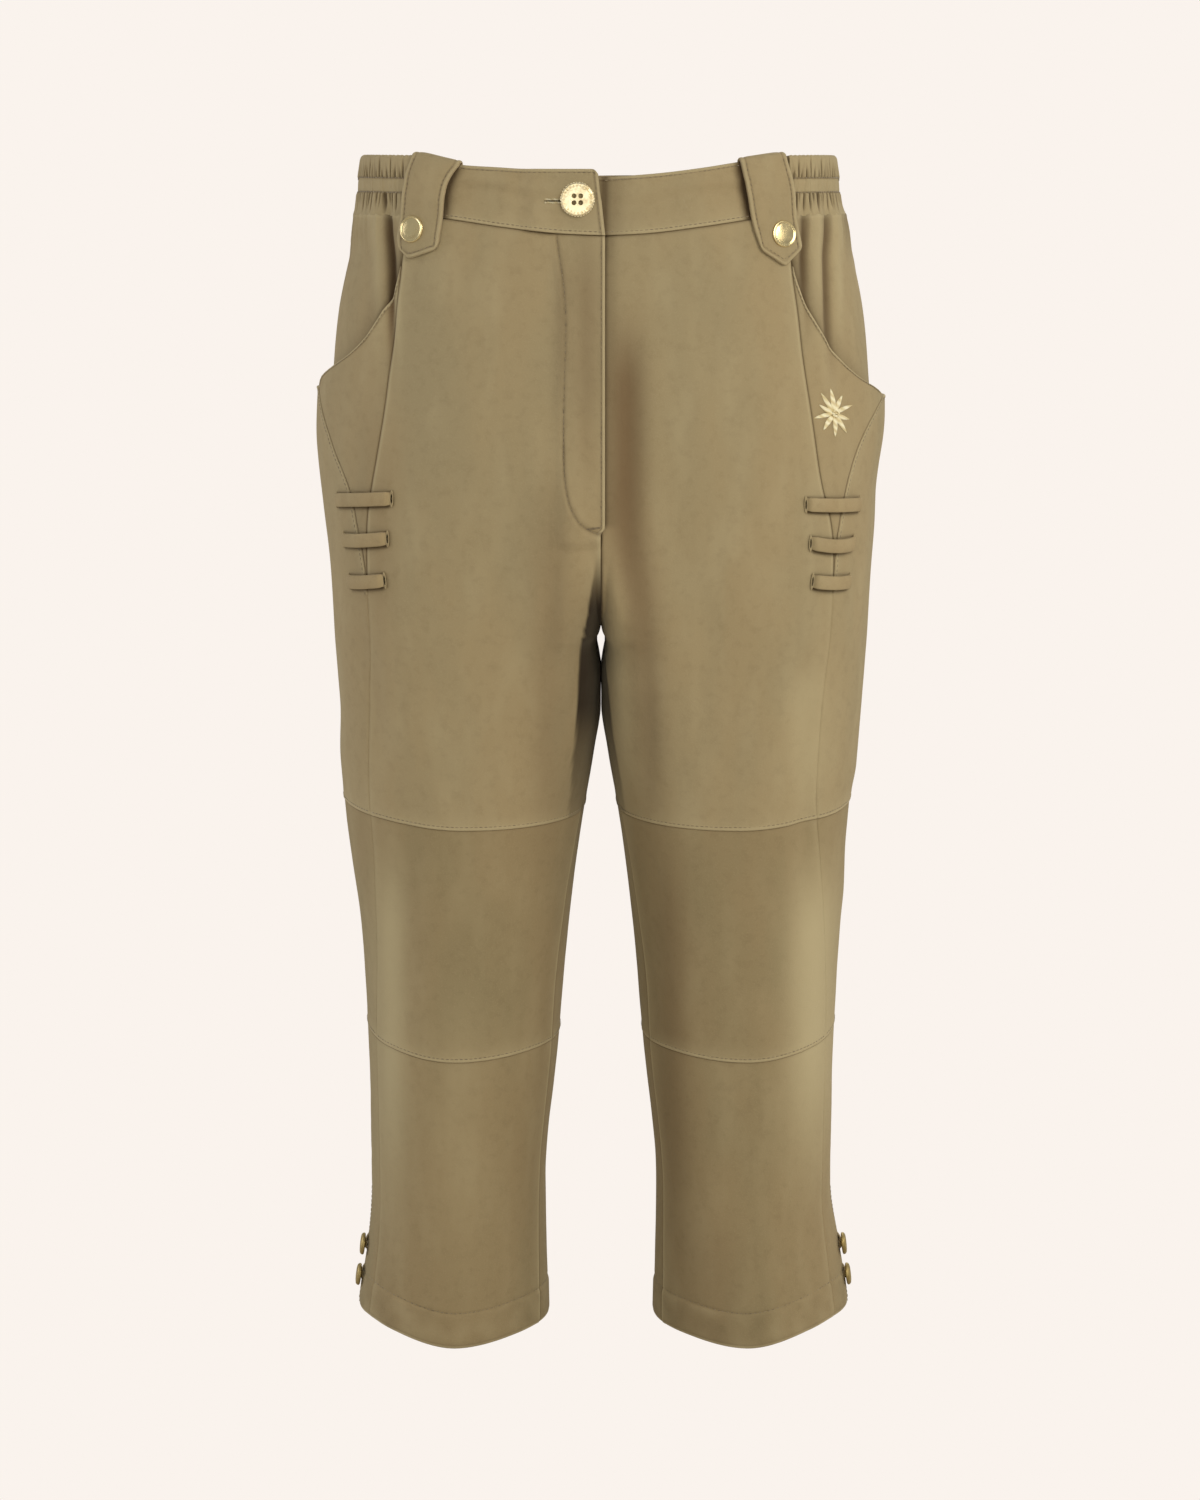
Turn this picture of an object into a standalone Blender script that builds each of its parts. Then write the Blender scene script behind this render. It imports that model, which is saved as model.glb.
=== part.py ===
"""Women's folk-dress lederhosen: three-quarter suede trousers, filled out as worn, with no wearer.

Metres, +Z up. The origin is the middle of the waist, the front faces -Y and the wearer's left is +X,
so "_r" is the wearer's right. Every panel is a wall laid on one form. The form is a half outline at
each height, which runs from the centre front, or the inner leg, round the outside to the centre back.
A place on it is a height and a share, 0 to 1, of that outline. Tables and sizes are in millimetres.
"""

from collections import namedtuple
from functools import lru_cache
from math import atan2, cos, exp, pi, sin

import bmesh
import bpy
import numpy as np
from mathutils import Matrix, Vector

MM = 0.001

# ---------------------------------------------------------------- driving dimensions

SUEDE = 1.5  # wall of a panel
BAND_WALL = 2.6  # the waistband is two layers with a stiffener
SEAM_GAP = 0.3
CLEAR = 0.4  # between pieces that lie on each other

CROTCH_Z = -321.6
CROTCH_Y = 10.0
FRONT_RISE_START = -236.0  # height where the front rise starts to curve under
BACK_RISE_START = -185.0
RISE_POWER = 3.0  # how late and how sharply the rise curves under
OUTER_DEPTH = 0.35  # depth of the outermost line, as a share of the front's and back's y together
NORMAL_STEP = 1.0
ARC_STEPS = 36  # points to each of an outline's four arcs
LEG_CENTRED = 250.0  # below the crotch, the inner leg line is in mid depth from here down

# x of the outermost line, y of the front and back, x of the line that is furthest forward and back, and
# how square the outside is: 2 is an ellipse, more is squarer, less is more pointed, as at the pressed hems
Section = namedtuple("Section", "z side front back crest square")
SECTIONS = (
    Section(z=4, side=163.0, front=-96, back=88, crest=0, square=2.15),
    Section(z=-50, side=172.5, front=-100, back=100, crest=5, square=2.15),
    Section(z=-100, side=183.0, front=-106, back=114, crest=20, square=2.15),
    Section(z=-160, side=189.0, front=-111, back=126, crest=42, square=2.15),
    Section(z=-200, side=192.0, front=-112, back=130, crest=56, square=2.15),
    Section(z=-250, side=191.0, front=-110, back=127, crest=72, square=2.15),
    Section(z=-290, side=188.5, front=-106, back=118, crest=83, square=2.15),
    Section(z=-322, side=187.0, front=-102, back=110, crest=92, square=2.15),
    Section(z=-370, side=184.0, front=-96, back=100, crest=92, square=2.15),
    Section(z=-454, side=177.7, front=-87, back=87, crest=94, square=2.15),
    Section(z=-540, side=170.5, front=-80, back=81, crest=97, square=2.15),
    Section(z=-621, side=166.5, front=-75, back=76, crest=99, square=2.15),
    Section(z=-730, side=165.5, front=-70, back=72, crest=102, square=2.05),
    Section(z=-834, side=177.0, front=-69, back=70, crest=106, square=1.85),
)

# x of the inner leg: a slit of light under the crotch, thighs that nearly touch, then the open gap.
# Its corners are squarer high up, where the groove between the legs is narrow.
InnerLeg = namedtuple("InnerLeg", "z x front_square back_square")
INNER_LEG = (
    InnerLeg(z=-185, x=0.3, front_square=30.0, back_square=7.0),
    InnerLeg(z=-236, x=0.3, front_square=30.0, back_square=5.4),
    InnerLeg(z=-262, x=0.3, front_square=20.0, back_square=5.0),
    InnerLeg(z=-286, x=0.3, front_square=12.0, back_square=4.6),
    InnerLeg(z=-304, x=0.3, front_square=7.5, back_square=4.3),
    InnerLeg(z=-322, x=0.3, front_square=4.8, back_square=4.0),
    InnerLeg(z=-328, x=2.8, front_square=4.4, back_square=3.9),
    InnerLeg(z=-333, x=3.2, front_square=4.2, back_square=3.85),
    InnerLeg(z=-339, x=2.6, front_square=4.0, back_square=3.8),
    InnerLeg(z=-346, x=1.2, front_square=3.8, back_square=3.7),
    InnerLeg(z=-353, x=0.3, front_square=3.7, back_square=3.6),
    InnerLeg(z=-382, x=0.3, front_square=3.2, back_square=3.1),
    InnerLeg(z=-410, x=4.2, front_square=2.9, back_square=2.8),
    InnerLeg(z=-454, x=11.8, front_square=2.45, back_square=2.4),
    InnerLeg(z=-540, x=23.0, front_square=2.15, back_square=2.15),
    InnerLeg(z=-621, x=30.0, front_square=2.1, back_square=2.1),
    InnerLeg(z=-730, x=40.0, front_square=2.05, back_square=2.05),
    InnerLeg(z=-834, x=38.0, front_square=1.85, back_square=1.85),
)
RISE_SOFTNESS = 0.3  # how softly the panels turn in to the rise seam

# Level seams: height at shares of the half outline. 0 and 1 are the centre lines or the inner leg.
Height = namedtuple("Height", "share z")
WAIST_TOP = {
    "r": (Height(0, -6.5), Height(0.11, -6.5), Height(0.17, -5.3), Height(0.225, -4), Height(0.31, 1.5),
          Height(0.5, 0.5), Height(0.6, -1.5), Height(0.69, -4), Height(0.77, -9), Height(0.88, -14),
          Height(1, -17.5)),
    "l": (Height(0, -11.7), Height(0.045, -10.7), Height(0.093, -9.1), Height(0.157, -6), Height(0.234, -1.5),
          Height(0.31, 1.5), Height(0.5, 0.5), Height(0.6, -1.5), Height(0.69, -4), Height(0.77, -9),
          Height(0.88, -14), Height(1, -17.5)),
}
WAIST_SEAM = (Height(0, -50), Height(0.07, -48.5), Height(0.15, -44.5), Height(0.24, -39.5),
              Height(0.33, -37), Height(0.5, -38), Height(0.69, -43), Height(0.88, -52), Height(1, -55.5))
UPPER_KNEE = (Height(0, -451.5), Height(0.13, -453), Height(0.26, -455), Height(0.38, -450),
              Height(0.5, -446), Height(0.75, -449), Height(1, -451.5))
LOWER_KNEE = (Height(0, -616), Height(0.13, -618.5), Height(0.26, -622.5), Height(0.38, -616),
              Height(0.5, -609), Height(0.75, -612), Height(1, -616))
HEM = (Height(0, -828), Height(0.13, -829.5), Height(0.24, -833.5), Height(0.36, -825),
       Height(0.43, -821.5), Height(0.5, -821.5), Height(0.75, -829), Height(1, -828))
HEM_TURN_UP = 26.0
HEM_EXTRA_WALL = 1.1  # the turned-up layer, on the inside
HEM_FADE = 3.0

# Upright seams on the front, as x at a height
Seam = namedtuple("Seam", "z x")
POCKET_TOP_Z = -66.0
INSET_TOP_Z = -71.5
INSET_TIP_Z = -292.0
INSET_TIP_CLEAR = 6.0  # the inset ends this far above the tip of its V, where its walls would meet
INSET_INNER = {
    "r": (Seam(-30, 125.5), Seam(-66, 133), Seam(-80, 134.7), Seam(-106, 138.2), Seam(-137, 141.6),
          Seam(-173, 146.6), Seam(-190, 149.6), Seam(-221, 155.4), Seam(-236, 157.8), Seam(-250, 158.8),
          Seam(-272, 159), Seam(-292, 158.8), Seam(-320, 158), Seam(-367, 160), Seam(-431, 160),
          Seam(-484, 157.5), Seam(-552, 158), Seam(-608, 159), Seam(-730, 157.5), Seam(-840, 168)),
    "l": (Seam(-30, 120.5), Seam(-66, 127), Seam(-74, 127.8), Seam(-101, 131.6), Seam(-134, 135.4),
          Seam(-172, 141.7), Seam(-224, 150.4), Seam(-239, 154.6), Seam(-252, 156.8), Seam(-272, 157.8),
          Seam(-292, 157.5), Seam(-320, 156), Seam(-365, 151.5), Seam(-431, 149), Seam(-484, 153),
          Seam(-552, 156.5), Seam(-608, 158), Seam(-730, 157.5), Seam(-840, 168)),
}
INSET_OUTER = {
    "r": (Seam(-157, 187.3), Seam(-166, 186.6), Seam(-198, 179.5), Seam(-225, 170), Seam(-251, 165),
          Seam(-272, 161), Seam(-292, 158.8)),
    "l": (Seam(-163, 187.3), Seam(-174, 182), Seam(-189, 175.5), Seam(-227, 165), Seam(-243, 162),
          Seam(-263, 159.4), Seam(-292, 157.5)),
}
POCKET_MOUTH = {
    "r": (Seam(-66, 133.6), Seam(-83, 137.8), Seam(-99, 145.8), Seam(-116, 155.7), Seam(-131, 168.1),
          Seam(-141, 178.5), Seam(-148, 184.5), Seam(-157, 187.3)),
    "l": (Seam(-66, 127.6), Seam(-82, 131.8), Seam(-97, 138.1), Seam(-119, 150), Seam(-140, 165.2),
          Seam(-150, 175.5), Seam(-157, 183.5), Seam(-163, 187.3)),
}
MOUTH_END_Z = {"r": -157.0, "l": -163.0}

# Line where the panels turn in towards the middle: more points lie between it and the centre seams
GROOVE_EDGE = (Seam(0, 14), Seam(-240, 14), Seam(-322, 15), Seam(-384, 18), Seam(-454, 32),
               Seam(-621, 52), Seam(-840, 60))

# Upright seams given as a run along the outline: forward of the inner leg, and behind the outermost line
Run = namedtuple("Run", "z run")
INSEAM = (Run(-321, 0), Run(-332, 16), Run(-350, 38), Run(-372, 50), Run(-452, 33), Run(-570, 35),
          Run(-626, 31), Run(-722, 28), Run(-840, 28))
SIDE_SEAM = (Run(10, 22), Run(-160, 22), Run(-322, 18), Run(-454, 10), Run(-621, 3), Run(-730, 0),
             Run(-840, 0))

# Pockets
HIP_RECESS = 2.3  # the hip panel lies this far under the pocket's edge
HIP_RECESS_START_Z, HIP_RECESS_FADE = -46.0, 22.0
HIP_CLEAR, HIP_CLEAR_FADE = 1.0, 8.0  # its near edge keeps clear of the inset, from the pocket's top down
HIP_HIDDEN_END_Z = -202.0
POCKET_GAPE = 7.5  # how far the pocket's outer corner stands off
POCKET_GAPE_END_Z = {"r": -285.0, "l": -232.0}
POCKET_CORNER = 0.478  # share of the outline at the outer corner
POCKET_STAND_OFF = 0.2  # everywhere else

# Fly and lap of the band
FLY_BOTTOM_Z = -246.0
FLY_LAP = 2.6  # the right front runs this far past the centre
FLY_UNDERLAP = 8.0
FLY_LIFT = 2.2
FLY_LIFT_WIDTH = 22.0
FLY_LIFT_FADE = 13.0
FLY_TAIL, FLY_TAIL_FADE = 14.0, 9.0  # the lift ends this far under the fly, and grows over this height
ZIP_WIDTH = 11.0
ZIP_WALL = 1.0
ZIP_OUT = -0.2
ZIP_ROWS = (-53, -88, -132, -188, -232)
BAND_LAP_TOP, BAND_LAP_FOOT = -2.0, 2.7  # the lap's end slants: it ends this far past the centre
BAND_TOP_Z, BAND_MIDDLE_Z, BAND_FOOT_Z = -7.0, -25.0, -50.0  # of its front
BAND_UNDERLAP = 30.0
BAND_LIFT_RUN, BAND_LIFT_FADE = 26.0, 14.0  # past the underlap, the lap comes down over this run
BAND_COLUMNS = 10

# Elastic inserts
GATHERS = 12
GATHER_COLUMNS = 3  # to each gather
ELASTIC_START_X = 126.8
ELASTIC_PAST_SIDE = 30.0  # run from the side seam to its end on the back
ELASTIC_DRAWN_IN = 2.2  # behind the rest of the band
Channel = namedtuple("Channel", "down height")  # share of the way down the band, height of the gathers
CHANNELS = (Channel(0, 1.1), Channel(0.19, 2.2), Channel(0.37, 0.5), Channel(0.61, 0.5),
            Channel(0.81, 2.2), Channel(1, 1.0))

# Soft folds. A fold's line is given by its top and bottom: the height, and the run round from the
# outermost line, minus towards the front. Depth is out (+) or in (-); width is half its width.
FOLD_FREE_EDGE = 16.0  # folds fade in from the groove between the legs over this run
Fold = namedtuple("Fold", "name side z_top run_top z_bottom run_bottom depth width")
FOLDS = (
    Fold("hip crease", "r", -30, -67, -112, -72, -3.0, 6),
    Fold("hip gather", "r", -30, -50, -100, -52, 1.6, 7),
    Fold("hip gather", "r", -30, -33, -112, -33, -1.6, 7),
    Fold("hip gather", "r", -30, -15, -95, -13, 1.5, 7),
    Fold("hip gather", "r", -30, 2, -100, 5, -1.4, 7),
    Fold("hip gather", "l", -30, -65, -95, -68, -1.8, 6),
    Fold("hip gather", "l", -30, -50, -115, -53, 1.5, 7),
    Fold("hip gather", "l", -30, -35, -95, -33, -1.8, 7),
    Fold("hip gather", "l", -30, -17, -120, -11, 1.6, 8),
    Fold("hip gather", "l", -30, 2, -95, 5, -1.4, 7),
    Fold("crotch drag", "r", -262, -242, -420, -201, 2.2, 14),
    Fold("crotch drag", "l", -262, -242, -420, -207, 2.0, 14),
    Fold("outer thigh", "r", -310, -77, -440, -83, -1.8, 11),
    Fold("outer thigh", "l", -330, -105, -600, -65, -2.6, 12),
    Fold("outer knee", "r", -470, -78, -640, -61, -1.6, 12),
    Fold("full over the knee", "r", -390, 0, -540, 0, 3.2, 45),
    Fold("slack over the knee", "l", -430, 0, -520, 0, -2.6, 45),
    Fold("flared hem", "l", -745, 0, -945, 0, 3.6, 45),
    Fold("drawn-in waist", "l", 16, 0, -76, 0, -3.4, 42),
    Fold("under the seat", "r", -270, 242, -330, 192, -3.0, 14),
    Fold("under the seat", "l", -270, 242, -330, 192, -3.0, 14),
    Fold("back of the knee", "r", -425, 110, -470, 178, -3.0, 12),
    Fold("back of the knee", "l", -425, 110, -470, 178, -3.0, 12),
)

# Waist tabs: a strip that folds over the band, with a point and a snap. Its middle line and half width are
# given at shares of the way down its front; its point is a share of the half width there, and a height.
TAB_WALL = 1.6
TabLine = namedtuple("TabLine", "down x half_width")
TAB_LINES = {
    "r": (TabLine(0, 109.4, 16), TabLine(0.15, 113.4, 14.8), TabLine(0.33, 115.8, 13.9),
          TabLine(0.65, 118.8, 14.1), TabLine(0.9, 121.2, 14.2), TabLine(1, 121.4, 13.2)),
    "l": (TabLine(0, 107.5, 15.3), TabLine(0.35, 111.3, 15.6), TabLine(0.68, 114.8, 15),
          TabLine(1, 119.6, 14.4)),
}
TAB_FOOT_Z = -59.7
TAB_POINT = {"r": (0.49, -66.8), "l": (0.18, -71.3)}
TAB_INSIDE_LENGTH = 13.0
TAB_INSIDE_ROWS = (-TAB_INSIDE_LENGTH, -2.5)  # below the band's top edge
TAB_TURNS = (0.0, 0.25, 0.5, 0.75)  # of the half circle over the edge
TabRow = namedtuple("TabRow", "down out")  # share of the way to its foot, clear of the band by
TAB_ROWS = (TabRow(0.03, 0.5), TabRow(0.15, 1.7), TabRow(0.28, 3.2), TabRow(0.41, 3.2), TabRow(0.54, 2.0),
            TabRow(0.66, 0.9), TabRow(0.78, 0.7), TabRow(0.91, 0.7))

# Profiles of turned pieces: radius and height of each ring, from the foot up
SNAP_X = {"r": 124.8, "l": 120.6}
SNAP_Z = {"r": -47.0, "l": -50.0}
SNAP_PROFILE = ((0, 0), (8.4, 0), (9.0, 0.5), (8.8, 1.5), (7.8, 2.0), (6.8, 1.6), (6.0, 1.6), (3.4, 2.2),
                (0, 2.5))

# Waist button and its hole
BUTTON_X, BUTTON_Z = 15.4, -26.5
BUTTON_SHANK = 1.7
BUTTON_PROFILE = ((BUTTON_SHANK, 0.5), (10.3, 0.5), (11.1, 1.2), (11.1, 2.3), (10.4, 2.9), (9.0, 2.8),
                  (8.6, 2.5), (0, 2.5))
BUTTONHOLE_END_X = 37.0
BUTTONHOLE_EYE, BUTTONHOLE_SLIT = 2.6, 1.3  # radius of the round end, width of the slit
THREAD_HOLE, THREAD_HOLE_CENTRE = 1.25, 2.1  # radius, and distance from both of the button's axes

# Leather strips across the foot of each inset, from share to share
Strip = namedtuple("Strip", "side start end z_start z_end sag")
STRIPS = (
    Strip("r", 0.277, 0.385, -225.7, -230.9, 0.0),
    Strip("r", 0.284, 0.371, -252.9, -257.5, 0.6),
    Strip("r", 0.293, 0.363, -281.6, -285.8, 0.4),
    Strip("l", 0.270, 0.373, -229.5, -233.2, 0.3),
    Strip("l", 0.278, 0.359, -255.8, -258.9, 1.8),
    Strip("l", 0.285, 0.355, -282.0, -285.0, 0.8),
)
STRIP_WIDTH, STRIP_WALL, STRIP_STAND_OFF = 9.4, 1.8, 0.35
STRIP_BULGE, STRIP_FULLNESS = 2.4, 0.6  # a lower fullness stands more upright at the ends
STRIP_STEPS = 7

# Side vents of the lower legs
VENT_TOP_Z = -733.0
VENT_HALF_GAP = 1.4
VENT_FADE = 14.0  # it opens over this height
VENT_BUTTONS_Z = (-776.5, -799.5)
VENT_BUTTON_FORWARD = 6.5
VENT_BUTTON_PROFILE = ((0, 0), (2.6, 0), (2.6, 0.5), (7.4, 0.6), (8.0, 1.3), (7.6, 2.9), (5.6, 3.6),
                       (4.6, 3.1), (0, 3.0))
LOOP_WIDTH, LOOP_WALL, LOOP_BACK = 6.0, 1.1, 13.0
LOOP_PAST_BUTTON = 2.0

# Heights of the rows of points: close together at the pocket, the end of the fly and the crotch
FRONT_ROWS = (-62, -74, -88, -102, -118, -132, -146, -158, -170, -188, -210, -232, -246, -252, -268,
              -283, -297, -306, -313, -318, -320.8, -321.6, -323.5, -328, -333, -339, -356, -384, -418)
BACK_ROWS = (-74, -102, -132, -158, -188, -210, -232, -252, -268, -283, -297, -306, -313, -318, -320.8,
             -321.6, -323.5, -328, -333, -339, -356, -384, -418)
HIP_ROWS = (-52, -66, -82, -102, -124, -150, -178)
FRONT_COLUMNS, BACK_COLUMNS, HIP_COLUMNS, INSET_COLUMNS, SIDE_COLUMNS = (3, 6), (6, 5), (20,), (3,), (4,)
KNEE_ROWS = (-480, -507, -534, -561, -588)
SHIN_ROWS = (-652, -684, -716, -733, -758, -780, -803)


# ---------------------------------------------------------------- the form

def smooth(table, at):
    """Reads a table of (position, value) rows through a smooth curve that never runs past its rows."""
    rows = sorted((float(row[0]), float(row[1])) for row in table)
    xs, ys = zip(*rows)
    if at <= xs[0]:
        return ys[0]
    if at >= xs[-1]:
        return ys[-1]
    slopes = [(b - a) / (q - p) for a, b, p, q in zip(ys, ys[1:], xs, xs[1:])]
    spans = [q - p for p, q in zip(xs, xs[1:])]
    bends = [slopes[0]]
    for before, after, left, right in zip(slopes, slopes[1:], spans, spans[1:]):
        mean = (before * right + after * left) / (left + right)
        most = 3 * min(abs(before), abs(after)) if before * after > 0 else 0.0
        bends.append(min(max(mean, -most), most))
    bends.append(slopes[-1])
    i = next(k for k in range(len(spans)) if at <= xs[k + 1])
    t = (at - xs[i]) / spans[i]
    return (
        (2 * t**3 - 3 * t**2 + 1) * ys[i]
        + (t**3 - 2 * t**2 + t) * spans[i] * bends[i]
        + (3 * t**2 - 2 * t**3) * ys[i + 1]
        + (t**3 - t**2) * spans[i] * bends[i + 1]
    )


def ease(t):
    """0 to 1 with no kink at either end."""
    t = min(max(t, 0.0), 1.0)
    return t * t * (3 - 2 * t)


def of_column(table, field, z):
    """Reads one named column of a table of heights."""
    return smooth([(row.z, getattr(row, field)) for row in table], z)


def rise_y(z, start, flat):
    """Depth of the rise seam: it leaves the front or back line and curves under to the crotch."""
    t = min(max((start - z) / (start - CROTCH_Z), 0.0), 1.0)
    return flat + (CROTCH_Y - flat) * (1 - (1 - t**RISE_POWER) ** (1 / RISE_POWER))


def held_at(depths, rise, flat):
    """Depths of an outline, held softly from going further in than the rise seam."""
    sign = 1.0 if flat < CROTCH_Y else -1.0
    soft = RISE_SOFTNESS * min(abs(rise - flat), 5.0)
    apart = sign * (depths - rise)
    return rise + sign * 0.5 * (apart - np.sqrt(apart**2 + soft**2))


@lru_cache(maxsize=None)
def outline(z_micron):
    """Half outline at a height: its points, the run to each, and the runs to the outermost line."""
    z = z_micron * MM
    side, front, back, crest, square = (of_column(SECTIONS, name, z) for name in Section._fields[1:])
    outer_y = OUTER_DEPTH * (front + back)
    turn = np.linspace(0, pi / 2, ARC_STEPS + 1)

    def corner(how_square):
        return np.cos(turn) ** (2 / how_square), np.sin(turn) ** (2 / how_square)

    low, high = corner(square)
    front_low, front_high = corner(of_column(INNER_LEG, "front_square", z))
    back_low, back_high = corner(of_column(INNER_LEG, "back_square", z))
    if z >= CROTCH_Z:
        inner, middle = SEAM_GAP / 2, CROTCH_Y
    else:
        inner = of_column(INNER_LEG, "x", z)
        share = min(1.0, (CROTCH_Z - z) / LEG_CENTRED)
        middle = CROTCH_Y * (1 - share) + 0.5 * (front + back) * share
    inner_front = middle + (front - middle) * front_high
    inner_back = middle + (back - middle) * back_low
    if z >= CROTCH_Z:
        inner_front = held_at(inner_front, rise_y(z, FRONT_RISE_START, front), front)
        inner_back = held_at(inner_back, rise_y(z, BACK_RISE_START, back), back)
    arcs = (
        (crest - (crest - inner) * front_low, inner_front),
        (crest + (side - crest) * high, outer_y + (front - outer_y) * low),
        (crest + (side - crest) * low, outer_y + (back - outer_y) * high),
        (crest - (crest - inner) * back_high, inner_back),
    )
    xs = np.concatenate([arc[0][bool(k):] for k, arc in enumerate(arcs)])
    ys = np.concatenate([arc[1][bool(k):] for k, arc in enumerate(arcs)])
    run = np.concatenate([[0], np.cumsum(np.hypot(np.diff(xs), np.diff(ys)))])
    return xs, ys, run, run[2 * ARC_STEPS]


def outline_at(z):
    return outline(round(z / MM))


def length(z):
    return outline_at(z)[2][-1]


def form_point(z, share):
    """Point of the plain form. A share below 0 is across the centre front; on a leg it wraps round."""
    xs, ys, run, _ = outline_at(z)
    flip = 1.0
    if z < CROTCH_Z:
        share = share % 1.0
    elif share < 0:
        share, flip = -share, -1.0
    at = min(share, 1.0) * run[-1]
    return np.array([flip * np.interp(at, run, xs), np.interp(at, run, ys), z])


def distance_out(z, place, outward):
    """How far the outline at a height lies outside a place, along a level direction."""
    xs, ys, _, _ = outline_at(z)
    starts = np.stack([xs[:-1], ys[:-1]], axis=1)
    spans = np.stack([np.diff(xs), np.diff(ys)], axis=1)
    share = np.clip(((place - starts) * spans).sum(axis=1) / (spans**2).sum(axis=1), 0, 1)
    nearest = starts + share[:, None] * spans - place
    best = np.argmin((nearest**2).sum(axis=1))
    return float(nearest[best] @ outward)


def form_normal(z, share):
    """Unit vector out of the form. Heights above and below stay on their own side of the crotch."""
    flip = 1.0
    if z >= CROTCH_Z and share < 0:
        share, flip = -share, -1.0
    step = NORMAL_STEP / length(z)
    low, high = share - step, share + step
    up, down = z + NORMAL_STEP, z - NORMAL_STEP
    if z >= CROTCH_Z:
        low, high = max(low, 0.0), min(high, 1.0)
        down = max(down, CROTCH_Z)
    else:
        up = min(up, CROTCH_Z - MM)
    along = form_point(z, high) - form_point(z, low)
    outward = np.array([along[1], -along[0]]) / np.hypot(along[0], along[1])
    place = form_point(z, share)[:2]
    slope = (distance_out(up, place, outward) - distance_out(down, place, outward)) / (up - down)
    normal = np.array([outward[0], outward[1], -slope])
    return normal / np.linalg.norm(normal) * np.array([flip, 1.0, 1.0])


def folds(side, z, share):
    """How far the soft folds move the cloth out at a place."""
    run, outermost = outline_at(z)[2:]
    from_outermost = share * run[-1] - outermost
    total = 0.0
    for fold in FOLDS:
        if fold.side != side:
            continue
        t = (z - fold.z_top) / (fold.z_bottom - fold.z_top)
        away = (from_outermost - fold.run_top - (fold.run_bottom - fold.run_top) * t) / fold.width
        total += fold.depth * ease((t + 0.1) / 0.3) * ease((1.0 - t) / 0.55) * exp(-away * away)
    free = min(share - groove_front(z), groove_back(z) - share) * run[-1]
    return total * ease(free / FOLD_FREE_EDGE)


def skin(side, z, share, out=0.0):
    """A point of the garment on the wearer's right or left, moved out along the form's normal."""
    place = form_point(z, share) + form_normal(z, share) * (out + folds(side, z, share))
    if side == "r":
        place[0] = -place[0]
    return Vector(place) * MM


def share_at(z, x, back=False):
    """Share of the outline, on its front or back, where it is this far from the middle."""
    xs, _, run, _ = outline_at(z)
    half = 2 * ARC_STEPS
    if back:
        return float(np.interp(x, xs[half:][::-1], run[half:][::-1]) / run[-1])
    return float(np.interp(x, xs[:half + 1], run[:half + 1]) / run[-1])


def level(table, share):
    return smooth(table, share % 1.0 if share > 1.0 else abs(share))


# ---------------------------------------------------------------- seams as functions of height

def centre_front(z):
    return smooth(INSEAM, z) / length(z) if z < CROTCH_Z else 0.0


def centre_back(z):
    return 1.0 + centre_front(z)


def groove_front(z):
    """Where the front turns into the groove between the legs, or into the inner leg."""
    return share_at(z, smooth(GROOVE_EDGE, z))


def groove_back(z):
    return share_at(z, smooth(GROOVE_EDGE, z), back=True)


def front_side(side):
    """Inner seam of the pocket inset, and below it the seam of the front and side panels."""
    return lambda z: share_at(z, smooth(INSET_INNER[side], z))


def inset_outer(side):
    """Outer edge of the inset: the pocket's mouth, then the outer seam of the V."""
    def at(z):
        table = POCKET_MOUTH if z > MOUTH_END_Z[side] else INSET_OUTER
        return share_at(z, smooth(table[side], z))
    return at


def side_outer(side):
    """Near seam of the side panel: the inset's outer seam, and the front's below it."""
    def at(z):
        return share_at(z, smooth(INSET_OUTER[side], z)) if z > INSET_TIP_Z else front_side(side)(z)
    return at


def side_back(z):
    _, _, run, outermost = outline_at(z)
    return (outermost + smooth(SIDE_SEAM, z)) / run[-1]


def pocket_gape(side):
    """How far the pocket's edge stands off: most at its outer corner, nothing at the seams."""
    def at(z, share):
        inner, corner, seam = front_side(side)(z), POCKET_CORNER, side_back(z)
        over = (share - inner) / (corner - inner) if share < corner else (seam - share) / (seam - corner)
        end = POCKET_GAPE_END_Z[side]
        down = (z - end) / (MOUTH_END_Z[side] - end)
        return POCKET_STAND_OFF + POCKET_GAPE * ease(over) * ease(down)
    return at


# ---------------------------------------------------------------- walls

def faces_of_grid(rows, columns, offset, flip):
    """Quads of a grid of points numbered row by row."""
    quads = []
    for i in range(rows - 1):
        for j in range(columns - 1):
            a = offset + i * columns + j
            b, c, d = a + columns, a + columns + 1, a + 1
            quads.append([a, d, c, b] if flip else [a, b, c, d])
    return quads


def wall_object(name, outer, inner, finish, flip):
    """Closes an outer and an inner grid of points into one wall with rims."""
    rows, columns = len(outer), len(outer[0])
    count = rows * columns
    points = [p for row in outer for p in row] + [p for row in inner for p in row]
    faces = faces_of_grid(rows, columns, 0, flip) + faces_of_grid(rows, columns, count, not flip)
    border = (
        [j for j in range(columns)]
        + [i * columns + columns - 1 for i in range(1, rows)]
        + [(rows - 1) * columns + j for j in range(columns - 2, -1, -1)]
        + [i * columns for i in range(rows - 2, 0, -1)]
    )
    for a, b in zip(border, border[1:] + border[:1]):
        rim = [a, b, b + count, a + count]
        faces.append(rim[::-1] if flip else rim)
    return add_object(name, points, faces, finish)


def add_object(name, points, faces, finish):
    mesh = bpy.data.meshes.new(name)
    mesh.from_pydata([tuple(p) for p in points], [], faces)
    mesh.shade_smooth()
    mesh.set_sharp_from_angle(angle=0.7)
    mesh.materials.append(finish)
    obj = bpy.data.objects.new(name, mesh)
    bpy.context.scene.collection.objects.link(obj)
    return obj


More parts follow.
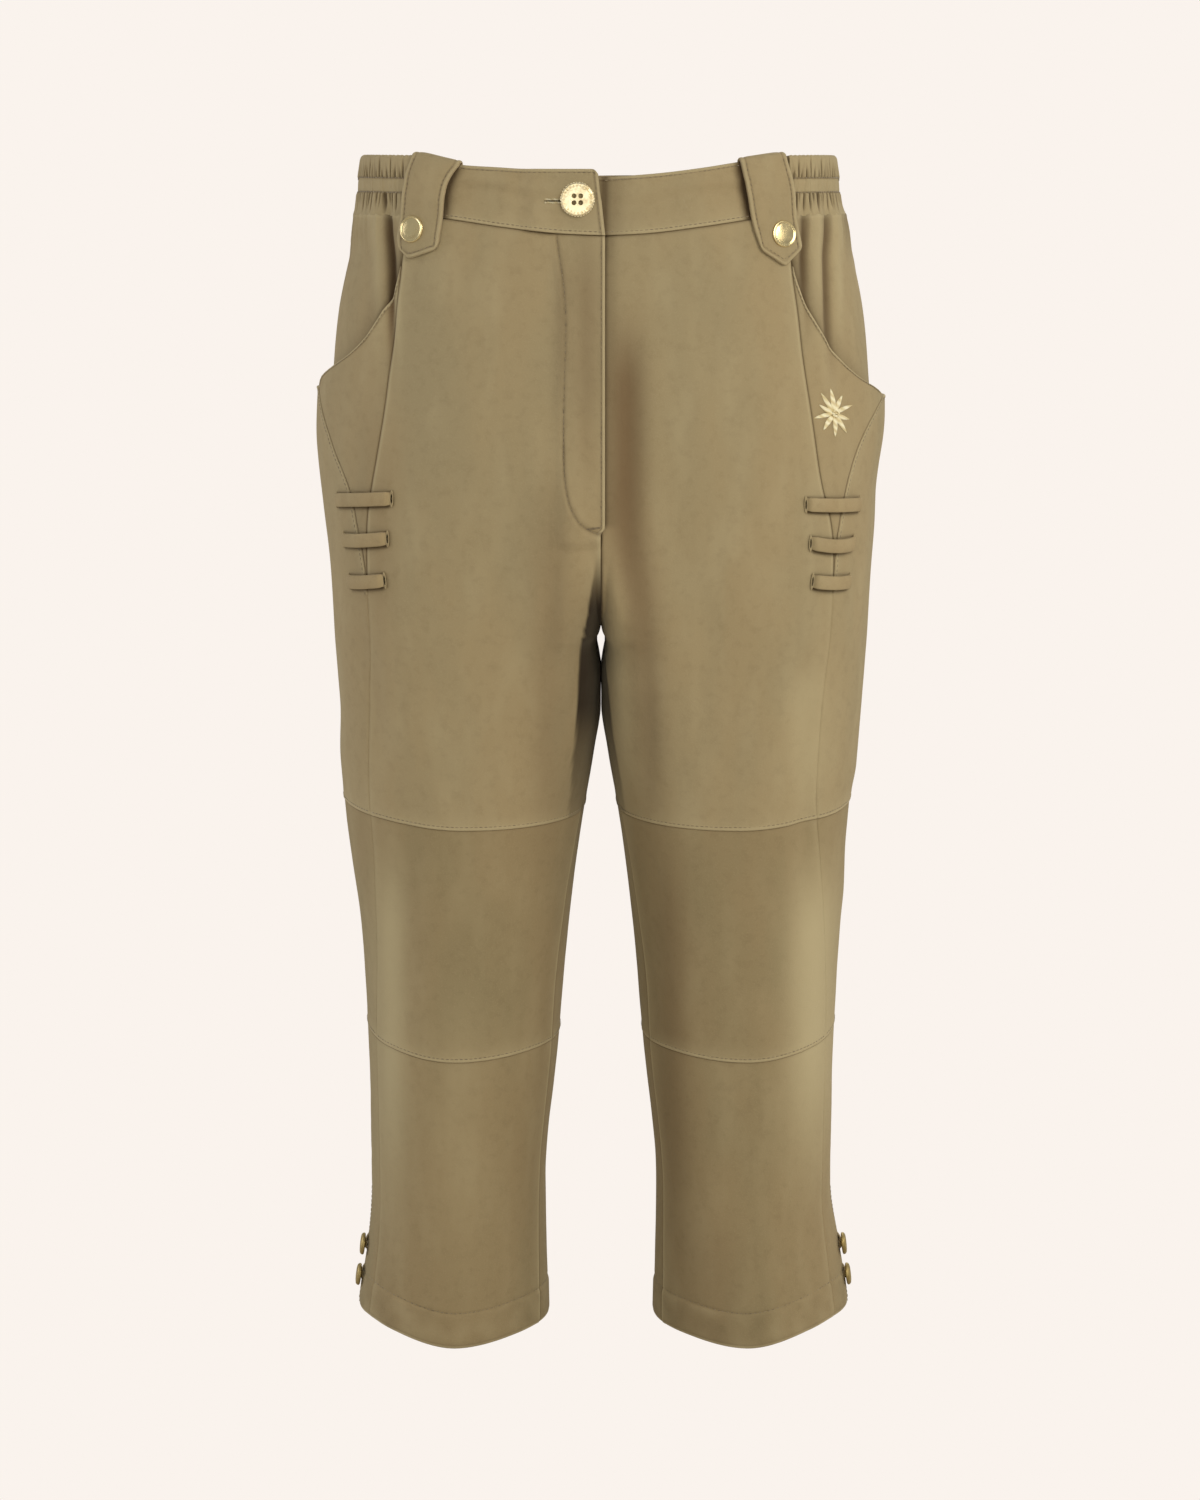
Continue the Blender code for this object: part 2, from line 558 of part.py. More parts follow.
def panel(name, side, lines, columns, top, bottom, rows, finish, out=None, wall=SUEDE):
    """A cloth panel. Its upright lines give a share at a height, its top and bottom a height at a share.

    The columns are how many strips of faces lie between each line and the next.
    """
    thickness = wall if callable(wall) else lambda z, share: wall
    move = out or (lambda z, share: 0.0)

    def shares(z):
        ends = [line(z) for line in lines]
        half = SEAM_GAP / 2 / length(z)
        ends[0] += half
        ends[-1] -= half
        spread = [ends[0]]
        for start, end, count in zip(ends, ends[1:], columns):
            spread += [start + (end - start) * (k + 1) / count for k in range(count)]
        return spread

    levels = [None, *rows, None]
    outer, inner = [], []
    for i, z in enumerate(levels):
        if z is not None:
            places = [(z, share) for share in shares(z)]
        else:
            places = []
            edge, inset = (top, -SEAM_GAP / 2) if i == 0 else (bottom, SEAM_GAP / 2)
            for j in range(sum(columns) + 1):
                z = edge(0.3) + inset
                for _ in range(3):
                    share = shares(z)[j]
                    z = edge(share) + inset
                places.append((z, share))
        outer.append([skin(side, z, share, move(z, share)) for z, share in places])
        inner.append([skin(side, z, share, move(z, share) - thickness(z, share)) for z, share in places])
    return wall_object(name, outer, inner, finish, flip=side == "r")


def rows_between(rows, top, bottom, clear=4.0):
    """The rows that lie between two heights, clear of the upper one."""
    return [z for z in rows if bottom <= z <= top - clear]


# ---------------------------------------------------------------- turned pieces

def spot(side, z, share, out):
    """Frame on the garment: Z out of the cloth, Y up along it."""
    origin = skin(side, z, share, out)
    normal = Vector(form_normal(z, share))
    if side == "r":
        normal.x = -normal.x
    across = Vector((0, 0, 1)).cross(normal).normalized()
    upward = normal.cross(across)
    turn = Matrix((across, upward, normal)).transposed().to_4x4()
    return Matrix.Translation(origin) @ turn


def turned(name, profile, segments, frame, finish):
    """Turns a profile of (radius, height) points, which starts and ends on the axis."""
    mesh = bmesh.new()
    rings = []
    for radius, height in profile:
        if radius == 0:
            rings.append([mesh.verts.new((0, 0, height * MM))])
            continue
        rings.append([
            mesh.verts.new((radius * MM * cos(2 * pi * k / segments),
                            radius * MM * sin(2 * pi * k / segments), height * MM))
            for k in range(segments)
        ])
    for low, high in zip(rings, rings[1:]):
        for k in range(segments):
            after = (k + 1) % segments
            corners = [low[k % len(low)], low[after % len(low)],
                       high[after % len(high)], high[k % len(high)]]
            mesh.faces.new(list(dict.fromkeys(corners)))
    bmesh.ops.recalc_face_normals(mesh, faces=mesh.faces)
    data = bpy.data.meshes.new(name)
    mesh.to_mesh(data)
    mesh.free()
    data.shade_smooth()
    data.set_sharp_from_angle(angle=0.6)
    data.materials.append(finish)
    obj = bpy.data.objects.new(name, data)
    obj.matrix_world = frame
    bpy.context.scene.collection.objects.link(obj)
    return obj


def cutter(name, outlines, depth, frame):
    """Upright prisms over closed outlines, hidden, for a Boolean to cut with."""
    mesh = bmesh.new()
    for corners in outlines:
        foot = [mesh.verts.new((x * MM, y * MM, -depth * MM)) for x, y in corners]
        face = mesh.faces.new(foot)
        grown = bmesh.ops.extrude_face_region(mesh, geom=[face])["geom"]
        top = [item for item in grown if isinstance(item, bmesh.types.BMVert)]
        bmesh.ops.translate(mesh, verts=top, vec=(0, 0, 2 * depth * MM))
    bmesh.ops.recalc_face_normals(mesh, faces=mesh.faces)
    data = bpy.data.meshes.new(name)
    mesh.to_mesh(data)
    mesh.free()
    obj = bpy.data.objects.new(name, data)
    obj.matrix_world = frame
    obj.hide_render = True
    obj.display_type = "WIRE"
    bpy.context.scene.collection.objects.link(obj)
    return obj


def cut(obj, tool):
    modifier = obj.modifiers.new("Cut", "BOOLEAN")
    modifier.operation = "DIFFERENCE"
    modifier.solver = "EXACT"
    modifier.object = tool


def circle(x, y, radius, count):
    return [(x + radius * cos(2 * pi * k / count), y + radius * sin(2 * pi * k / count))
            for k in range(count)]


# ---------------------------------------------------------------- finishes

def finish(name, colour, roughness, metallic=0.0):
    material = bpy.data.materials.new(name)
    material.use_nodes = True
    shader = material.node_tree.nodes["Principled BSDF"]
    linear = [((c + 0.055) / 1.055) ** 2.4 if c > 0.04045 else c / 12.92 for c in colour]
    shader.inputs["Base Color"].default_value = (*linear, 1)
    shader.inputs["Roughness"].default_value = roughness
    shader.inputs["Metallic"].default_value = metallic
    return material


# ---------------------------------------------------------------- sub-parts

def build_waistband(suede):
    """Band with a button lap in front, a gathered elastic at each side, and a plain back."""
    def lap_lift(z, share):
        away = share * length(z)
        return (BAND_WALL + CLEAR) * ease((BAND_UNDERLAP + BAND_LIFT_RUN - away) / BAND_LIFT_FADE)

    def lap_end(z):
        down = min(max((BAND_TOP_Z - z) / (BAND_TOP_Z - BAND_FOOT_Z), 0.0), 1.0)
        return -(BAND_LAP_TOP + (BAND_LAP_FOOT - BAND_LAP_TOP) * down) / length(z)

    def underlap_end(z):
        return -BAND_UNDERLAP / length(z)

    def to_elastic(z):
        return share_at(z, ELASTIC_START_X)

    def elastic_end(z):
        return side_back(z) + ELASTIC_PAST_SIDE / length(z)

    for side, front_end, lift in (("r", lap_end, lap_lift), ("l", underlap_end, None)):
        panel(f"waistband_front_{side}", side, lines=(front_end, to_elastic), columns=(BAND_COLUMNS,),
              top=lambda share, side=side: level(WAIST_TOP[side], share) + SEAM_GAP / 2,
              bottom=lambda share: level(WAIST_SEAM, share),
              rows=(BAND_MIDDLE_Z,), finish=suede, out=lift, wall=BAND_WALL)
        build_elastic(side, to_elastic, elastic_end, suede)
    build_back_band(elastic_end, suede)


def build_elastic(side, start, end, suede):
    """Gathered insert: ridges in an upper and a lower zone, a plain channel between."""
    columns = GATHERS * GATHER_COLUMNS
    outer, inner = [], []
    for channel in CHANNELS:
        outer_row, inner_row = [], []
        for j in range(columns + 1):
            z = BAND_MIDDLE_Z
            for _ in range(3):
                low, high = start(z) + SEAM_GAP / 2 / length(z), end(z) - SEAM_GAP / 2 / length(z)
                share = low + (high - low) * j / columns
                top = level(WAIST_TOP[side], share)
                z = top + (level(WAIST_SEAM, share) + SEAM_GAP / 2 - top) * channel.down
            ridge = 0.5 - 0.5 * cos(2 * pi * j / GATHER_COLUMNS)
            outer_row.append(skin(side, z, share, channel.height * ridge - ELASTIC_DRAWN_IN))
            inner_row.append(skin(side, z, share, -BAND_WALL - ELASTIC_DRAWN_IN))
        outer.append(outer_row)
        inner.append(inner_row)
    wall_object(f"waistband_elastic_{side}", outer, inner, suede, flip=side == "r")


def build_back_band(start, suede):
    """One piece from elastic to elastic across the back."""
    half = SEAM_GAP / 2
    columns, rows = 8, 2
    outer, inner = [], []
    for i in range(rows + 1):
        outer_row, inner_row = [], []
        for side, steps in (("l", range(columns)), ("r", range(columns, -1, -1))):
            for j in steps:
                z = BAND_MIDDLE_Z
                for _ in range(3):
                    low = start(z) + half / length(z)
                    share = low + (1.0 - low) * j / columns
                    top = level(WAIST_TOP[side], share)
                    z = top + (level(WAIST_SEAM, share) + half - top) * i / rows
                outer_row.append(skin(side, z, share))
                inner_row.append(skin(side, z, share, -BAND_WALL))
        outer.append(outer_row)
        inner.append(inner_row)
    wall_object("waistband_back", outer, inner, suede, flip=False)


def build_front_thigh(side, suede):
    reach = FLY_LAP if side == "r" else FLY_UNDERLAP

    def near(z):
        if z >= FLY_BOTTOM_Z:
            return -reach / length(z)
        return centre_front(z)

    def fly_lift(z, share):
        fade_up = ease((z - FLY_BOTTOM_Z + FLY_TAIL) / FLY_TAIL_FADE)
        return FLY_LIFT * fade_up * ease((FLY_LIFT_WIDTH + FLY_LIFT_FADE - share * length(z)) / FLY_LIFT_FADE)

    panel(f"front_thigh_{side}", side, lines=(near, groove_front, front_side(side)), columns=FRONT_COLUMNS,
          top=lambda share: level(WAIST_SEAM, share), bottom=lambda share: level(UPPER_KNEE, share),
          rows=FRONT_ROWS, finish=suede, out=fly_lift if side == "r" else None)


def build_zip(zip_finish):
    """Tape of the fly's zip, edge to edge with the left front, under the right one."""
    outer, inner = [], []
    for z in ZIP_ROWS:
        row = []
        for away in (FLY_UNDERLAP + SEAM_GAP, FLY_UNDERLAP + SEAM_GAP + ZIP_WIDTH):
            row.append(-away / length(z))
        outer.append([skin("l", z, share, ZIP_OUT) for share in row])
        inner.append([skin("l", z, share, ZIP_OUT - ZIP_WALL) for share in row])
    wall_object("fly_zip", outer, inner, zip_finish, flip=True)


def build_hip(side, suede):
    """Panel behind the pocket, gathered into the elastic; it ends under the pocket."""
    def near(z):
        return front_side(side)(z) + HIP_CLEAR * ease((POCKET_TOP_Z - z) / HIP_CLEAR_FADE) / length(z)

    panel(f"hip_{side}", side, lines=(near, side_back), columns=HIP_COLUMNS,
          top=lambda share: level(WAIST_SEAM, share), bottom=lambda share: HIP_HIDDEN_END_Z,
          rows=HIP_ROWS, finish=suede,
          out=lambda z, share: -HIP_RECESS * ease((HIP_RECESS_START_Z - z) / HIP_RECESS_FADE))


def build_pocket(side, suede):
    """Inset with the pocket's mouth, and the side panel behind it."""
    gape = pocket_gape(side)
    inset_foot = INSET_TIP_Z + INSET_TIP_CLEAR
    mouth_end = MOUTH_END_Z[side]
    panel(f"pocket_inset_{side}", side, lines=(front_side(side), inset_outer(side)), columns=INSET_COLUMNS,
          top=lambda share: INSET_TOP_Z, bottom=lambda share: inset_foot,
          rows=rows_between(FRONT_ROWS, INSET_TOP_Z, inset_foot, 2.0), finish=suede, out=gape)
    panel(f"side_thigh_{side}", side, lines=(side_outer(side), side_back), columns=SIDE_COLUMNS,
          top=lambda share: mouth_end, bottom=lambda share: level(UPPER_KNEE, share),
          rows=rows_between(FRONT_ROWS, mouth_end, FRONT_ROWS[-1]), finish=suede, out=gape)


def build_back_thigh(side, suede):
    panel(f"back_thigh_{side}", side, lines=(side_back, groove_back, centre_back), columns=BACK_COLUMNS,
          top=lambda share: level(WAIST_SEAM, share), bottom=lambda share: level(UPPER_KNEE, share),
          rows=BACK_ROWS, finish=suede)


def build_leg(side, suede):
    """Knee and lower leg: front, side and back panels, a vent at the side and a turned-up hem."""
    def with_hem(z, share):
        return SUEDE + HEM_EXTRA_WALL * ease((level(HEM, share) + HEM_TURN_UP - z) / HEM_FADE)

    def vent_front(z):
        return side_back(z) - VENT_HALF_GAP * ease((VENT_TOP_Z - z) / VENT_FADE) / length(z)

    def vent_back(z):
        return side_back(z) + VENT_HALF_GAP * ease((VENT_TOP_Z - z) / VENT_FADE) / length(z)

    seam = front_side(side)
    front = (centre_front, groove_front, seam)
    parts = (("front", front, front, FRONT_COLUMNS),
             ("side", (seam, side_back), (seam, vent_front), INSET_COLUMNS),
             ("back", (side_back, groove_back, centre_back), (vent_back, groove_back, centre_back),
              BACK_COLUMNS))
    for place, knee_lines, shin_lines, columns in parts:
        panel(f"knee_{place}_{side}", side, lines=knee_lines, columns=columns,
              top=lambda share: level(UPPER_KNEE, share), bottom=lambda share: level(LOWER_KNEE, share),
              rows=KNEE_ROWS, finish=suede)
        panel(f"shin_{place}_{side}", side, lines=shin_lines, columns=columns,
              top=lambda share: level(LOWER_KNEE, share), bottom=lambda share: level(HEM, share),
              rows=SHIN_ROWS, finish=suede, wall=with_hem)


def build_tab(side, suede, brass):
    """Strip from inside the band over its top edge and down the front to a point, with a snap."""
    point_at, point_z = TAB_POINT[side]
    columns = (-1.0, (point_at - 1) / 2, point_at, (point_at + 1) / 2, 1.0)
    inside = -(BAND_WALL + CLEAR)
    outer, inner = [], []

    def add(rows, down, out, above=0.0, to_point=False):
        """One row of points: down the front by a share, or above or below the band's top edge."""
        middle_x = smooth([(line.down, line.x) for line in TAB_LINES[side]], down)
        half_width = smooth([(line.down, line.half_width) for line in TAB_LINES[side]], down)
        row = []
        for c in columns:
            x = middle_x + half_width * c
            top = level(WAIST_TOP[side], share_at(BAND_TOP_Z, x))
            z = top + above + (TAB_FOOT_Z - top) * down
            if to_point:
                to_corner = abs(c - point_at) / (1 + point_at if c < point_at else 1 - point_at)
                z = point_z + (TAB_FOOT_Z - point_z) * to_corner
            row.append(skin(side, z, share_at(z, x), out))
        rows.append(row)

    for above in TAB_INSIDE_ROWS:
        add(outer, 0, inside - TAB_WALL, above)
        add(inner, 0, inside, above)
    middle, reach = (inside + CLEAR) / 2, (CLEAR - inside) / 2
    for turn in TAB_TURNS:
        for rows, radius in ((outer, reach + TAB_WALL), (inner, reach)):
            add(rows, 0, middle - radius * cos(pi * turn), radius * sin(pi * turn) + CLEAR)
    for row in TAB_ROWS:
        add(outer, row.down, row.out + TAB_WALL)
        add(inner, row.down, row.out)
    flat_out = TAB_ROWS[-1].out
    add(outer, 1, flat_out + TAB_WALL, to_point=True)
    add(inner, 1, flat_out, to_point=True)
    wall_object(f"waist_tab_{side}", outer, inner, suede, flip=side == "r")

    z = SNAP_Z[side]
    out = flat_out + TAB_WALL + SEAM_GAP
    turned(f"snap_{side}", SNAP_PROFILE, 16, spot(side, z, share_at(z, SNAP_X[side]), out), brass)


def build_waist_button(band, brass):
    """Four-hole button on the lap, its shank through a keyhole buttonhole."""
    surface = BAND_WALL + CLEAR
    frame = spot("r", BUTTON_Z, share_at(BUTTON_Z, BUTTON_X), surface)
    run = BUTTONHOLE_END_X - BUTTON_X
    slit = BUTTONHOLE_SLIT / 2
    eye = [(x, y) for x, y in circle(0, 0, BUTTONHOLE_EYE, 14) if x > 0 or abs(y) > slit]
    keyhole = [(-run, slit), (-run, -slit)] + sorted(eye, key=lambda corner: atan2(corner[1], corner[0]))
    cut(band, cutter("buttonhole_cutter", [keyhole], 12.0, frame))
    foot = -surface + CLEAR
    button = turned("waist_button", ((0, foot), (BUTTON_SHANK, foot), *BUTTON_PROFILE), 24, frame, brass)
    at = THREAD_HOLE_CENTRE
    holes = [circle(x, y, THREAD_HOLE, 8) for x in (-at, at) for y in (-at, at)]
    cut(button, cutter("thread_hole_cutter", holes, 8.0, frame))


def build_strips(leather):
    """Raised bridges over the lacing slits, on whatever the pocket's gape does to the panels."""
    counts = {"r": 0, "l": 0}
    for strip in STRIPS:
        counts[strip.side] += 1
        gape = pocket_gape(strip.side)
        outer, inner = [], []
        for i in range(STRIP_STEPS + 1):
            t = i / STRIP_STEPS
            share = strip.start + (strip.end - strip.start) * t
            middle = strip.z_start + (strip.z_end - strip.z_start) * t - strip.sag * sin(pi * t)
            out = STRIP_STAND_OFF + STRIP_BULGE * sin(pi * t) ** STRIP_FULLNESS + gape(middle, share)
            heights = (middle + STRIP_WIDTH / 2, middle - STRIP_WIDTH / 2)
            outer.append([skin(strip.side, z, share, out + STRIP_WALL) for z in heights])
            inner.append([skin(strip.side, z, share, out) for z in heights])
        wall_object(f"strap_{strip.side}_{counts[strip.side]}", outer, inner, leather,
                    flip=strip.side == "l")


def build_vent_fastenings(side, leather, brass):
    """Two buttons at the front edge of the vent, and the loops from its back edge."""
    steps = 4
    for number, z in enumerate(VENT_BUTTONS_Z, start=1):
        share = side_back(z)
        forward = share - VENT_BUTTON_FORWARD / length(z)
        turned(f"vent_button_{side}_{number}", VENT_BUTTON_PROFILE, 12,
               spot(side, z, forward, SEAM_GAP + LOOP_WALL + CLEAR), brass)
        outer, inner = [], []
        for i in range(steps + 1):
            run = LOOP_BACK + VENT_BUTTON_FORWARD
            at = forward + (run * i / steps - LOOP_PAST_BUTTON) / length(z)
            heights = (z + LOOP_WIDTH / 2, z - LOOP_WIDTH / 2)
            outer.append([skin(side, h, at, SEAM_GAP + LOOP_WALL) for h in heights])
            inner.append([skin(side, h, at, SEAM_GAP) for h in heights])
        wall_object(f"vent_loop_{side}_{number}", outer, inner, leather, flip=side == "l")


def main():
    for obj in list(bpy.data.objects):
        bpy.data.objects.remove(obj, do_unlink=True)
    suede = finish("khaki nubuck", (0.60, 0.53, 0.39), 0.9)
    leather = finish("smooth leather strip", (0.66, 0.59, 0.46), 0.7)
    brass = finish("pale brass", (0.83, 0.74, 0.54), 0.3, 1.0)
    tape = finish("zip tape", (0.45, 0.38, 0.26), 0.8)
    build_waistband(suede)
    build_zip(tape)
    for side in "rl":
        build_front_thigh(side, suede)
        build_hip(side, suede)
        build_pocket(side, suede)
        build_back_thigh(side, suede)
        build_leg(side, suede)
        build_tab(side, suede, brass)
        build_vent_fastenings(side, leather, brass)
    build_strips(leather)
    build_waist_button(bpy.data.objects["waistband_front_r"], brass)


main()
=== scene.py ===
"""Looks of a pair of women's three-quarter folk-dress trousers in khaki nubuck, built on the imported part.

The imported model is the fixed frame. Every cloth panel is a thin shell laid on the same form that the solids
follow, at a finer grain, with its seams, edge stitching, gathers and folds. A place on the form is a height
and a share, 0 to 1, of the half outline at that height. Sizes are in millimetres, and meshes in metres.
"""

import logging
from collections.abc import Callable, Sequence
from dataclasses import dataclass, field
from enum import Enum
from math import atan2, ceil, cos, degrees, hypot, pi, radians, sin

import bpy
import numpy as np
from mathutils import Matrix, Vector, noise


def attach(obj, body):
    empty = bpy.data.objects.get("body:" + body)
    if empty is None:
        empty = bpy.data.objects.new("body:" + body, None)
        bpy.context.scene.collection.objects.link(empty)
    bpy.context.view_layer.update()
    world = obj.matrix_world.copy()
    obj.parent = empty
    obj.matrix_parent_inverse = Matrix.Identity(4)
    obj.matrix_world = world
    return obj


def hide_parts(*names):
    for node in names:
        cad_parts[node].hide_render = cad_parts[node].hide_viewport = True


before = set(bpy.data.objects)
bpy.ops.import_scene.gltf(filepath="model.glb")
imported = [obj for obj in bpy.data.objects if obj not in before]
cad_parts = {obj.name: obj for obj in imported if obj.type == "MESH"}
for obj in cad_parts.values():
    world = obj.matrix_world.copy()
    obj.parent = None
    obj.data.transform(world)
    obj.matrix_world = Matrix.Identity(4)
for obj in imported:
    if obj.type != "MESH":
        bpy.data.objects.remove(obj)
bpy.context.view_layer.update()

LOG = logging.getLogger("trousers")
MM = 0.001
BODY = "root"
FAR = 99.0  # mm, further than any edge is from a place that asks
SETTLING = 4  # turns in which a place that depends on itself settles
MID_SHARE = 0.3  # where a level seam is first read
SEAM_STITCH = 2.6  # mm from a seam to its topstitching
# waves, fine waves, puckers and blotches of the hide, each a metre
WAVES, FINE_WAVES, PUCKERS, BLOTCHES = 17.0, 41.0, 120.0, 75.0

Array = np.ndarray
Line = Callable[[Array], Array]
Relief = Callable[[Array, Array], Array]


class Side(Enum):
    """A side of the wearer. Their right is on the left of a front view."""

    RIGHT = "r"
    LEFT = "l"

    @property
    def sign(self) -> float:
        """Direction of X on this side."""
        return -1.0 if self is Side.RIGHT else 1.0


class Curve:
    """A smooth curve through (position, value) rows that never runs past its rows."""

    def __init__(self, *rows: Sequence[float]) -> None:
        """Sorts the rows and works out the slope at each.

        Args:
            rows: Pairs of position and value, in any order.
        """
        self.x, self.y = np.array(sorted(rows), float).T
        self.spans = np.diff(self.x)
        slopes = np.diff(self.y) / self.spans
        before, after = slopes[:-1], slopes[1:]
        mean = (before * self.spans[1:] + after * self.spans[:-1]) / (self.spans[:-1] + self.spans[1:])
        most = np.where(before * after > 0, 3 * np.minimum(abs(before), abs(after)), 0.0)
        self.bends = np.concatenate([slopes[:1], np.clip(mean, -most, most), slopes[-1:]])

    def __call__(self, at: Array | float) -> Array:
        """Reads the curve.

        Args:
            at: Positions; outside the rows the end values hold.

        Returns:
            The values there.
        """
        at = np.clip(at, self.x[0], self.x[-1])
        i = np.clip(np.searchsorted(self.x, at) - 1, 0, len(self.spans) - 1)
        t = (at - self.x[i]) / self.spans[i]
        return (
            (2 * t**3 - 3 * t**2 + 1) * self.y[i]
            + (t**3 - 2 * t**2 + t) * self.spans[i] * self.bends[i]
            + (3 * t**2 - 2 * t**3) * self.y[i + 1]
            + (t**3 - t**2) * self.spans[i] * self.bends[i + 1]
        )


def ease(t: Array | float) -> Array:
    """0 to 1 with no kink at either end."""
    t = np.clip(t, 0.0, 1.0)
    return t * t * (3 - 2 * t)


def bell(away: Array, width: float) -> Array:
    """1 at 0, falling smoothly to nothing at about twice the width."""
    return np.exp(-((away / width) ** 2))


def hide_noise(points: Array, waves: float) -> Array:
    """Even noise in the hide at points in metres, with so many waves a metre."""
    values = [noise.noise(Vector(p) * waves) for p in points.reshape(-1, 3)]
    return np.array(values).reshape(points.shape[:-1])


def link_new(name: str, data: bpy.types.ID) -> bpy.types.Object:
    """Puts a mesh, light or camera into the scene.

    Args:
        name: Its name.
        data: The mesh, light or camera.

    Returns:
        The object.
    """
    obj = bpy.data.objects.new(name, data)
    bpy.context.scene.collection.objects.link(obj)
    return obj


def resize(value: Sequence[float], **more: object) -> None:
    """Resizes the whole of the active mesh in edit mode.

    Args:
        value: How much, along X, Y and Z.
        more: Other settings of the operator.
    """
    bpy.ops.object.mode_set(mode="EDIT")
    bpy.ops.mesh.select_all(action="SELECT")
    bpy.ops.transform.resize(value=value, **more)
    bpy.ops.object.mode_set(mode="OBJECT")


# ---------------------------------------------------------------- the form under the cloth


@dataclass(frozen=True)
class Fold:
    """A soft fold of the cloth along a line, in or out.

    The line is given by its top and bottom: the height, and the run round from the outermost line,
    minus towards the front. Depth is out (+) or in (-), and width is half its width.
    """

    side: Side
    z_top: float
    run_top: float
    z_bottom: float
    run_bottom: float
    depth: float
    width: float

    def height(self, z: Array, run: Array) -> Array:
        """How far the fold moves the cloth out at heights and runs.

        Args:
            z: Heights.
            run: Runs round from the outermost line, or distances from the middle.

        Returns:
            The distances out, in mm.
        """
        t = (z - self.z_top) / (self.z_bottom - self.z_top)
        away = run - self.run_top - (self.run_bottom - self.run_top) * t
        return self.depth * ease((t + 0.1) / 0.3) * ease((1.0 - t) / 0.55) * bell(away, self.width)


@dataclass
class Survey:
    """Outlines at many heights, each read at even shares, with the direction out of the form."""

    levels: Array
    values: Array
    length: Array
    outermost: Array
    outlines: list[tuple[Array, Array, Array, float]]

    def read(self, z: Array, share: Array) -> Array:
        """x, y and the three parts of the normal at heights and shares from 0 to 1.

        Args:
            z: Heights.
            share: Shares from 0 to 1.

        Returns:
            Five values for each place.
        """
        i = np.clip(np.searchsorted(self.levels, z) - 1, 0, len(self.levels) - 2)
        t = np.clip((z - self.levels[i]) / (self.levels[i + 1] - self.levels[i]), 0, 1)[..., None]
        step = share * (self.values.shape[1] - 1)
        j = np.clip(step.astype(int), 0, self.values.shape[1] - 2)
        u = (step - j)[..., None]
        low = self.values[i, j] * (1 - u) + self.values[i, j + 1] * u
        high = self.values[i + 1, j] * (1 - u) + self.values[i + 1, j + 1] * u
        return low * (1 - t) + high * t


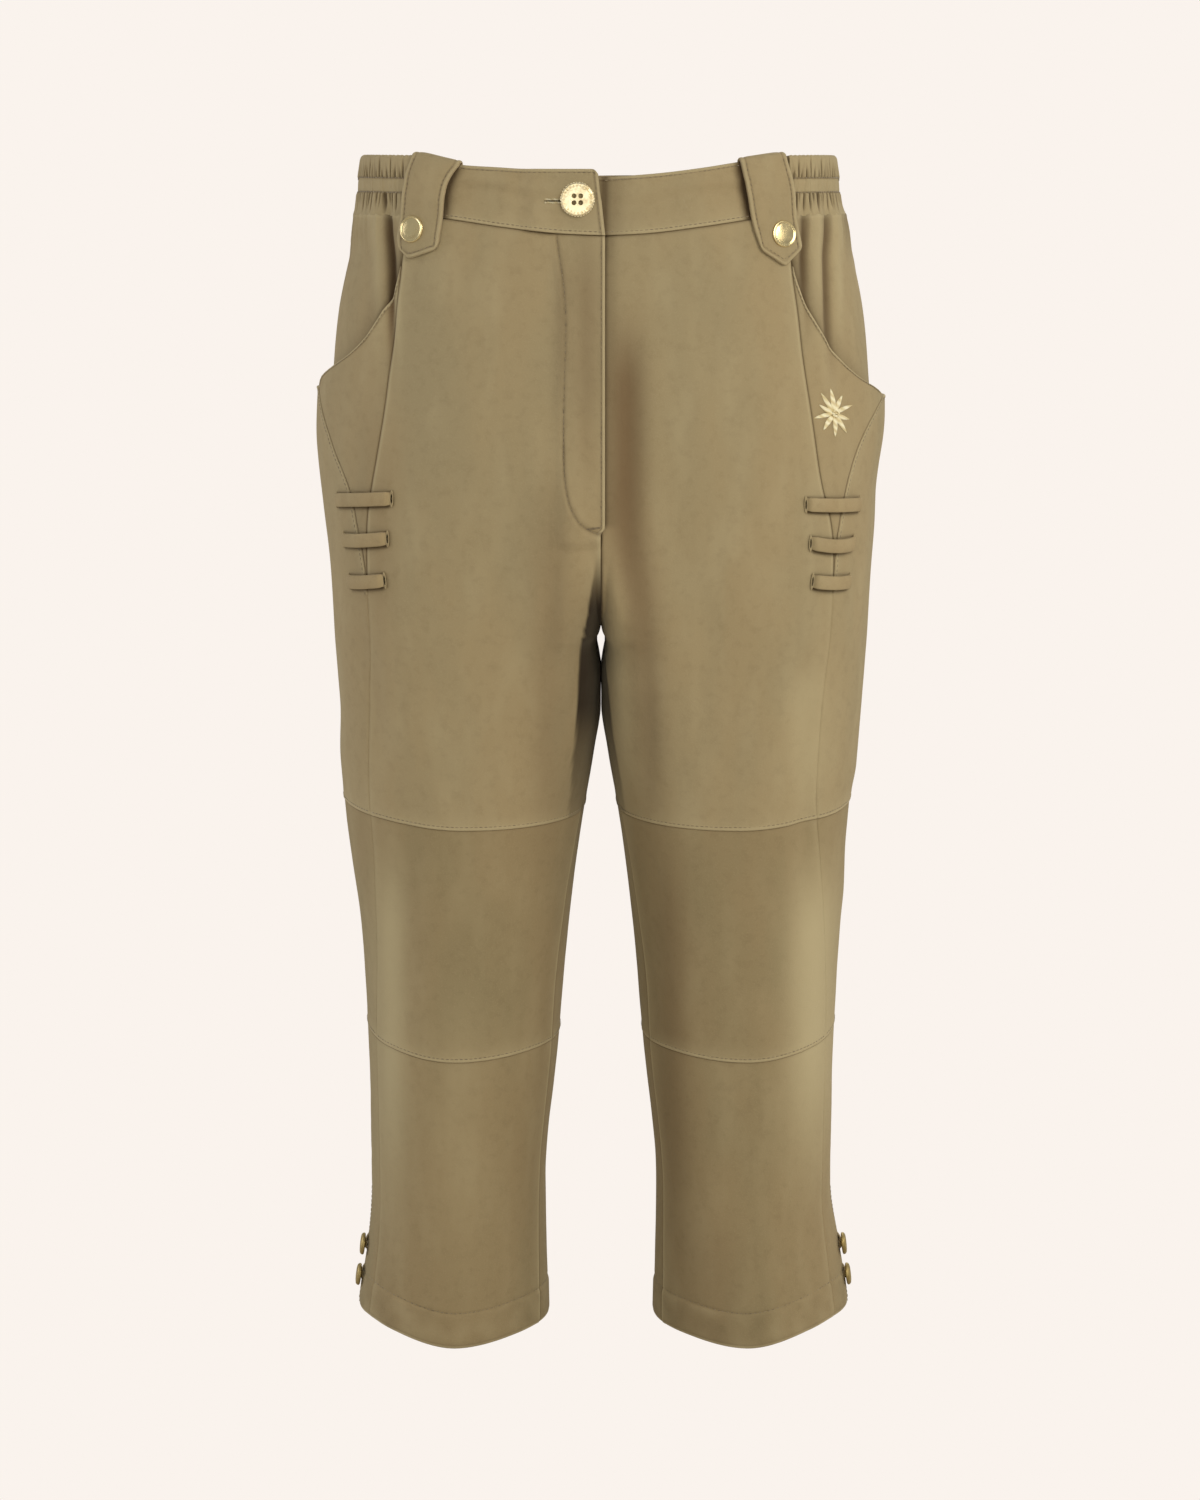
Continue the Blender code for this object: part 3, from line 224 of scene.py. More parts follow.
@dataclass
class GarmentForm:
    """The filled-out shape of the trousers: outlines from the waist to the hem, a rise and two legs."""

    crotch_z: float = -321.6
    crotch_y: float = 10.0
    front_rise_start: float = -236.0
    back_rise_start: float = -185.0
    rise_power: float = 3.0
    rise_softness: float = 0.3
    outer_depth: float = 0.35  # of the outermost line, as a share of the front's and back's y together
    leg_centred: float = 250.0
    middle_gap: float = 0.15
    fold_free_edge: float = 16.0
    front_fade: float = 14.0  # creases of the front are gone this close to the outermost line and inner leg
    arc_steps: int = 64
    shares: int = 320
    folds: tuple[Fold, ...] = ()
    # creases of the front alone, and brushed patches of its nap that also paint shade and light, whose runs are
    # the distance from the middle
    front_folds: tuple[Fold, ...] = ()
    brushed: tuple[Fold, ...] = ()
    # height, x of the outermost line, y of the front and back, x of the line furthest forward and back, and
    # how square the outside is: 2 is an ellipse, more is squarer, less is more pointed
    sections: tuple[tuple[float, ...], ...] = (
        (4, 163.0, -96, 88, 0, 2.15), (-50, 172.5, -100, 100, 5, 2.15), (-100, 183.0, -106, 114, 20, 2.15),
        (-160, 189.0, -111, 126, 42, 2.15), (-200, 192.0, -112, 130, 56, 2.15),
        (-250, 191.0, -110, 127, 72, 2.15), (-290, 188.5, -106, 118, 83, 2.15),
        (-322, 187.0, -102, 110, 92, 2.15), (-370, 184.0, -96, 100, 92, 2.15),
        (-454, 177.7, -87, 87, 94, 2.15), (-540, 170.5, -80, 81, 97, 2.15),
        (-621, 166.5, -75, 76, 99, 2.15), (-730, 165.5, -70, 72, 102, 2.05), (-834, 177.0, -69, 70, 106, 1.85),
    )
    # height, x of the inner leg, squareness of its front and back corners
    inner_leg: tuple[tuple[float, ...], ...] = (
        (-185, 0.3, 30.0, 7.0), (-236, 0.3, 30.0, 5.4), (-262, 0.3, 20.0, 5.0), (-286, 0.3, 12.0, 4.6),
        (-304, 0.3, 7.5, 4.3), (-322, 0.3, 4.8, 4.0), (-328, 2.8, 4.4, 3.9), (-333, 3.2, 4.2, 3.85),
        (-339, 2.6, 4.0, 3.8), (-346, 1.2, 3.8, 3.7), (-353, 0.3, 3.7, 3.6), (-382, 0.3, 3.2, 3.1),
        (-410, 4.2, 2.9, 2.8), (-454, 11.8, 2.45, 2.4), (-540, 23.0, 2.15, 2.15), (-621, 30.0, 2.1, 2.1),
        (-730, 40.0, 2.05, 2.05), (-834, 38.0, 1.85, 1.85),
    )
    # the panels turn in towards the middle inside this x
    groove_edge: tuple[tuple[float, float], ...] = (
        (0, 14), (-240, 14), (-322, 15), (-384, 18), (-454, 32), (-621, 52), (-840, 60),
    )

    def __post_init__(self) -> None:
        """Surveys the form above and below the crotch, closely where the rise curves under."""
        self.front_xs = np.arange(0.0, 200.0, 1.0)
        self.side, self.front, self.back, self.crest, self.square = self._columns(self.sections)
        self.inner, self.front_square, self.back_square = self._columns(self.inner_leg)
        near = np.array([0, 0.02, 0.05, 0.1, 0.2, 0.35, 0.6, 1, 1.6, 2.5, 4, 6])
        upper = np.concatenate([self.crotch_z + near, np.arange(self.crotch_z + 8, 14, 2.0)])
        lower = np.concatenate([self.crotch_z - MM - near, np.arange(self.crotch_z - 8, -846, -2.0)])
        self.above = self._survey(np.sort(upper), True)
        self.below = self._survey(np.sort(lower), False)
        self.levels = np.concatenate([self.below.levels, self.above.levels])
        outlines = [*self.below.outlines, *self.above.outlines]
        half = 2 * self.arc_steps + 1
        self.share_table = np.array([
            np.interp(self.front_xs, xs[:half], run[:half] / run[-1]) for xs, _, run, _ in outlines
        ])
        self.groove_front = self.line_at(Curve(*self.groove_edge))
        self.groove_back = self.line_at(Curve(*self.groove_edge), back=True)

    @staticmethod
    def _columns(rows: tuple[tuple[float, ...], ...]) -> list[Curve]:
        """A curve for each column of a table whose first column is the height."""
        return [Curve(*((row[0], row[k]) for row in rows)) for k in range(1, len(rows[0]))]

    def _rise(self, z: float, start: float, flat: float) -> float:
        """Depth of the rise seam, which curves under to the crotch."""
        t = min(max((start - z) / (start - self.crotch_z), 0.0), 1.0)
        return flat + (self.crotch_y - flat) * (1 - (1 - t**self.rise_power) ** (1 / self.rise_power))

    def _held(self, depths: Array, rise: float, flat: float) -> Array:
        """Depths of an outline, held softly from going further in than the rise seam.

        Args:
            depths: The y of each point.
            rise: The y of the rise seam at this height.
            flat: The y of the front or the back.

        Returns:
            The held y of each point.
        """
        sign = 1.0 if flat < self.crotch_y else -1.0
        soft = self.rise_softness * min(abs(rise - flat), 5.0)
        apart = sign * (depths - rise)
        return rise + sign * 0.5 * (apart - np.sqrt(apart**2 + soft**2))

    def _outline(self, z: float, upper: bool) -> tuple[Array, Array, Array, float]:
        """Half outline at a height: x, y, the run to each point, and the run to the outermost line.

        Args:
            z: The height.
            upper: Above the crotch, where the halves meet.

        Returns:
            The four, in that order.
        """
        side, front, back, crest, outside = (
            float(c(z)) for c in (self.side, self.front, self.back, self.crest, self.square)
        )
        outer_y = self.outer_depth * (front + back)
        turn = np.linspace(0, pi / 2, self.arc_steps + 1)
        corners = [
            (np.cos(turn).clip(0) ** (2 / square), np.sin(turn) ** (2 / square))
            for square in (outside, float(self.front_square(z)), float(self.back_square(z)))
        ]
        (low, high), (front_low, front_high), (back_low, back_high) = corners
        if upper:
            inner, middle = self.middle_gap, self.crotch_y
        else:
            inner = float(self.inner(z))
            share = min(1.0, (self.crotch_z - z) / self.leg_centred)
            middle = self.crotch_y * (1 - share) + 0.5 * (front + back) * share
        inner_front = middle + (front - middle) * front_high
        inner_back = middle + (back - middle) * back_low
        if upper:
            inner_front = self._held(inner_front, self._rise(z, self.front_rise_start, front), front)
            inner_back = self._held(inner_back, self._rise(z, self.back_rise_start, back), back)
        arcs = (
            (crest - (crest - inner) * front_low, inner_front),
            (crest + (side - crest) * high, outer_y + (front - outer_y) * low),
            (crest + (side - crest) * low, outer_y + (back - outer_y) * high),
            (crest - (crest - inner) * back_high, inner_back),
        )
        xs = np.concatenate([arc[0][bool(k):] for k, arc in enumerate(arcs)])
        ys = np.concatenate([arc[1][bool(k):] for k, arc in enumerate(arcs)])
        run = np.concatenate([[0], np.cumsum(np.hypot(np.diff(xs), np.diff(ys)))])
        return xs, ys, run, run[2 * self.arc_steps]

    @staticmethod
    def _distance_out(outline: tuple[Array, ...], places: Array, outward: Array) -> Array:
        """How far an outline lies outside places, along their own level directions.

        Args:
            outline: x and y of the outline's points, then anything.
            places: x and y of each place.
            outward: A unit direction for each.

        Returns:
            The distances, minus where the outline lies inside.
        """
        starts = np.stack(outline[:2], axis=1)[:-1]
        spans = np.stack([np.diff(outline[0]), np.diff(outline[1])], axis=1)
        away = places[:, None] - starts
        t = np.clip((away * spans).sum(2) / np.maximum((spans**2).sum(1), 1e-9), 0, 1)
        nearest = t[..., None] * spans - away
        best = np.argmin((nearest**2).sum(2), axis=1)
        return (nearest[np.arange(len(places)), best] * outward).sum(1)

    def _survey(self, levels: Array, upper: bool) -> Survey:
        """Reads the outline and the direction out of the form at each level.

        Args:
            levels: Heights, from the lowest up.
            upper: Above the crotch.

        Returns:
            The survey.
        """
        values, outlines = [], []
        for z in levels:
            outline = self._outline(z, upper)
            xs, ys, run, _ = outline
            at = np.linspace(0, run[-1], self.shares + 1)
            places = np.stack([np.interp(at, run, xs), np.interp(at, run, ys)], axis=1)
            along = np.gradient(places, axis=0)
            if not upper:
                along[0] = along[-1] = places[1] - places[-2]
            outward = np.stack([along[:, 1], -along[:, 0]], axis=1)
            outward /= np.linalg.norm(outward, axis=1)[:, None]
            up, down = z + 1.0, z - 1.0
            if upper:
                down = max(down, self.crotch_z)
            else:
                up = min(up, self.crotch_z - MM)
            out_up = self._distance_out(self._outline(up, upper), places, outward)
            out_down = self._distance_out(self._outline(down, upper), places, outward)
            normal = np.column_stack([outward, -(out_up - out_down) / (up - down)])
            normal /= np.linalg.norm(normal, axis=1)[:, None]
            values.append(np.column_stack([places, normal]))
            outlines.append(outline)
        length = np.array([o[2][-1] for o in outlines])
        return Survey(levels, np.array(values), length, np.array([o[3] for o in outlines]), outlines)

    def _pick(self, z: Array, above: Array, below: Array) -> Array:
        """Reads a length that the surveys hold for each level.

        Args:
            z: Heights.
            above: The length at each upper level.
            below: The length at each lower level.

        Returns:
            The length at each height.
        """
        z = np.asarray(z, float)
        high = np.interp(z, self.above.levels, above)
        return np.where(z >= self.crotch_z, high, np.interp(z, self.below.levels, below))

    def length(self, z: Array) -> Array:
        """Run of the half outline at heights."""
        return self._pick(z, self.above.length, self.below.length)

    def outermost(self, z: Array) -> Array:
        """Run to the outermost line at heights."""
        return self._pick(z, self.above.outermost, self.below.outermost)

    def line_at(self, x_of_z: Curve, back: bool = False) -> Line:
        """An upright line at an x, as a share at each height.

        Args:
            x_of_z: The x, as a function of height.
            back: On the back and not the front.

        Returns:
            A function from heights to shares.
        """
        half = 2 * self.arc_steps
        levels, shares = [], []
        for survey in (self.below, self.above):
            for z, (xs, _, run, _) in zip(survey.levels, survey.outlines):
                part = slice(half, None) if back else slice(None, half + 1)
                step = -1 if back else 1
                at = np.interp(float(x_of_z(z)), xs[part][::step], run[part][::step])
                levels.append(z)
                shares.append(at / run[-1])
        return lambda z: np.interp(z, levels, shares)

    def share_at(self, z: Array | float, x: Array | float) -> Array:
        """Share of the half outline of places on the front, at heights and distances from the middle.

        Args:
            z: Heights.
            x: Distances from the middle.

        Returns:
            The shares.
        """
        z, x = np.broadcast_arrays(np.asarray(z, float), np.asarray(x, float))
        i = np.clip(np.searchsorted(self.levels, z) - 1, 0, len(self.levels) - 2)
        t = np.clip((z - self.levels[i]) / (self.levels[i + 1] - self.levels[i]), 0, 1)
        j = np.clip(x.astype(int), 0, len(self.front_xs) - 2)
        u = np.clip(x - j, 0, 1)
        table = self.share_table
        low = table[i, j] * (1 - u) + table[i, j + 1] * u
        high = table[i + 1, j] * (1 - u) + table[i + 1, j + 1] * u
        return low * (1 - t) + high * t

    def _read(self, z: Array, share: Array) -> tuple[Array, Array]:
        """Point and unit normal of the plain form on the wearer's left.

        Args:
            z: Heights.
            share: Shares of the half outline.

        Returns:
            The points in mm, and the unit normals.
        """
        z, share = np.broadcast_arrays(np.asarray(z, float), np.asarray(share, float))
        upper = z >= self.crotch_z
        flip = np.where(upper & (share < 0), -1.0, 1.0)
        high = self.above.read(z, np.clip(abs(share), 0.0, 1.0))
        low = self.below.read(z, share % 1.0)
        values = np.where(upper[..., None], high, low)
        values[..., 0] *= flip
        values[..., 2] *= flip
        return np.stack([values[..., 0], values[..., 1], z], -1), values[..., 2:]

    def _on_front(self, z: Array, share: Array) -> Array:
        """1 on the front, fading to 0 before the outermost line and the inner leg.

        Args:
            z: Heights.
            share: Shares of the half outline.

        Returns:
            The factors, from 0 to 1.
        """
        length = self.length(z)
        run = np.where(z >= self.crotch_z, np.abs(share), share % 1.0) * length
        inner = np.where(z >= self.crotch_z, 1.0, ease(run / self.front_fade))
        return inner * ease((self.outermost(z) - run) / self.front_fade)

    def fold_height(self, side: Side, z: Array, share: Array, x: Array) -> Array:
        """How far the soft folds move the cloth out.

        Args:
            side: The wearer's right or left.
            z: Heights.
            share: Shares of the half outline.
            x: Distances from the middle.

        Returns:
            The distances out, in mm.
        """
        run = share * self.length(z) - self.outermost(z)
        total = sum((f.height(z, run) for f in self.folds if f.side is side), np.zeros(np.shape(run)))
        free = np.minimum(share - self.groove_front(z), self.groove_back(z) - share) * self.length(z)
        total = total * ease(free / self.fold_free_edge)
        front = sum((f.height(z, x) for f in self.front_folds if f.side is side), np.zeros(np.shape(run)))
        return total + front * self._on_front(z, share)

    def hollow(self, side: Side, z: Array, share: Array) -> Array:
        """How deep the cloth lies in its folds, in mm.

        Args:
            side: The wearer's right or left.
            z: Heights.
            share: Shares of the half outline.

        Returns:
            The depths, 0 where the cloth stands out.
        """
        z, share = np.broadcast_arrays(np.asarray(z, float), np.asarray(share, float))
        x = np.abs(self._read(z, share)[0][..., 0])
        return np.maximum(0.0, -self.fold_height(side, z, share, x))

    def brush(self, side: Side, z: Array, share: Array) -> Array:
        """How far brushed nap and painted shade darken the front (1), or brushed nap and painted light lighten
        it (-1).

        Args:
            side: The wearer's right or left.
            z: Heights.
            share: Shares of the half outline.

        Returns:
            Values from -1 to 1.
        """
        z, share = np.broadcast_arrays(np.asarray(z, float), np.asarray(share, float))
        x = np.abs(self._read(z, share)[0][..., 0])
        total = sum((f.height(z, x) for f in self.brushed if f.side is side), np.zeros(z.shape))
        return np.clip(total * self._on_front(z, share), -1.0, 1.0)

    def skin(self, side: Side, z: Array, share: Array, out: Array | float = 0.0) -> tuple[Array, Array]:
        """Places on the garment.

        Args:
            side: The wearer's right or left.
            z: Heights.
            share: Shares of the half outline; below 0 is across the centre front.
            out: How far out of the form, along its normal.

        Returns:
            The points in metres, and the unit normals.
        """
        points, normals = self._read(z, share)
        z, share = np.broadcast_arrays(np.asarray(z, float), np.asarray(share, float))
        moved = self.fold_height(side, z, share, np.abs(points[..., 0]))
        points = points + normals * (out + moved)[..., None]
        mirror = np.array([side.sign, 1.0, 1.0])
        return points * mirror * MM, normals * mirror


def folds_of(rows: dict[Side, tuple[tuple[float, ...], ...]]) -> tuple[Fold, ...]:
    """Folds from a table of numbers for each side."""
    return tuple(Fold(side, *numbers) for side, numbers_of in rows.items() for numbers in numbers_of)


# height and run at the top, height and run at the bottom, depth, width
FOLDS = folds_of({
    Side.RIGHT: (
        (-30, -12, -120, -12, -1.6, 6), (-30, 4, -100, 6, -1.4, 7), (-262, -242, -420, -201, 2.2, 14),
        (-310, -77, -440, -83, -1.8, 11), (-470, -78, -640, -61, -1.6, 12), (-270, 242, -330, 192, -3.0, 14),
        (-425, 110, -470, 178, -3.0, 12), (-390, 0, -540, 0, 3.2, 45),
        # the seat, the knees and the calves, behind
        (-120, 92, -300, 118, -1.6, 16), (-330, 60, -420, 96, 1.4, 12), (-450, 52, -520, 118, -1.6, 11),
        (-500, 150, -560, 72, -1.5, 10), (-560, 60, -700, 84, 1.3, 14),
    ),
    Side.LEFT: (
        (-30, -4, -110, -2, -1.8, 5), (-30, 8, -95, 10, 1.4, 7), (-262, -242, -420, -207, 2.0, 14),
        (-330, -105, -600, -65, -2.6, 12), (-270, 242, -330, 192, -3.0, 14), (-425, 110, -470, 178, -3.0, 12),
        (-430, 0, -520, 0, -2.6, 45), (-745, 0, -945, 0, 3.6, 45), (16, 0, -76, 0, -3.4, 42),
        (-130, 96, -310, 112, -1.6, 15), (-330, 66, -430, 90, 1.4, 12), (-455, 58, -515, 112, -1.6, 11),
        (-505, 144, -565, 80, -1.5, 10), (-570, 66, -720, 78, 1.3, 14),
    ),
})
# the same, with the distance from the middle for the run
FRONT_FOLDS = folds_of({
    Side.RIGHT: (
        (-214, 33, -470, 36, -2.2, 8), (-150, 15, -330, 18, 0.9, 8), (-100, 62, -330, 74, -1.0, 16),
        (-225, 17, -420, 20, 1.2, 8), (-440, 132, -660, 136, -1.2, 9), (-20, 144.5, -150, 140.0, -4.2, 3.2),
        (-24, 153, -140, 152, 1.6, 5),
    ),
    Side.LEFT: (
        (-118, 17.5, -345, 19, -4.0, 9), (-90, 34, -330, 38, 1.0, 9), (-268, 26, -470, 34, -2.4, 8),
        (-268, 11, -420, 15, 1.2, 7), (-300, 148, -470, 146, 1.2, 8), (-120, 92, -300, 80, -0.8, 16),
        (-20, 136.5, -120, 139, -2.8, 3.2), (-24, 147, -150, 149, 1.6, 5), (-20, 152.5, -170, 156, -3.0, 3.5),
        (-24, 160, -140, 163, 1.5, 5),
    ),
})
# brushed nap of the front, which also paints shade in valleys, creases and on the inner legs (+) and light on
# ridges, the outer knees and the left inner thigh (-): height and distance from the middle at the top and
# bottom, amount, width
NAP_AND_PAINTED_SHADING = folds_of({
    Side.RIGHT: (
        (-205, 36, -560, 38, 0.28, 13), (-60, 25, -190, 25, 0.3, 6), (-52, 9, -240, 10, 0.42, 9),
        (-150, 148, -420, 158, 0.2, 14), (-470, 148, -800, 148, -0.7, 12),
        (-22, 144.5, -165, 140.0, 1.1, 2.4), (-26, 152.5, -150, 150, -0.45, 4),
        (-60, 138.5, -150, 134, -0.4, 2.4),
        (-560, 98, -820, 104, -0.2, 18),
    ),
    Side.LEFT: (
        (-106, 16, -350, 17, 0.85, 12), (-250, 28, -500, 36, 0.42, 11), (-470, 46, -840, 54, 0.4, 11),
        (-262, 9, -560, 20, -0.5, 6),
        (-340, 140, -470, 145, -0.5, 16), (-480, 150, -760, 150, -0.9, 20), (-740, 78, -900, 84, 0.2, 24),
        (-22, 136.5, -130, 139, 0.75, 2.4), (-26, 145.5, -150, 148, -0.45, 4),
        (-22, 152.5, -170, 156, 0.7, 2.6),
        (-26, 161, -150, 164, -0.45, 4),
    ),
})


@dataclass
class SeamMap:
    """Where the seams run: upright ones as a share at a height, level ones as a height at a share."""

    form: GarmentForm
    inset_tip_z: float = -292.0

    def __post_init__(self) -> None:
        """Turns the tables into lines on the form."""
        form = self.form
        behind = ((0.31, 1.5), (0.5, 0.5), (0.6, -1.5), (0.69, -4), (0.77, -9), (0.88, -14), (1, -17.5))
        self.waist_top = {
            Side.RIGHT: Curve((0, -6.5), (0.11, -6.5), (0.17, -5.3), (0.225, -4), *behind),
            Side.LEFT: Curve((0, -11.7), (0.045, -10.7), (0.093, -9.1), (0.157, -6), (0.234, -1.5), *behind),
        }
        self.waist_seam = Curve((0, -50), (0.07, -48.5), (0.15, -44.5), (0.24, -39.5), (0.33, -37),
                                (0.5, -38), (0.69, -43), (0.88, -52), (1, -55.5))
        self.upper_knee = Curve((0, -451.5), (0.13, -453), (0.26, -455), (0.38, -450), (0.5, -446),
                                (0.75, -449), (1, -451.5))
        self.lower_knee = Curve((0, -616), (0.13, -618.5), (0.26, -622.5), (0.38, -616), (0.5, -609),
                                (0.75, -612), (1, -616))
        self.hem = Curve((0, -828), (0.13, -829.5), (0.24, -833.5), (0.36, -825), (0.43, -821.5),
                         (0.5, -821.5), (0.75, -829), (1, -828))
        below = ((-552, 157), (-608, 158.5), (-730, 157.5), (-840, 168))
        # inner seam of the inset and the front's side seam, outer seam of the V, and pocket's mouth: z, x
        inner = {
            Side.RIGHT: Curve((-30, 125.5), (-66, 133), (-80, 134.7), (-106, 138.2), (-137, 141.6),
                              (-173, 146.6), (-190, 149.6), (-221, 155.4), (-236, 157.8), (-250, 158.8),
                              (-272, 159), (-292, 158.8), (-320, 158), (-367, 160), (-431, 160),
                              (-484, 157.5), *below),
            Side.LEFT: Curve((-30, 120.5), (-66, 127), (-74, 127.8), (-101, 131.6), (-134, 135.4),
                             (-172, 141.7), (-224, 150.4), (-239, 154.6), (-252, 156.8), (-272, 157.8),
                             (-292, 157.5), (-320, 156), (-365, 151.5), (-431, 149), (-484, 153), *below),
        }
        outer = {
            Side.RIGHT: Curve((-157, 187.3), (-166, 186.6), (-198, 179.5), (-225, 170), (-251, 165),
                              (-272, 161), (-292, 158.8)),
            Side.LEFT: Curve((-163, 187.3), (-174, 182), (-189, 175.5), (-227, 165), (-243, 162),
                             (-263, 159.4), (-292, 157.5)),
        }
        mouth = {
            Side.RIGHT: Curve((-66, 133.6), (-83, 137.8), (-99, 145.8), (-116, 155.7), (-131, 168.1),
                              (-141, 178.5), (-148, 184.5), (-157, 187.3)),
            Side.LEFT: Curve((-66, 127.6), (-82, 131.8), (-97, 138.1), (-119, 150), (-140, 165.2),
                             (-150, 175.5), (-157, 183.5), (-163, 187.3)),
        }
        inseam = Curve((-321, 0), (-332, 16), (-350, 38), (-372, 50), (-452, 33), (-570, 35), (-626, 31),
                       (-722, 28), (-840, 28))
        side = Curve((10, 22), (-160, 22), (-322, 18), (-454, 10), (-621, 3), (-730, 0), (-840, 0))
        self.mouth_end = {Side.RIGHT: -157.0, Side.LEFT: -163.0}
        self.front_side = {each: form.line_at(inner[each]) for each in Side}
        self.inset_low = {each: form.line_at(outer[each]) for each in Side}
        self.mouth = {each: form.line_at(mouth[each]) for each in Side}
        self.centre_front: Line = lambda z: np.where(z < form.crotch_z, inseam(z) / form.length(z), 0.0)
        self.centre_back: Line = lambda z: 1.0 + self.centre_front(z)
        self.side_back: Line = lambda z: (form.outermost(z) + side(z)) / form.length(z)

    def inset_outer(self, side: Side) -> Line:
        """Outer edge of the inset: the pocket's mouth, then the outer seam of the V."""
        return lambda z: np.where(z > self.mouth_end[side], self.mouth[side](z), self.inset_low[side](z))

    def side_outer(self, side: Side) -> Line:
        """Near seam of the side panel: the V's outer seam, and the front's below its tip."""
        return lambda z: np.where(z > self.inset_tip_z, self.inset_low[side](z), self.front_side[side](z))

    def level(self, curve: Curve) -> Line:
        """A level seam, read across the centre front and round the inner leg too."""
        return lambda share: curve(np.where(share > 1.0, share % 1.0, abs(share)))


# ---------------------------------------------------------------- finishes


def linear(code: str) -> tuple[float, float, float, float]:
    """The linear colour of an sRGB hex value."""
    parts = [int(code[k:k + 2], 16) / 255 for k in (1, 3, 5)]
    return (*(((c + 0.055) / 1.055) ** 2.4 if c > 0.04045 else c / 12.92 for c in parts), 1.0)


def add_node(
    tree: bpy.types.NodeTree,
    kind: str,
    links: dict[str, bpy.types.NodeSocket] | None = None,
    **settings: object,
) -> bpy.types.Node:
    """Adds a node with its settings and links.

    Args:
        tree: The material's node tree.
        kind: Blender's name for the node.
        links: Output socket for each input, by the input's name or number as text.
        settings: Node properties, or input values where the name starts with in_.

    Returns:
        The node.
    """
    node = tree.nodes.new(kind)
    for name, value in settings.items():
        if name.startswith("in_"):
            key = name[3:]
            node.inputs[int(key) if key.isdigit() else key.replace("_", " ")].default_value = value
        else:
            setattr(node, name, value)
    for name, socket in (links or {}).items():
        tree.links.new(socket, node.inputs[int(name) if name.isdigit() else name])
    return node


def start_material(
    name: str,
) -> tuple[bpy.types.Material, bpy.types.NodeTree, bpy.types.Node, bpy.types.NodeSocket]:
    """Starts a material.

    Args:
        name: Its name.

    Returns:
        The material, its tree, its shader, and the place that its patterns are drawn by.
    """
    material = bpy.data.materials.new(name)
    material.use_nodes = True
    tree = material.node_tree
    place = add_node(tree, "ShaderNodeTexCoord").outputs["Object"]
    return material, tree, tree.nodes["Principled BSDF"], place


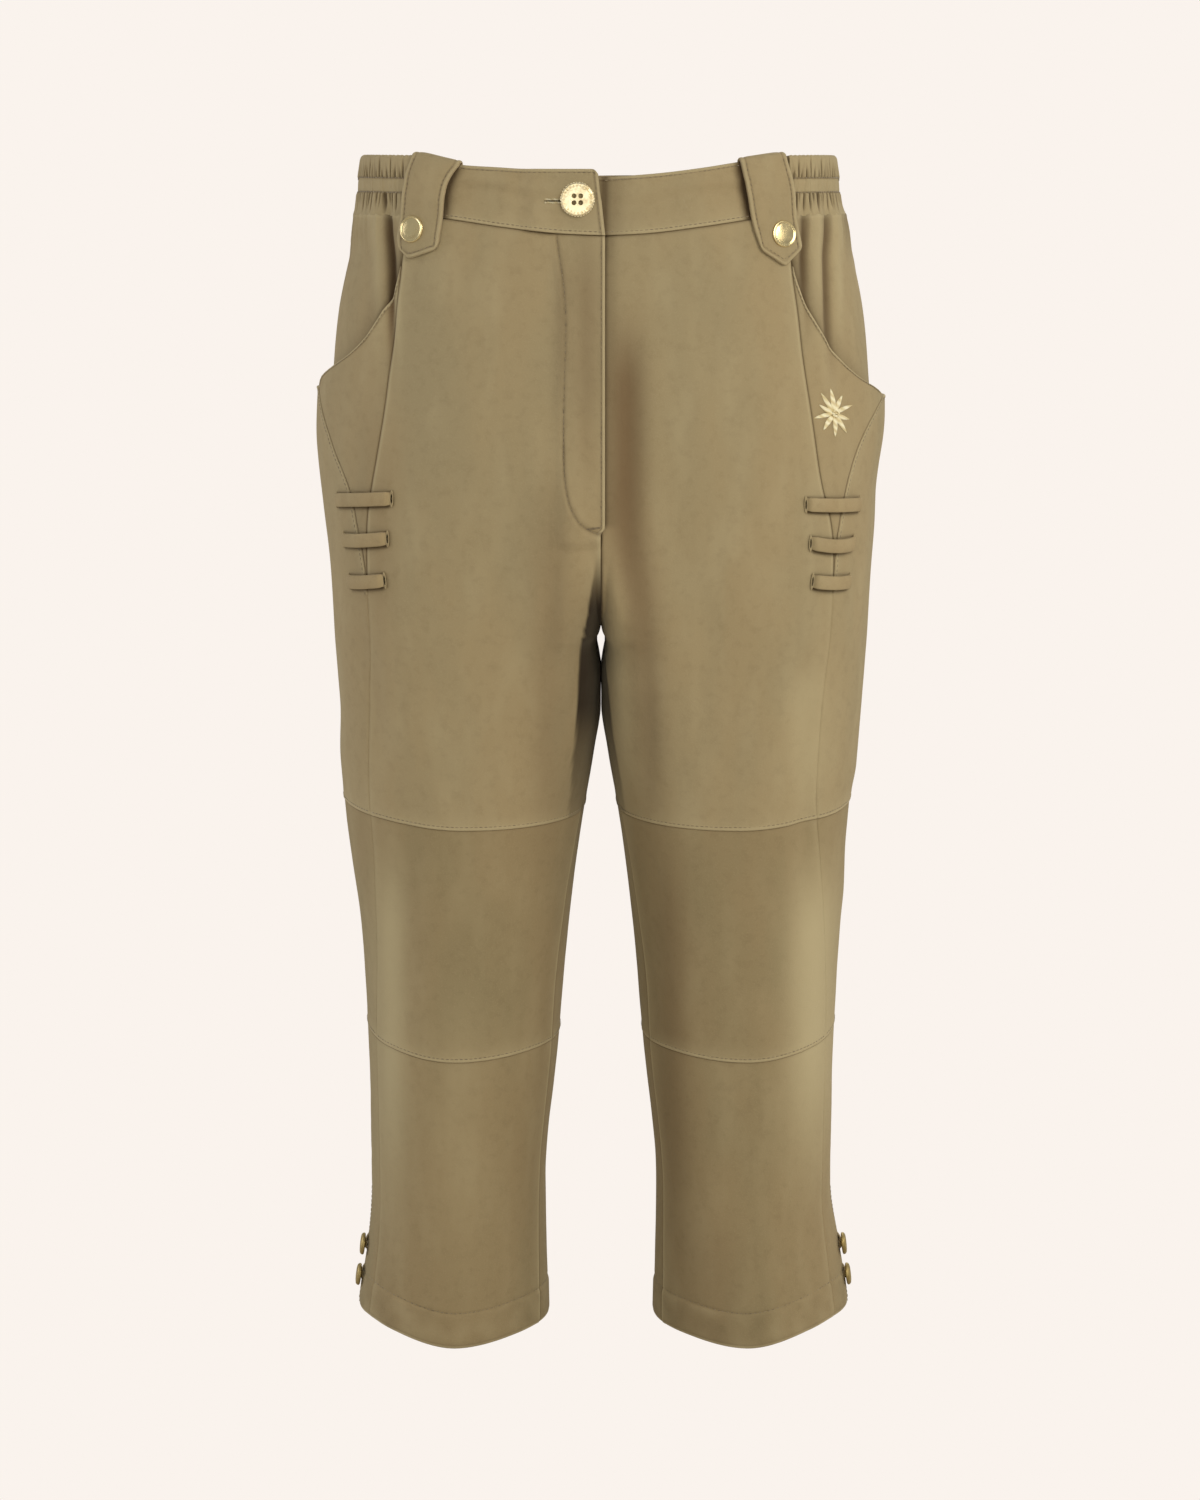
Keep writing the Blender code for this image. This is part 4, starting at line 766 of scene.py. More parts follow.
@dataclass(frozen=True)
class Nubuck:
    """Sueded calf leather: sanded to a short nap, which gives a dry, cloudy surface with soft light and dark
    patches where the nap is brushed, which also carry painted shade and light, paler wear along the edges with
    painted highlights on raised seams, painted shade where it dives into a seam and a painted shadow between
    the legs."""

    name: str = "khaki nubuck leather"
    tone: str = "#A08F6C"
    warm: str = "#A28B65"
    olive: str = "#95896A"
    pale: str = "#AE9F7C"
    brushed: str = "#715B40"  # nap that leans away from the light looks deep and reddish; this colour also paints shade in valleys, creases and on the inner legs
    flesh: str = "#A89274"  # its inside, the unsanded flesh side
    seam_shadow: str = "#4A3A26"
    # painted shadow between the legs, where little light reaches
    between_legs: str = "#22150A"
    # paler wear, with painted highlights on raised seams, welts and the elastic's puffs
    edge: str = "#B3A480"
    # light brushed nap, which also paints light on ridges, the outer knees and the left inner thigh
    light_nap: str = "#B9AB86"
    cloud_mm: float = 70.0  # brushed patches
    mottle_mm: float = 7.0  # finger marks in the nap
    grain_mm: float = 1.1  # fibres are 0.05 mm, and are drawn as coarse as the picture can show
    roughness: float = 0.92
    sheen: float = 0.18
    bump_mm: float = 0.22

    def build(self) -> bpy.types.Material:
        """Makes the material.

        Returns:
            The material.
        """
        material, tree, shader, place = start_material(self.name)
        # nap is brushed along the leg, so the clouds are three times as tall as they are wide
        brushed = add_node(tree, "ShaderNodeMapping", {"Vector": place}, in_Scale=(1.0, 1.0, 0.33))
        cloud = add_node(tree, "ShaderNodeTexNoise", {"Vector": brushed.outputs[0]},
                         in_Scale=1000 / self.cloud_mm, in_Detail=3.0, in_Roughness=0.55)
        streak = add_node(tree, "ShaderNodeTexNoise", {"Vector": brushed.outputs[0]},
                          in_Scale=1000 / (self.cloud_mm * 0.28), in_Detail=2.0, in_Roughness=0.5)
        mottle = add_node(tree, "ShaderNodeTexNoise", {"Vector": place},
                          in_Scale=1000 / self.mottle_mm, in_Detail=4.0, in_Roughness=0.6)
        grain = add_node(tree, "ShaderNodeTexNoise", {"Vector": place},
                         in_Scale=1000 / self.grain_mm, in_Detail=3.0, in_Roughness=0.7)

        def mixed(low: object, high: str, amount: bpy.types.NodeSocket) -> bpy.types.NodeSocket:
            """Mixes two colours by an amount.

            Args:
                low: Colour, or output that gives it, at 0.
                high: Colour at 1.
                amount: Output that gives the amount.

            Returns:
                Output with the mixed colour.
            """
            node = add_node(tree, "ShaderNodeMix", {"0": amount}, data_type="RGBA", in_7=linear(high))
            if isinstance(low, str):
                node.inputs[6].default_value = linear(low)
            else:
                tree.links.new(low, node.inputs[6])
            return node.outputs[2]

        def ranged(socket: bpy.types.NodeSocket, low: float, high: float, most: float) -> bpy.types.NodeSocket:
            """Stretches part of a pattern's range to 0 to most."""
            return add_node(tree, "ShaderNodeMapRange", {"Value": socket}, in_1=low, in_2=high,
                            in_3=0.0, in_4=most).outputs[0]

        def attribute(name: str) -> bpy.types.NodeSocket:
            """Reads one of the panels' own attributes."""
            return add_node(tree, "ShaderNodeAttribute", attribute_name=name).outputs["Fac"]

        colour = mixed(self.tone, self.warm, ranged(cloud.outputs[0], 0.45, 0.68, 0.22))
        colour = mixed(colour, self.olive, ranged(cloud.outputs[0], 0.52, 0.3, 0.55))
        colour = mixed(colour, self.pale, ranged(streak.outputs[0], 0.48, 0.74, 0.38))
        colour = mixed(colour, self.seam_shadow, ranged(mottle.outputs[0], 0.5, 0.75, 0.12))
        colour = mixed(colour, self.pale, ranged(grain.outputs[0], 0.52, 0.78, 0.4))
        # brushed nap with its painted shade and light, the inside, wear with painted highlights, painted seam
        # shade and the painted shadow between the legs
        colour = mixed(colour, self.brushed, attribute("dark_nap"))
        colour = mixed(colour, self.light_nap, attribute("light_nap"))
        colour = mixed(colour, self.flesh, attribute("inside"))
        colour = mixed(colour, self.edge, attribute("worn"))
        colour = mixed(colour, self.seam_shadow, attribute("shade"))
        colour = mixed(colour, self.between_legs, attribute("deep"))
        tree.links.new(colour, shader.inputs["Base Color"])
        rough = add_node(tree, "ShaderNodeMapRange", {"Value": mottle.outputs[0]}, in_1=0.3, in_2=0.7,
                         in_3=self.roughness - 0.07, in_4=min(self.roughness + 0.05, 1.0))
        tree.links.new(rough.outputs[0], shader.inputs["Roughness"])
        soft = add_node(tree, "ShaderNodeBump", {"Height": mottle.outputs[0]}, in_Strength=0.35,
                        in_Distance=self.bump_mm * 2.0 * MM)
        fine = add_node(tree, "ShaderNodeBump", {"Height": grain.outputs[0], "Normal": soft.outputs[0]},
                        in_Strength=0.7, in_Distance=self.bump_mm * MM)
        tree.links.new(fine.outputs[0], shader.inputs["Normal"])
        shader.inputs["IOR"].default_value = 1.4
        shader.inputs["Specular IOR Level"].default_value = 0.18
        shader.inputs["Sheen Weight"].default_value = self.sheen
        shader.inputs["Sheen Roughness"].default_value = 0.55
        shader.inputs["Sheen Tint"].default_value = linear("#E9DDBE")
        return material


@dataclass(frozen=True)
class Brass:
    """Pale brass, die-struck and lacquered: warm mirror-like glints broken by a slightly beaten surface."""

    name: str = "struck pale brass"
    tone: str = "#F0DCA6"
    dark: str = "#B89C62"
    beaten_mm: float = 1.6
    beaten_depth_mm: float = 0.14
    roughness: float = 0.34

    def build(self) -> bpy.types.Material:
        """Makes the material.

        Returns:
            The material.
        """
        material, tree, shader, place = start_material(self.name)
        beaten = add_node(tree, "ShaderNodeTexNoise", {"Vector": place}, in_Scale=1000 / self.beaten_mm,
                          in_Detail=2.0, in_Roughness=0.5)
        tarnish = add_node(tree, "ShaderNodeTexNoise", {"Vector": place}, in_Scale=1000 / 6.0, in_Detail=4.0)
        amount = add_node(tree, "ShaderNodeMapRange", {"Value": tarnish.outputs[0]}, in_1=0.5, in_2=0.8,
                          in_3=0.0, in_4=0.45)
        colour = add_node(tree, "ShaderNodeMix", {"0": amount.outputs[0]}, data_type="RGBA",
                          in_6=linear(self.tone), in_7=linear(self.dark))
        rough = add_node(tree, "ShaderNodeMapRange", {"Value": tarnish.outputs[0]}, in_1=0.3, in_2=0.7,
                         in_3=self.roughness - 0.08, in_4=self.roughness + 0.12)
        bump = add_node(tree, "ShaderNodeBump", {"Height": beaten.outputs[0]}, in_Strength=0.6,
                        in_Distance=self.beaten_depth_mm * MM)
        tree.links.new(colour.outputs[2], shader.inputs["Base Color"])
        tree.links.new(rough.outputs[0], shader.inputs["Roughness"])
        tree.links.new(bump.outputs[0], shader.inputs["Normal"])
        shader.inputs["Metallic"].default_value = 1.0
        return material


@dataclass(frozen=True)
class Thread:
    """Bonded polyester sewing thread, twisted from three plies: fine slanting bands along each stitch."""

    name: str
    tone: str
    light: str
    ply_mm: float = 0.45
    roughness: float = 0.55

    def build(self) -> bpy.types.Material:
        """Makes the material.

        Returns:
            The material.
        """
        material, tree, shader, place = start_material(self.name)
        turned = add_node(tree, "ShaderNodeMapping", {"Vector": place}, in_Rotation=(0.5, 0.7, 0.6))
        twist = add_node(tree, "ShaderNodeTexWave", {"Vector": turned.outputs[0]},
                         in_Scale=1000 / self.ply_mm / 20, in_Distortion=1.5, in_Detail=1.0)
        colour = add_node(tree, "ShaderNodeMix", {"0": twist.outputs["Fac"]}, data_type="RGBA",
                          in_6=linear(self.tone), in_7=linear(self.light))
        bump = add_node(tree, "ShaderNodeBump", {"Height": twist.outputs["Fac"]}, in_Strength=0.6,
                        in_Distance=0.06 * MM)
        tree.links.new(colour.outputs[2], shader.inputs["Base Color"])
        tree.links.new(bump.outputs[0], shader.inputs["Normal"])
        shader.inputs["Roughness"].default_value = self.roughness
        shader.inputs["Sheen Weight"].default_value = 0.3
        return material


@dataclass
class Finishes:
    """Every finish of the trousers, made once."""

    def __post_init__(self) -> None:
        """Makes the materials."""
        self.nubuck = Nubuck().build()
        # the knee pieces are cut across the hide, so that their nap looks darker
        self.nubuck_cross = Nubuck(name="khaki nubuck leather cut across", tone="#948361", warm="#977F5B",
                                   olive="#877B5B", pale="#A49471").build()
        self.strip = Nubuck(name="split leather strip", tone="#A18E6A", warm="#9C8864", pale="#B3A27D",
                            flesh="#A08B6A", roughness=0.8, sheen=0.1, bump_mm=0.12).build()
        self.brass = Brass(tone="#F3E5BE", roughness=0.38, beaten_depth_mm=0.34).build()
        self.smooth_brass = Brass(name="polished pale brass", roughness=0.2, beaten_depth_mm=0.02).build()
        # the vents' buttons are lacquered matt, and their darker olive tone paints the shade that the leg's
        # side lies in
        self.dull_brass = Brass(name="matt olive brass", tone="#AE9A66", dark="#77663E", roughness=0.5).build()
        # the thread's tone, darker than the leather's, also paints the shade of the stitch lines sunk into the
        # nap
        self.thread = Thread("khaki polyester thread", "#6F5F42", "#8A7957").build()
        self.silk = Thread("pale gold embroidery thread", "#D8C692", "#F3EAC6", ply_mm=0.5,
                           roughness=0.35).build()
        # the inside of a slit, where little light comes back
        self.dark = Nubuck(name="nubuck in deep shadow", tone="#2C2417", warm="#2A2116", pale="#3A3020",
                           flesh="#2C2417", sheen=0.0).build()
        self.tape = Thread("woven zip tape", "#6E5F42", "#7D6C4C", ply_mm=0.8, roughness=0.9).build()


# ---------------------------------------------------------------- cloth panels


class EdgeKind(Enum):
    """How a panel ends at a seam."""

    LAP = "lap"  # on top, turned under and stitched down
    UNDER = "under"  # runs on under its neighbour
    RIDGE = "ridge"  # the upper side of a pressed seam, a soft raised line
    SUNK = "sunk"  # the lower side of a pressed seam, tucked under the ridge
    PRESSED = "pressed"  # the same, pressed so flat that its shadow is faint
    SMOOTH = "smooth"  # the upper side of a seam that hardly shows
    CREASE = "crease"  # and its lower side
    FREE = "free"  # a folded edge
    WELT = "welt"  # a folded edge with a raised, stitched welt
    VALLEY = "valley"  # pressed open, so that both sides sink
    PLAIN = "plain"  # runs on as it is


TUCKED = (EdgeKind.UNDER, EdgeKind.SUNK, EdgeKind.PRESSED, EdgeKind.CREASE)
NOTHING = Curve((0, 0), (1, 0))

# by distance from the seam into the panel, in mm
PROFILES = {
    EdgeKind.LAP: Curve((0, -0.05), (0.35, 0.4), (0.9, 0.62), (1.6, 0.6), (2.3, 0.36), (3.2, 0.3), (5, 0.18),
                        (9, 0)),
    EdgeKind.UNDER: Curve((-3, -1.45), (-0.3, -1.3), (0.3, -1.0), (1, -0.5), (2.2, -0.15), (4.5, 0)),
    EdgeKind.RIDGE: Curve((0, -0.1), (0.3, 0.2), (0.9, 0.42), (1.8, 0.42), (3.2, 0.24), (6, 0.1), (11, 0)),
    EdgeKind.SUNK: Curve((-3, -1.45), (-0.5, -1.3), (0, -0.6), (0.45, -0.25), (1.2, -0.08), (2.4, 0)),
    EdgeKind.PRESSED: Curve((-3, -1.45), (-0.5, -1.3), (0, -0.5), (0.45, -0.2), (1.2, -0.06), (2.4, 0)),
    EdgeKind.SMOOTH: Curve((0, -0.08), (0.5, 0.1), (1.5, 0.16), (3.5, 0.1), (7, 0)),
    EdgeKind.CREASE: Curve((-3, -1.45), (-0.5, -1.3), (0, -0.2), (0.5, -0.08), (1.5, 0)),
    EdgeKind.FREE: Curve((0, -0.5), (0.35, -0.08), (0.9, 0.12), (1.6, 0.1), (2.3, -0.1), (3.2, 0.02), (5, 0)),
    EdgeKind.WELT: Curve((0, -0.5), (0.3, 0.15), (0.9, 0.6), (1.6, 0.6), (2.3, 0.12), (3.2, 0.06), (5, 0)),
    EdgeKind.VALLEY: Curve((0, -0.95), (0.4, -0.6), (1, -0.22), (2, 0.02), (3.5, 0.05), (6, 0)),
    EdgeKind.PLAIN: NOTHING,
}
# paler wear, with painted highlights on raised edges, by distance from the seam into the panel
WEAR_AND_HIGHLIGHT = {
    EdgeKind.LAP: Curve((0, 0.1), (0.4, 0.6), (1.3, 0.5), (2.2, 0.15), (5, 0.1), (10, 0)),
    EdgeKind.UNDER: NOTHING,
    EdgeKind.RIDGE: Curve((0, 0.1), (0.5, 0.75), (2.0, 0.7), (3.0, 0.35), (7, 0.15), (13, 0)),
    EdgeKind.SUNK: NOTHING,
    EdgeKind.PRESSED: NOTHING,
    EdgeKind.SMOOTH: Curve((0, 0.05), (0.8, 0.3), (3, 0.2), (8, 0)),
    EdgeKind.CREASE: NOTHING,
    EdgeKind.FREE: Curve((0, 0.5), (1.2, 0.6), (2.2, 0.15), (4, 0)),
    EdgeKind.WELT: Curve((0, 0.6), (0.6, 0.85), (1.8, 0.8), (2.4, 0.1), (4, 0)),
    EdgeKind.VALLEY: Curve((0, 0), (1.5, 0.0), (2.5, 0.15), (4, 0)),
    EdgeKind.PLAIN: NOTHING,
}
SHADE = {
    EdgeKind.LAP: Curve((0, 0.4), (0.35, 0.0), (1.7, 0), (2.3, 0.25), (3, 0.0)),
    EdgeKind.UNDER: Curve((-1, 0.9), (0.0, 0.85), (0.7, 0.55), (1.6, 0.18), (3.5, 0)),
    EdgeKind.RIDGE: Curve((0, 0.2), (0.3, 0.0), (1, 0)),
    EdgeKind.SUNK: Curve((-1, 0.9), (0.0, 0.85), (0.45, 0.6), (1.0, 0.25), (2, 0.05), (4, 0)),
    EdgeKind.PRESSED: Curve((-1, 0.7), (0.0, 0.55), (0.45, 0.26), (1.0, 0.08), (3, 0)),
    EdgeKind.SMOOTH: NOTHING,
    EdgeKind.CREASE: Curve((-1, 0.2), (0.0, 0.06), (0.6, 0)),
    EdgeKind.FREE: Curve((0, 0.1), (0.4, 0), (1.7, 0), (2.3, 0.2), (3, 0)),
    EdgeKind.WELT: Curve((0, 0.1), (0.4, 0), (1.9, 0), (2.4, 0.45), (3.0, 0.1), (5, 0)),
    EdgeKind.VALLEY: Curve((0, 0.85), (0.5, 0.5), (1.3, 0.15), (3, 0)),
    EdgeKind.PLAIN: NOTHING,
}


@dataclass(frozen=True)
class Edge:
    """How one edge of a panel ends, and its topstitching.

    Further kinds hold above the heights that they are given with, from the bottom up. The reach is how far
    the edge runs on past its seam, by height, where it isn't what its kind says.
    """

    kind: EdgeKind
    stitch: float | None = None
    above: tuple[tuple[float, EdgeKind], ...] = ()
    stitch_range: tuple[float, float] = (-900.0, 100.0)
    reach: Curve | None = None

    def read(self, table: dict[EdgeKind, Curve], away: Array, z: Array) -> Array:
        """Reads a table of profiles at distances from the edge.

        Args:
            table: A profile for each kind of edge.
            away: Distances from the seam into the panel.
            z: Heights, for an edge that changes its kind.

        Returns:
            The profile's values.
        """
        values = table[self.kind](away)
        for split_z, kind in self.above:
            values = values + (table[kind](away) - values) * ease((z - split_z + 2) / 4)
        return values


@dataclass
class Panel:
    """A cloth panel: a thin shell laid on the form between upright lines and level seams."""

    name: str
    side: Side
    form: GarmentForm
    lines: tuple[Line, ...]
    top: Line
    bottom: Line
    left_edge: Edge
    right_edge: Edge
    top_edge: Edge
    bottom_edge: Edge
    lift: Relief | None = None
    wall: float = 1.5
    extra_wall: Relief | None = None
    extra_rows: tuple[float, ...] = ()
    bottom_rows: tuple[float, ...] = ()
    spacing: float = 3.0
    tuck: float = 2.4
    crumple: float = 0.35
    pucker: float = 0.14
    inner_columns: tuple[float, ...] = ()
    extra_shade: Relief | None = None
    # painted shadow between the legs
    deep: Relief | None = None
    patchy: Relief | None = None
    near_edge: tuple[float, ...] = (0.0, 0.35, 0.8, 1.4, 2.0, 2.6, 3.4, 4.6)
    close_line: int | None = None  # number of an inner line with close columns on both sides

    def _reach(self, edge: Edge, z: Array | float = 0.0) -> Array | float:
        """How far an edge runs on past its seam at heights.

        Args:
            edge: The edge.
            z: Heights.

        Returns:
            The distances.
        """
        if edge.reach:
            return edge.reach(z)
        return self.tuck if edge.kind in TUCKED else 0.0

    def share_lines(self, z: Array) -> list[Array]:
        """Shares of the upright lines at heights, tucked under the neighbours where an edge runs on.

        Args:
            z: Heights.

        Returns:
            Shares for each line in turn.
        """
        at = [line(z) for line in self.lines]
        length = self.form.length(z)
        at[0] = at[0] - self._reach(self.left_edge, z) / length
        at[-1] = at[-1] + self._reach(self.right_edge, z) / length
        return at

    def _stations(self) -> Array:
        """Places of the columns: the number of a strip between lines, and the way across it.

        Returns:
            The stations, in rising order.
        """
        z = float(np.mean([self.top(np.array(MID_SHARE)), self.bottom(np.array(MID_SHARE))]))
        at = [float(a) * float(self.form.length(z)) for a in self.share_lines(np.array(z))]
        stations = []
        for k, (start, end) in enumerate(zip(at, at[1:])):
            width = max(end - start, 1.0)
            places = list(np.linspace(0, width, max(3, ceil(width / self.spacing)) + 1))
            if k in (0, self.close_line):
                places += [d for d in self.near_edge if d < width / 2]
            if k == 0:
                places += self.inner_columns
            if k + 1 in (len(at) - 1, self.close_line):
                places += [width - d for d in self.near_edge if d < width / 2]
            stations += [k + p / width for p in sorted(places)]
        return self._spread(np.array(stations), 0.3 / 40)

    @staticmethod
    def _spread(values: Array, least: float) -> Array:
        """Sorted values with near doubles left out, and both ends kept.

        Args:
            values: Any values.
            least: The smallest step that is kept.

        Returns:
            The kept values.
        """
        kept = [values.min()]
        for value in np.sort(values)[1:]:
            if value - kept[-1] > least:
                kept.append(value)
        kept[-1] = values.max()
        return np.array(kept)

    def _shares(self, z: Array, stations: Array) -> Array:
        """Share of each station at heights.

        Args:
            z: Heights.
            stations: Numbers of strips, with the way across.

        Returns:
            The shares.
        """
        at = self.share_lines(z)
        strip = np.clip(stations.astype(int), 0, len(at) - 2)
        t = stations - strip
        start = np.choose(strip, [np.broadcast_to(a, z.shape) for a in at[:-1]])
        end = np.choose(strip, [np.broadcast_to(a, z.shape) for a in at[1:]])
        return start + (end - start) * t

    def _grid(self) -> tuple[Array, Array]:
        """Heights and shares of every point of the panel, row by row from the top.

        Returns:
            The heights and the shares.
        """
        stations = self._stations()
        top_ref = float(self.top(np.array(MID_SHARE))) + self._reach(self.top_edge)
        bottom_ref = float(self.bottom(np.array(MID_SHARE))) - self._reach(self.bottom_edge)
        height = top_ref - bottom_ref
        rows = list(np.linspace(bottom_ref, top_ref, max(3, ceil(height / self.spacing)) + 1))
        rows += [top_ref - d for d in self.near_edge if d < height / 2]
        rows += [bottom_ref + d for d in (*self.near_edge, *self.bottom_rows) if d < height / 2]
        rows += [z for z in self.extra_rows if bottom_ref + 6 < z < top_ref - 6]
        levels = self._spread(np.array(rows), 0.3)[::-1][:, None]
        reach = min(60.0, 0.45 * height)
        near_top = ease(1 - (top_ref - levels) / reach)
        near_bottom = ease(1 - (levels - bottom_ref) / reach)
        columns = np.broadcast_to(stations, (len(levels), len(stations)))
        z = np.broadcast_to(levels, columns.shape).copy()
        for _ in range(SETTLING):
            share = self._shares(z, columns)
            top = self.top(share) + self._reach(self.top_edge)
            bottom = self.bottom(share) - self._reach(self.bottom_edge)
            z = levels + near_top * (top - top_ref) + near_bottom * (bottom - bottom_ref)
        return z, self._shares(z, columns)

    def _edges(self, z: Array, share: Array) -> list[tuple[Edge, Array]]:
        """Each edge with the distances from its seam.

        Args:
            z: Heights.
            share: Shares of the half outline.

        Returns:
            The left, right, top and bottom edges in turn.
        """
        length = self.form.length(z)
        return [
            (self.left_edge, (share - self.lines[0](z)) * length),
            (self.right_edge, (self.lines[-1](z) - share) * length),
            (self.top_edge, self.top(share) - z),
            (self.bottom_edge, z - self.bottom(share)),
        ]

    def _read(self, table: dict[EdgeKind, Curve], z: Array, share: Array) -> Array:
        """The strongest of the four edges' profiles, to either side of nothing."""
        values = np.stack([edge.read(table, away, z) for edge, away in self._edges(z, share)])
        return np.minimum(values.min(0), 0) + np.maximum(values.max(0), 0)

    def height(self, z: Array, share: Array) -> Array:
        """How far the cloth's face lies out of the form's soft folds.

        Args:
            z: Heights.
            share: Shares of the half outline.

        Returns:
            The distances out, in mm.
        """
        out = self._read(PROFILES, z, share)
        if self.lift:
            out = out + self.lift(z, share)
        return out

    def _waves(self, points: Array, z: Array, share: Array) -> Array:
        """Soft unevenness of the hide, and the puckers that stitching pulls into the edges.

        Args:
            points: The same places on the form, in metres.
            z: Heights.
            share: Shares of the half outline.

        Returns:
            The distances out, in mm.
        """
        soft = hide_noise(points, WAVES) + 0.5 * hide_noise(points, FINE_WAVES)
        pull = hide_noise(points, PUCKERS)
        near = np.max([
            bell(away - (edge.stitch or 0), 4.5) * (edge.stitch is not None)
            for edge, away in self._edges(z, share)
        ], axis=0)
        return self.crumple * soft + self.pucker * 2.2 * pull * near

    def edge_path(self, which: str, away: float, count: int = 400) -> tuple[Array, Array]:
        """Heights and shares along a line that keeps a distance from an edge.

        Args:
            which: The edge: left, right, top or bottom.
            away: Distance from the seam into the panel.
            count: How many points.

        Returns:
            Heights and shares.
        """
        t = np.linspace(0, 1, count)
        if which in ("left", "right"):
            line, turn = (self.lines[0], 1) if which == "left" else (self.lines[-1], -1)
            z = self._clear(line, t)
            return z, line(z) + turn * away / self.form.length(z)
        seam, turn = (self.top, -1) if which == "top" else (self.bottom, 1)
        middle = np.full(count, float(seam(np.array(MID_SHARE))))
        for _ in range(SETTLING):
            start, end = self.lines[0](middle), self.lines[-1](middle)
            inset = 1.5 / self.form.length(middle)
            share = start + inset + (end - start - 2 * inset) * t
            middle = seam(share) + turn * away
        return middle, share

    def _clear(self, line: Line, t: Array) -> Array:
        """Heights down an upright line from clear of the top seam to clear of the bottom one.

        Args:
            line: The upright line.
            t: Shares of the way down.

        Returns:
            The heights.
        """
        high, low = float(self.top(np.array(MID_SHARE))), float(self.bottom(np.array(MID_SHARE)))
        for _ in range(SETTLING):
            high = float(self.top(line(np.array(high))))
            low = float(self.bottom(line(np.array(low))))
        return high - 1.0 + (low - high + 2.0) * t

    def points(self) -> tuple[Array, Array, dict[str, Array]]:
        """Outer and inner points of the shell, and what its finish reads at each.

        Returns:
            The outer points, the inner points, and each attribute's values.
        """
        z, share = self._grid()
        plain, _ = self.form.skin(self.side, z, share)
        out = self.height(z, share) + self._waves(plain, z, share)
        wall = np.full(z.shape, self.wall)
        on_top = (EdgeKind.LAP, EdgeKind.RIDGE, EdgeKind.SMOOTH)
        laps = [away for edge, away in self._edges(z, share) if edge.kind in on_top]
        if laps:
            wall -= 0.35 * ease(1 - (np.min(laps, axis=0) - 3) / 3)
        if self.extra_wall:
            wall = wall + self.extra_wall(z, share)
        outer, _ = self.form.skin(self.side, z, share, out)
        inner, _ = self.form.skin(self.side, z, share, out - wall)
        worn, shade = self._read(WEAR_AND_HIGHLIGHT, z, share), self._read(SHADE, z, share)
        if self.extra_shade:
            shade = shade + self.extra_shade(z, share)
        if self.patchy:
            blotch = hide_noise(plain, BLOTCHES)
            worn = worn + self.patchy(z, share) * np.clip(blotch, 0, 1)
            shade = shade + 0.5 * self.patchy(z, share) * np.clip(-blotch, 0, 1)
        # brushed nap, which also paints shade in valleys and creases and light on ridges and the outer knees
        nap = self.form.brush(self.side, z, share)
        deep = self.deep(z, share) if self.deep else np.zeros(z.shape)
        marks = {"worn": worn, "shade": shade, "deep": deep, "dark_nap": nap, "light_nap": -nap}
        return outer, inner, {name: np.clip(values, 0, 1) for name, values in marks.items()}

    def build(self, material: bpy.types.Material) -> bpy.types.Object:
        """Makes the panel's shell, with the attributes that its finish reads.

        Args:
            material: The panel's finish.

        Returns:
            The panel.
        """
        outer, inner, marks = self.points()
        self.area = ShellMaker.area(outer)
        self.flat = ShellMaker.flat_size(outer)
        return ShellMaker.shell(self.name, outer, inner, marks, material, self.side is Side.RIGHT)


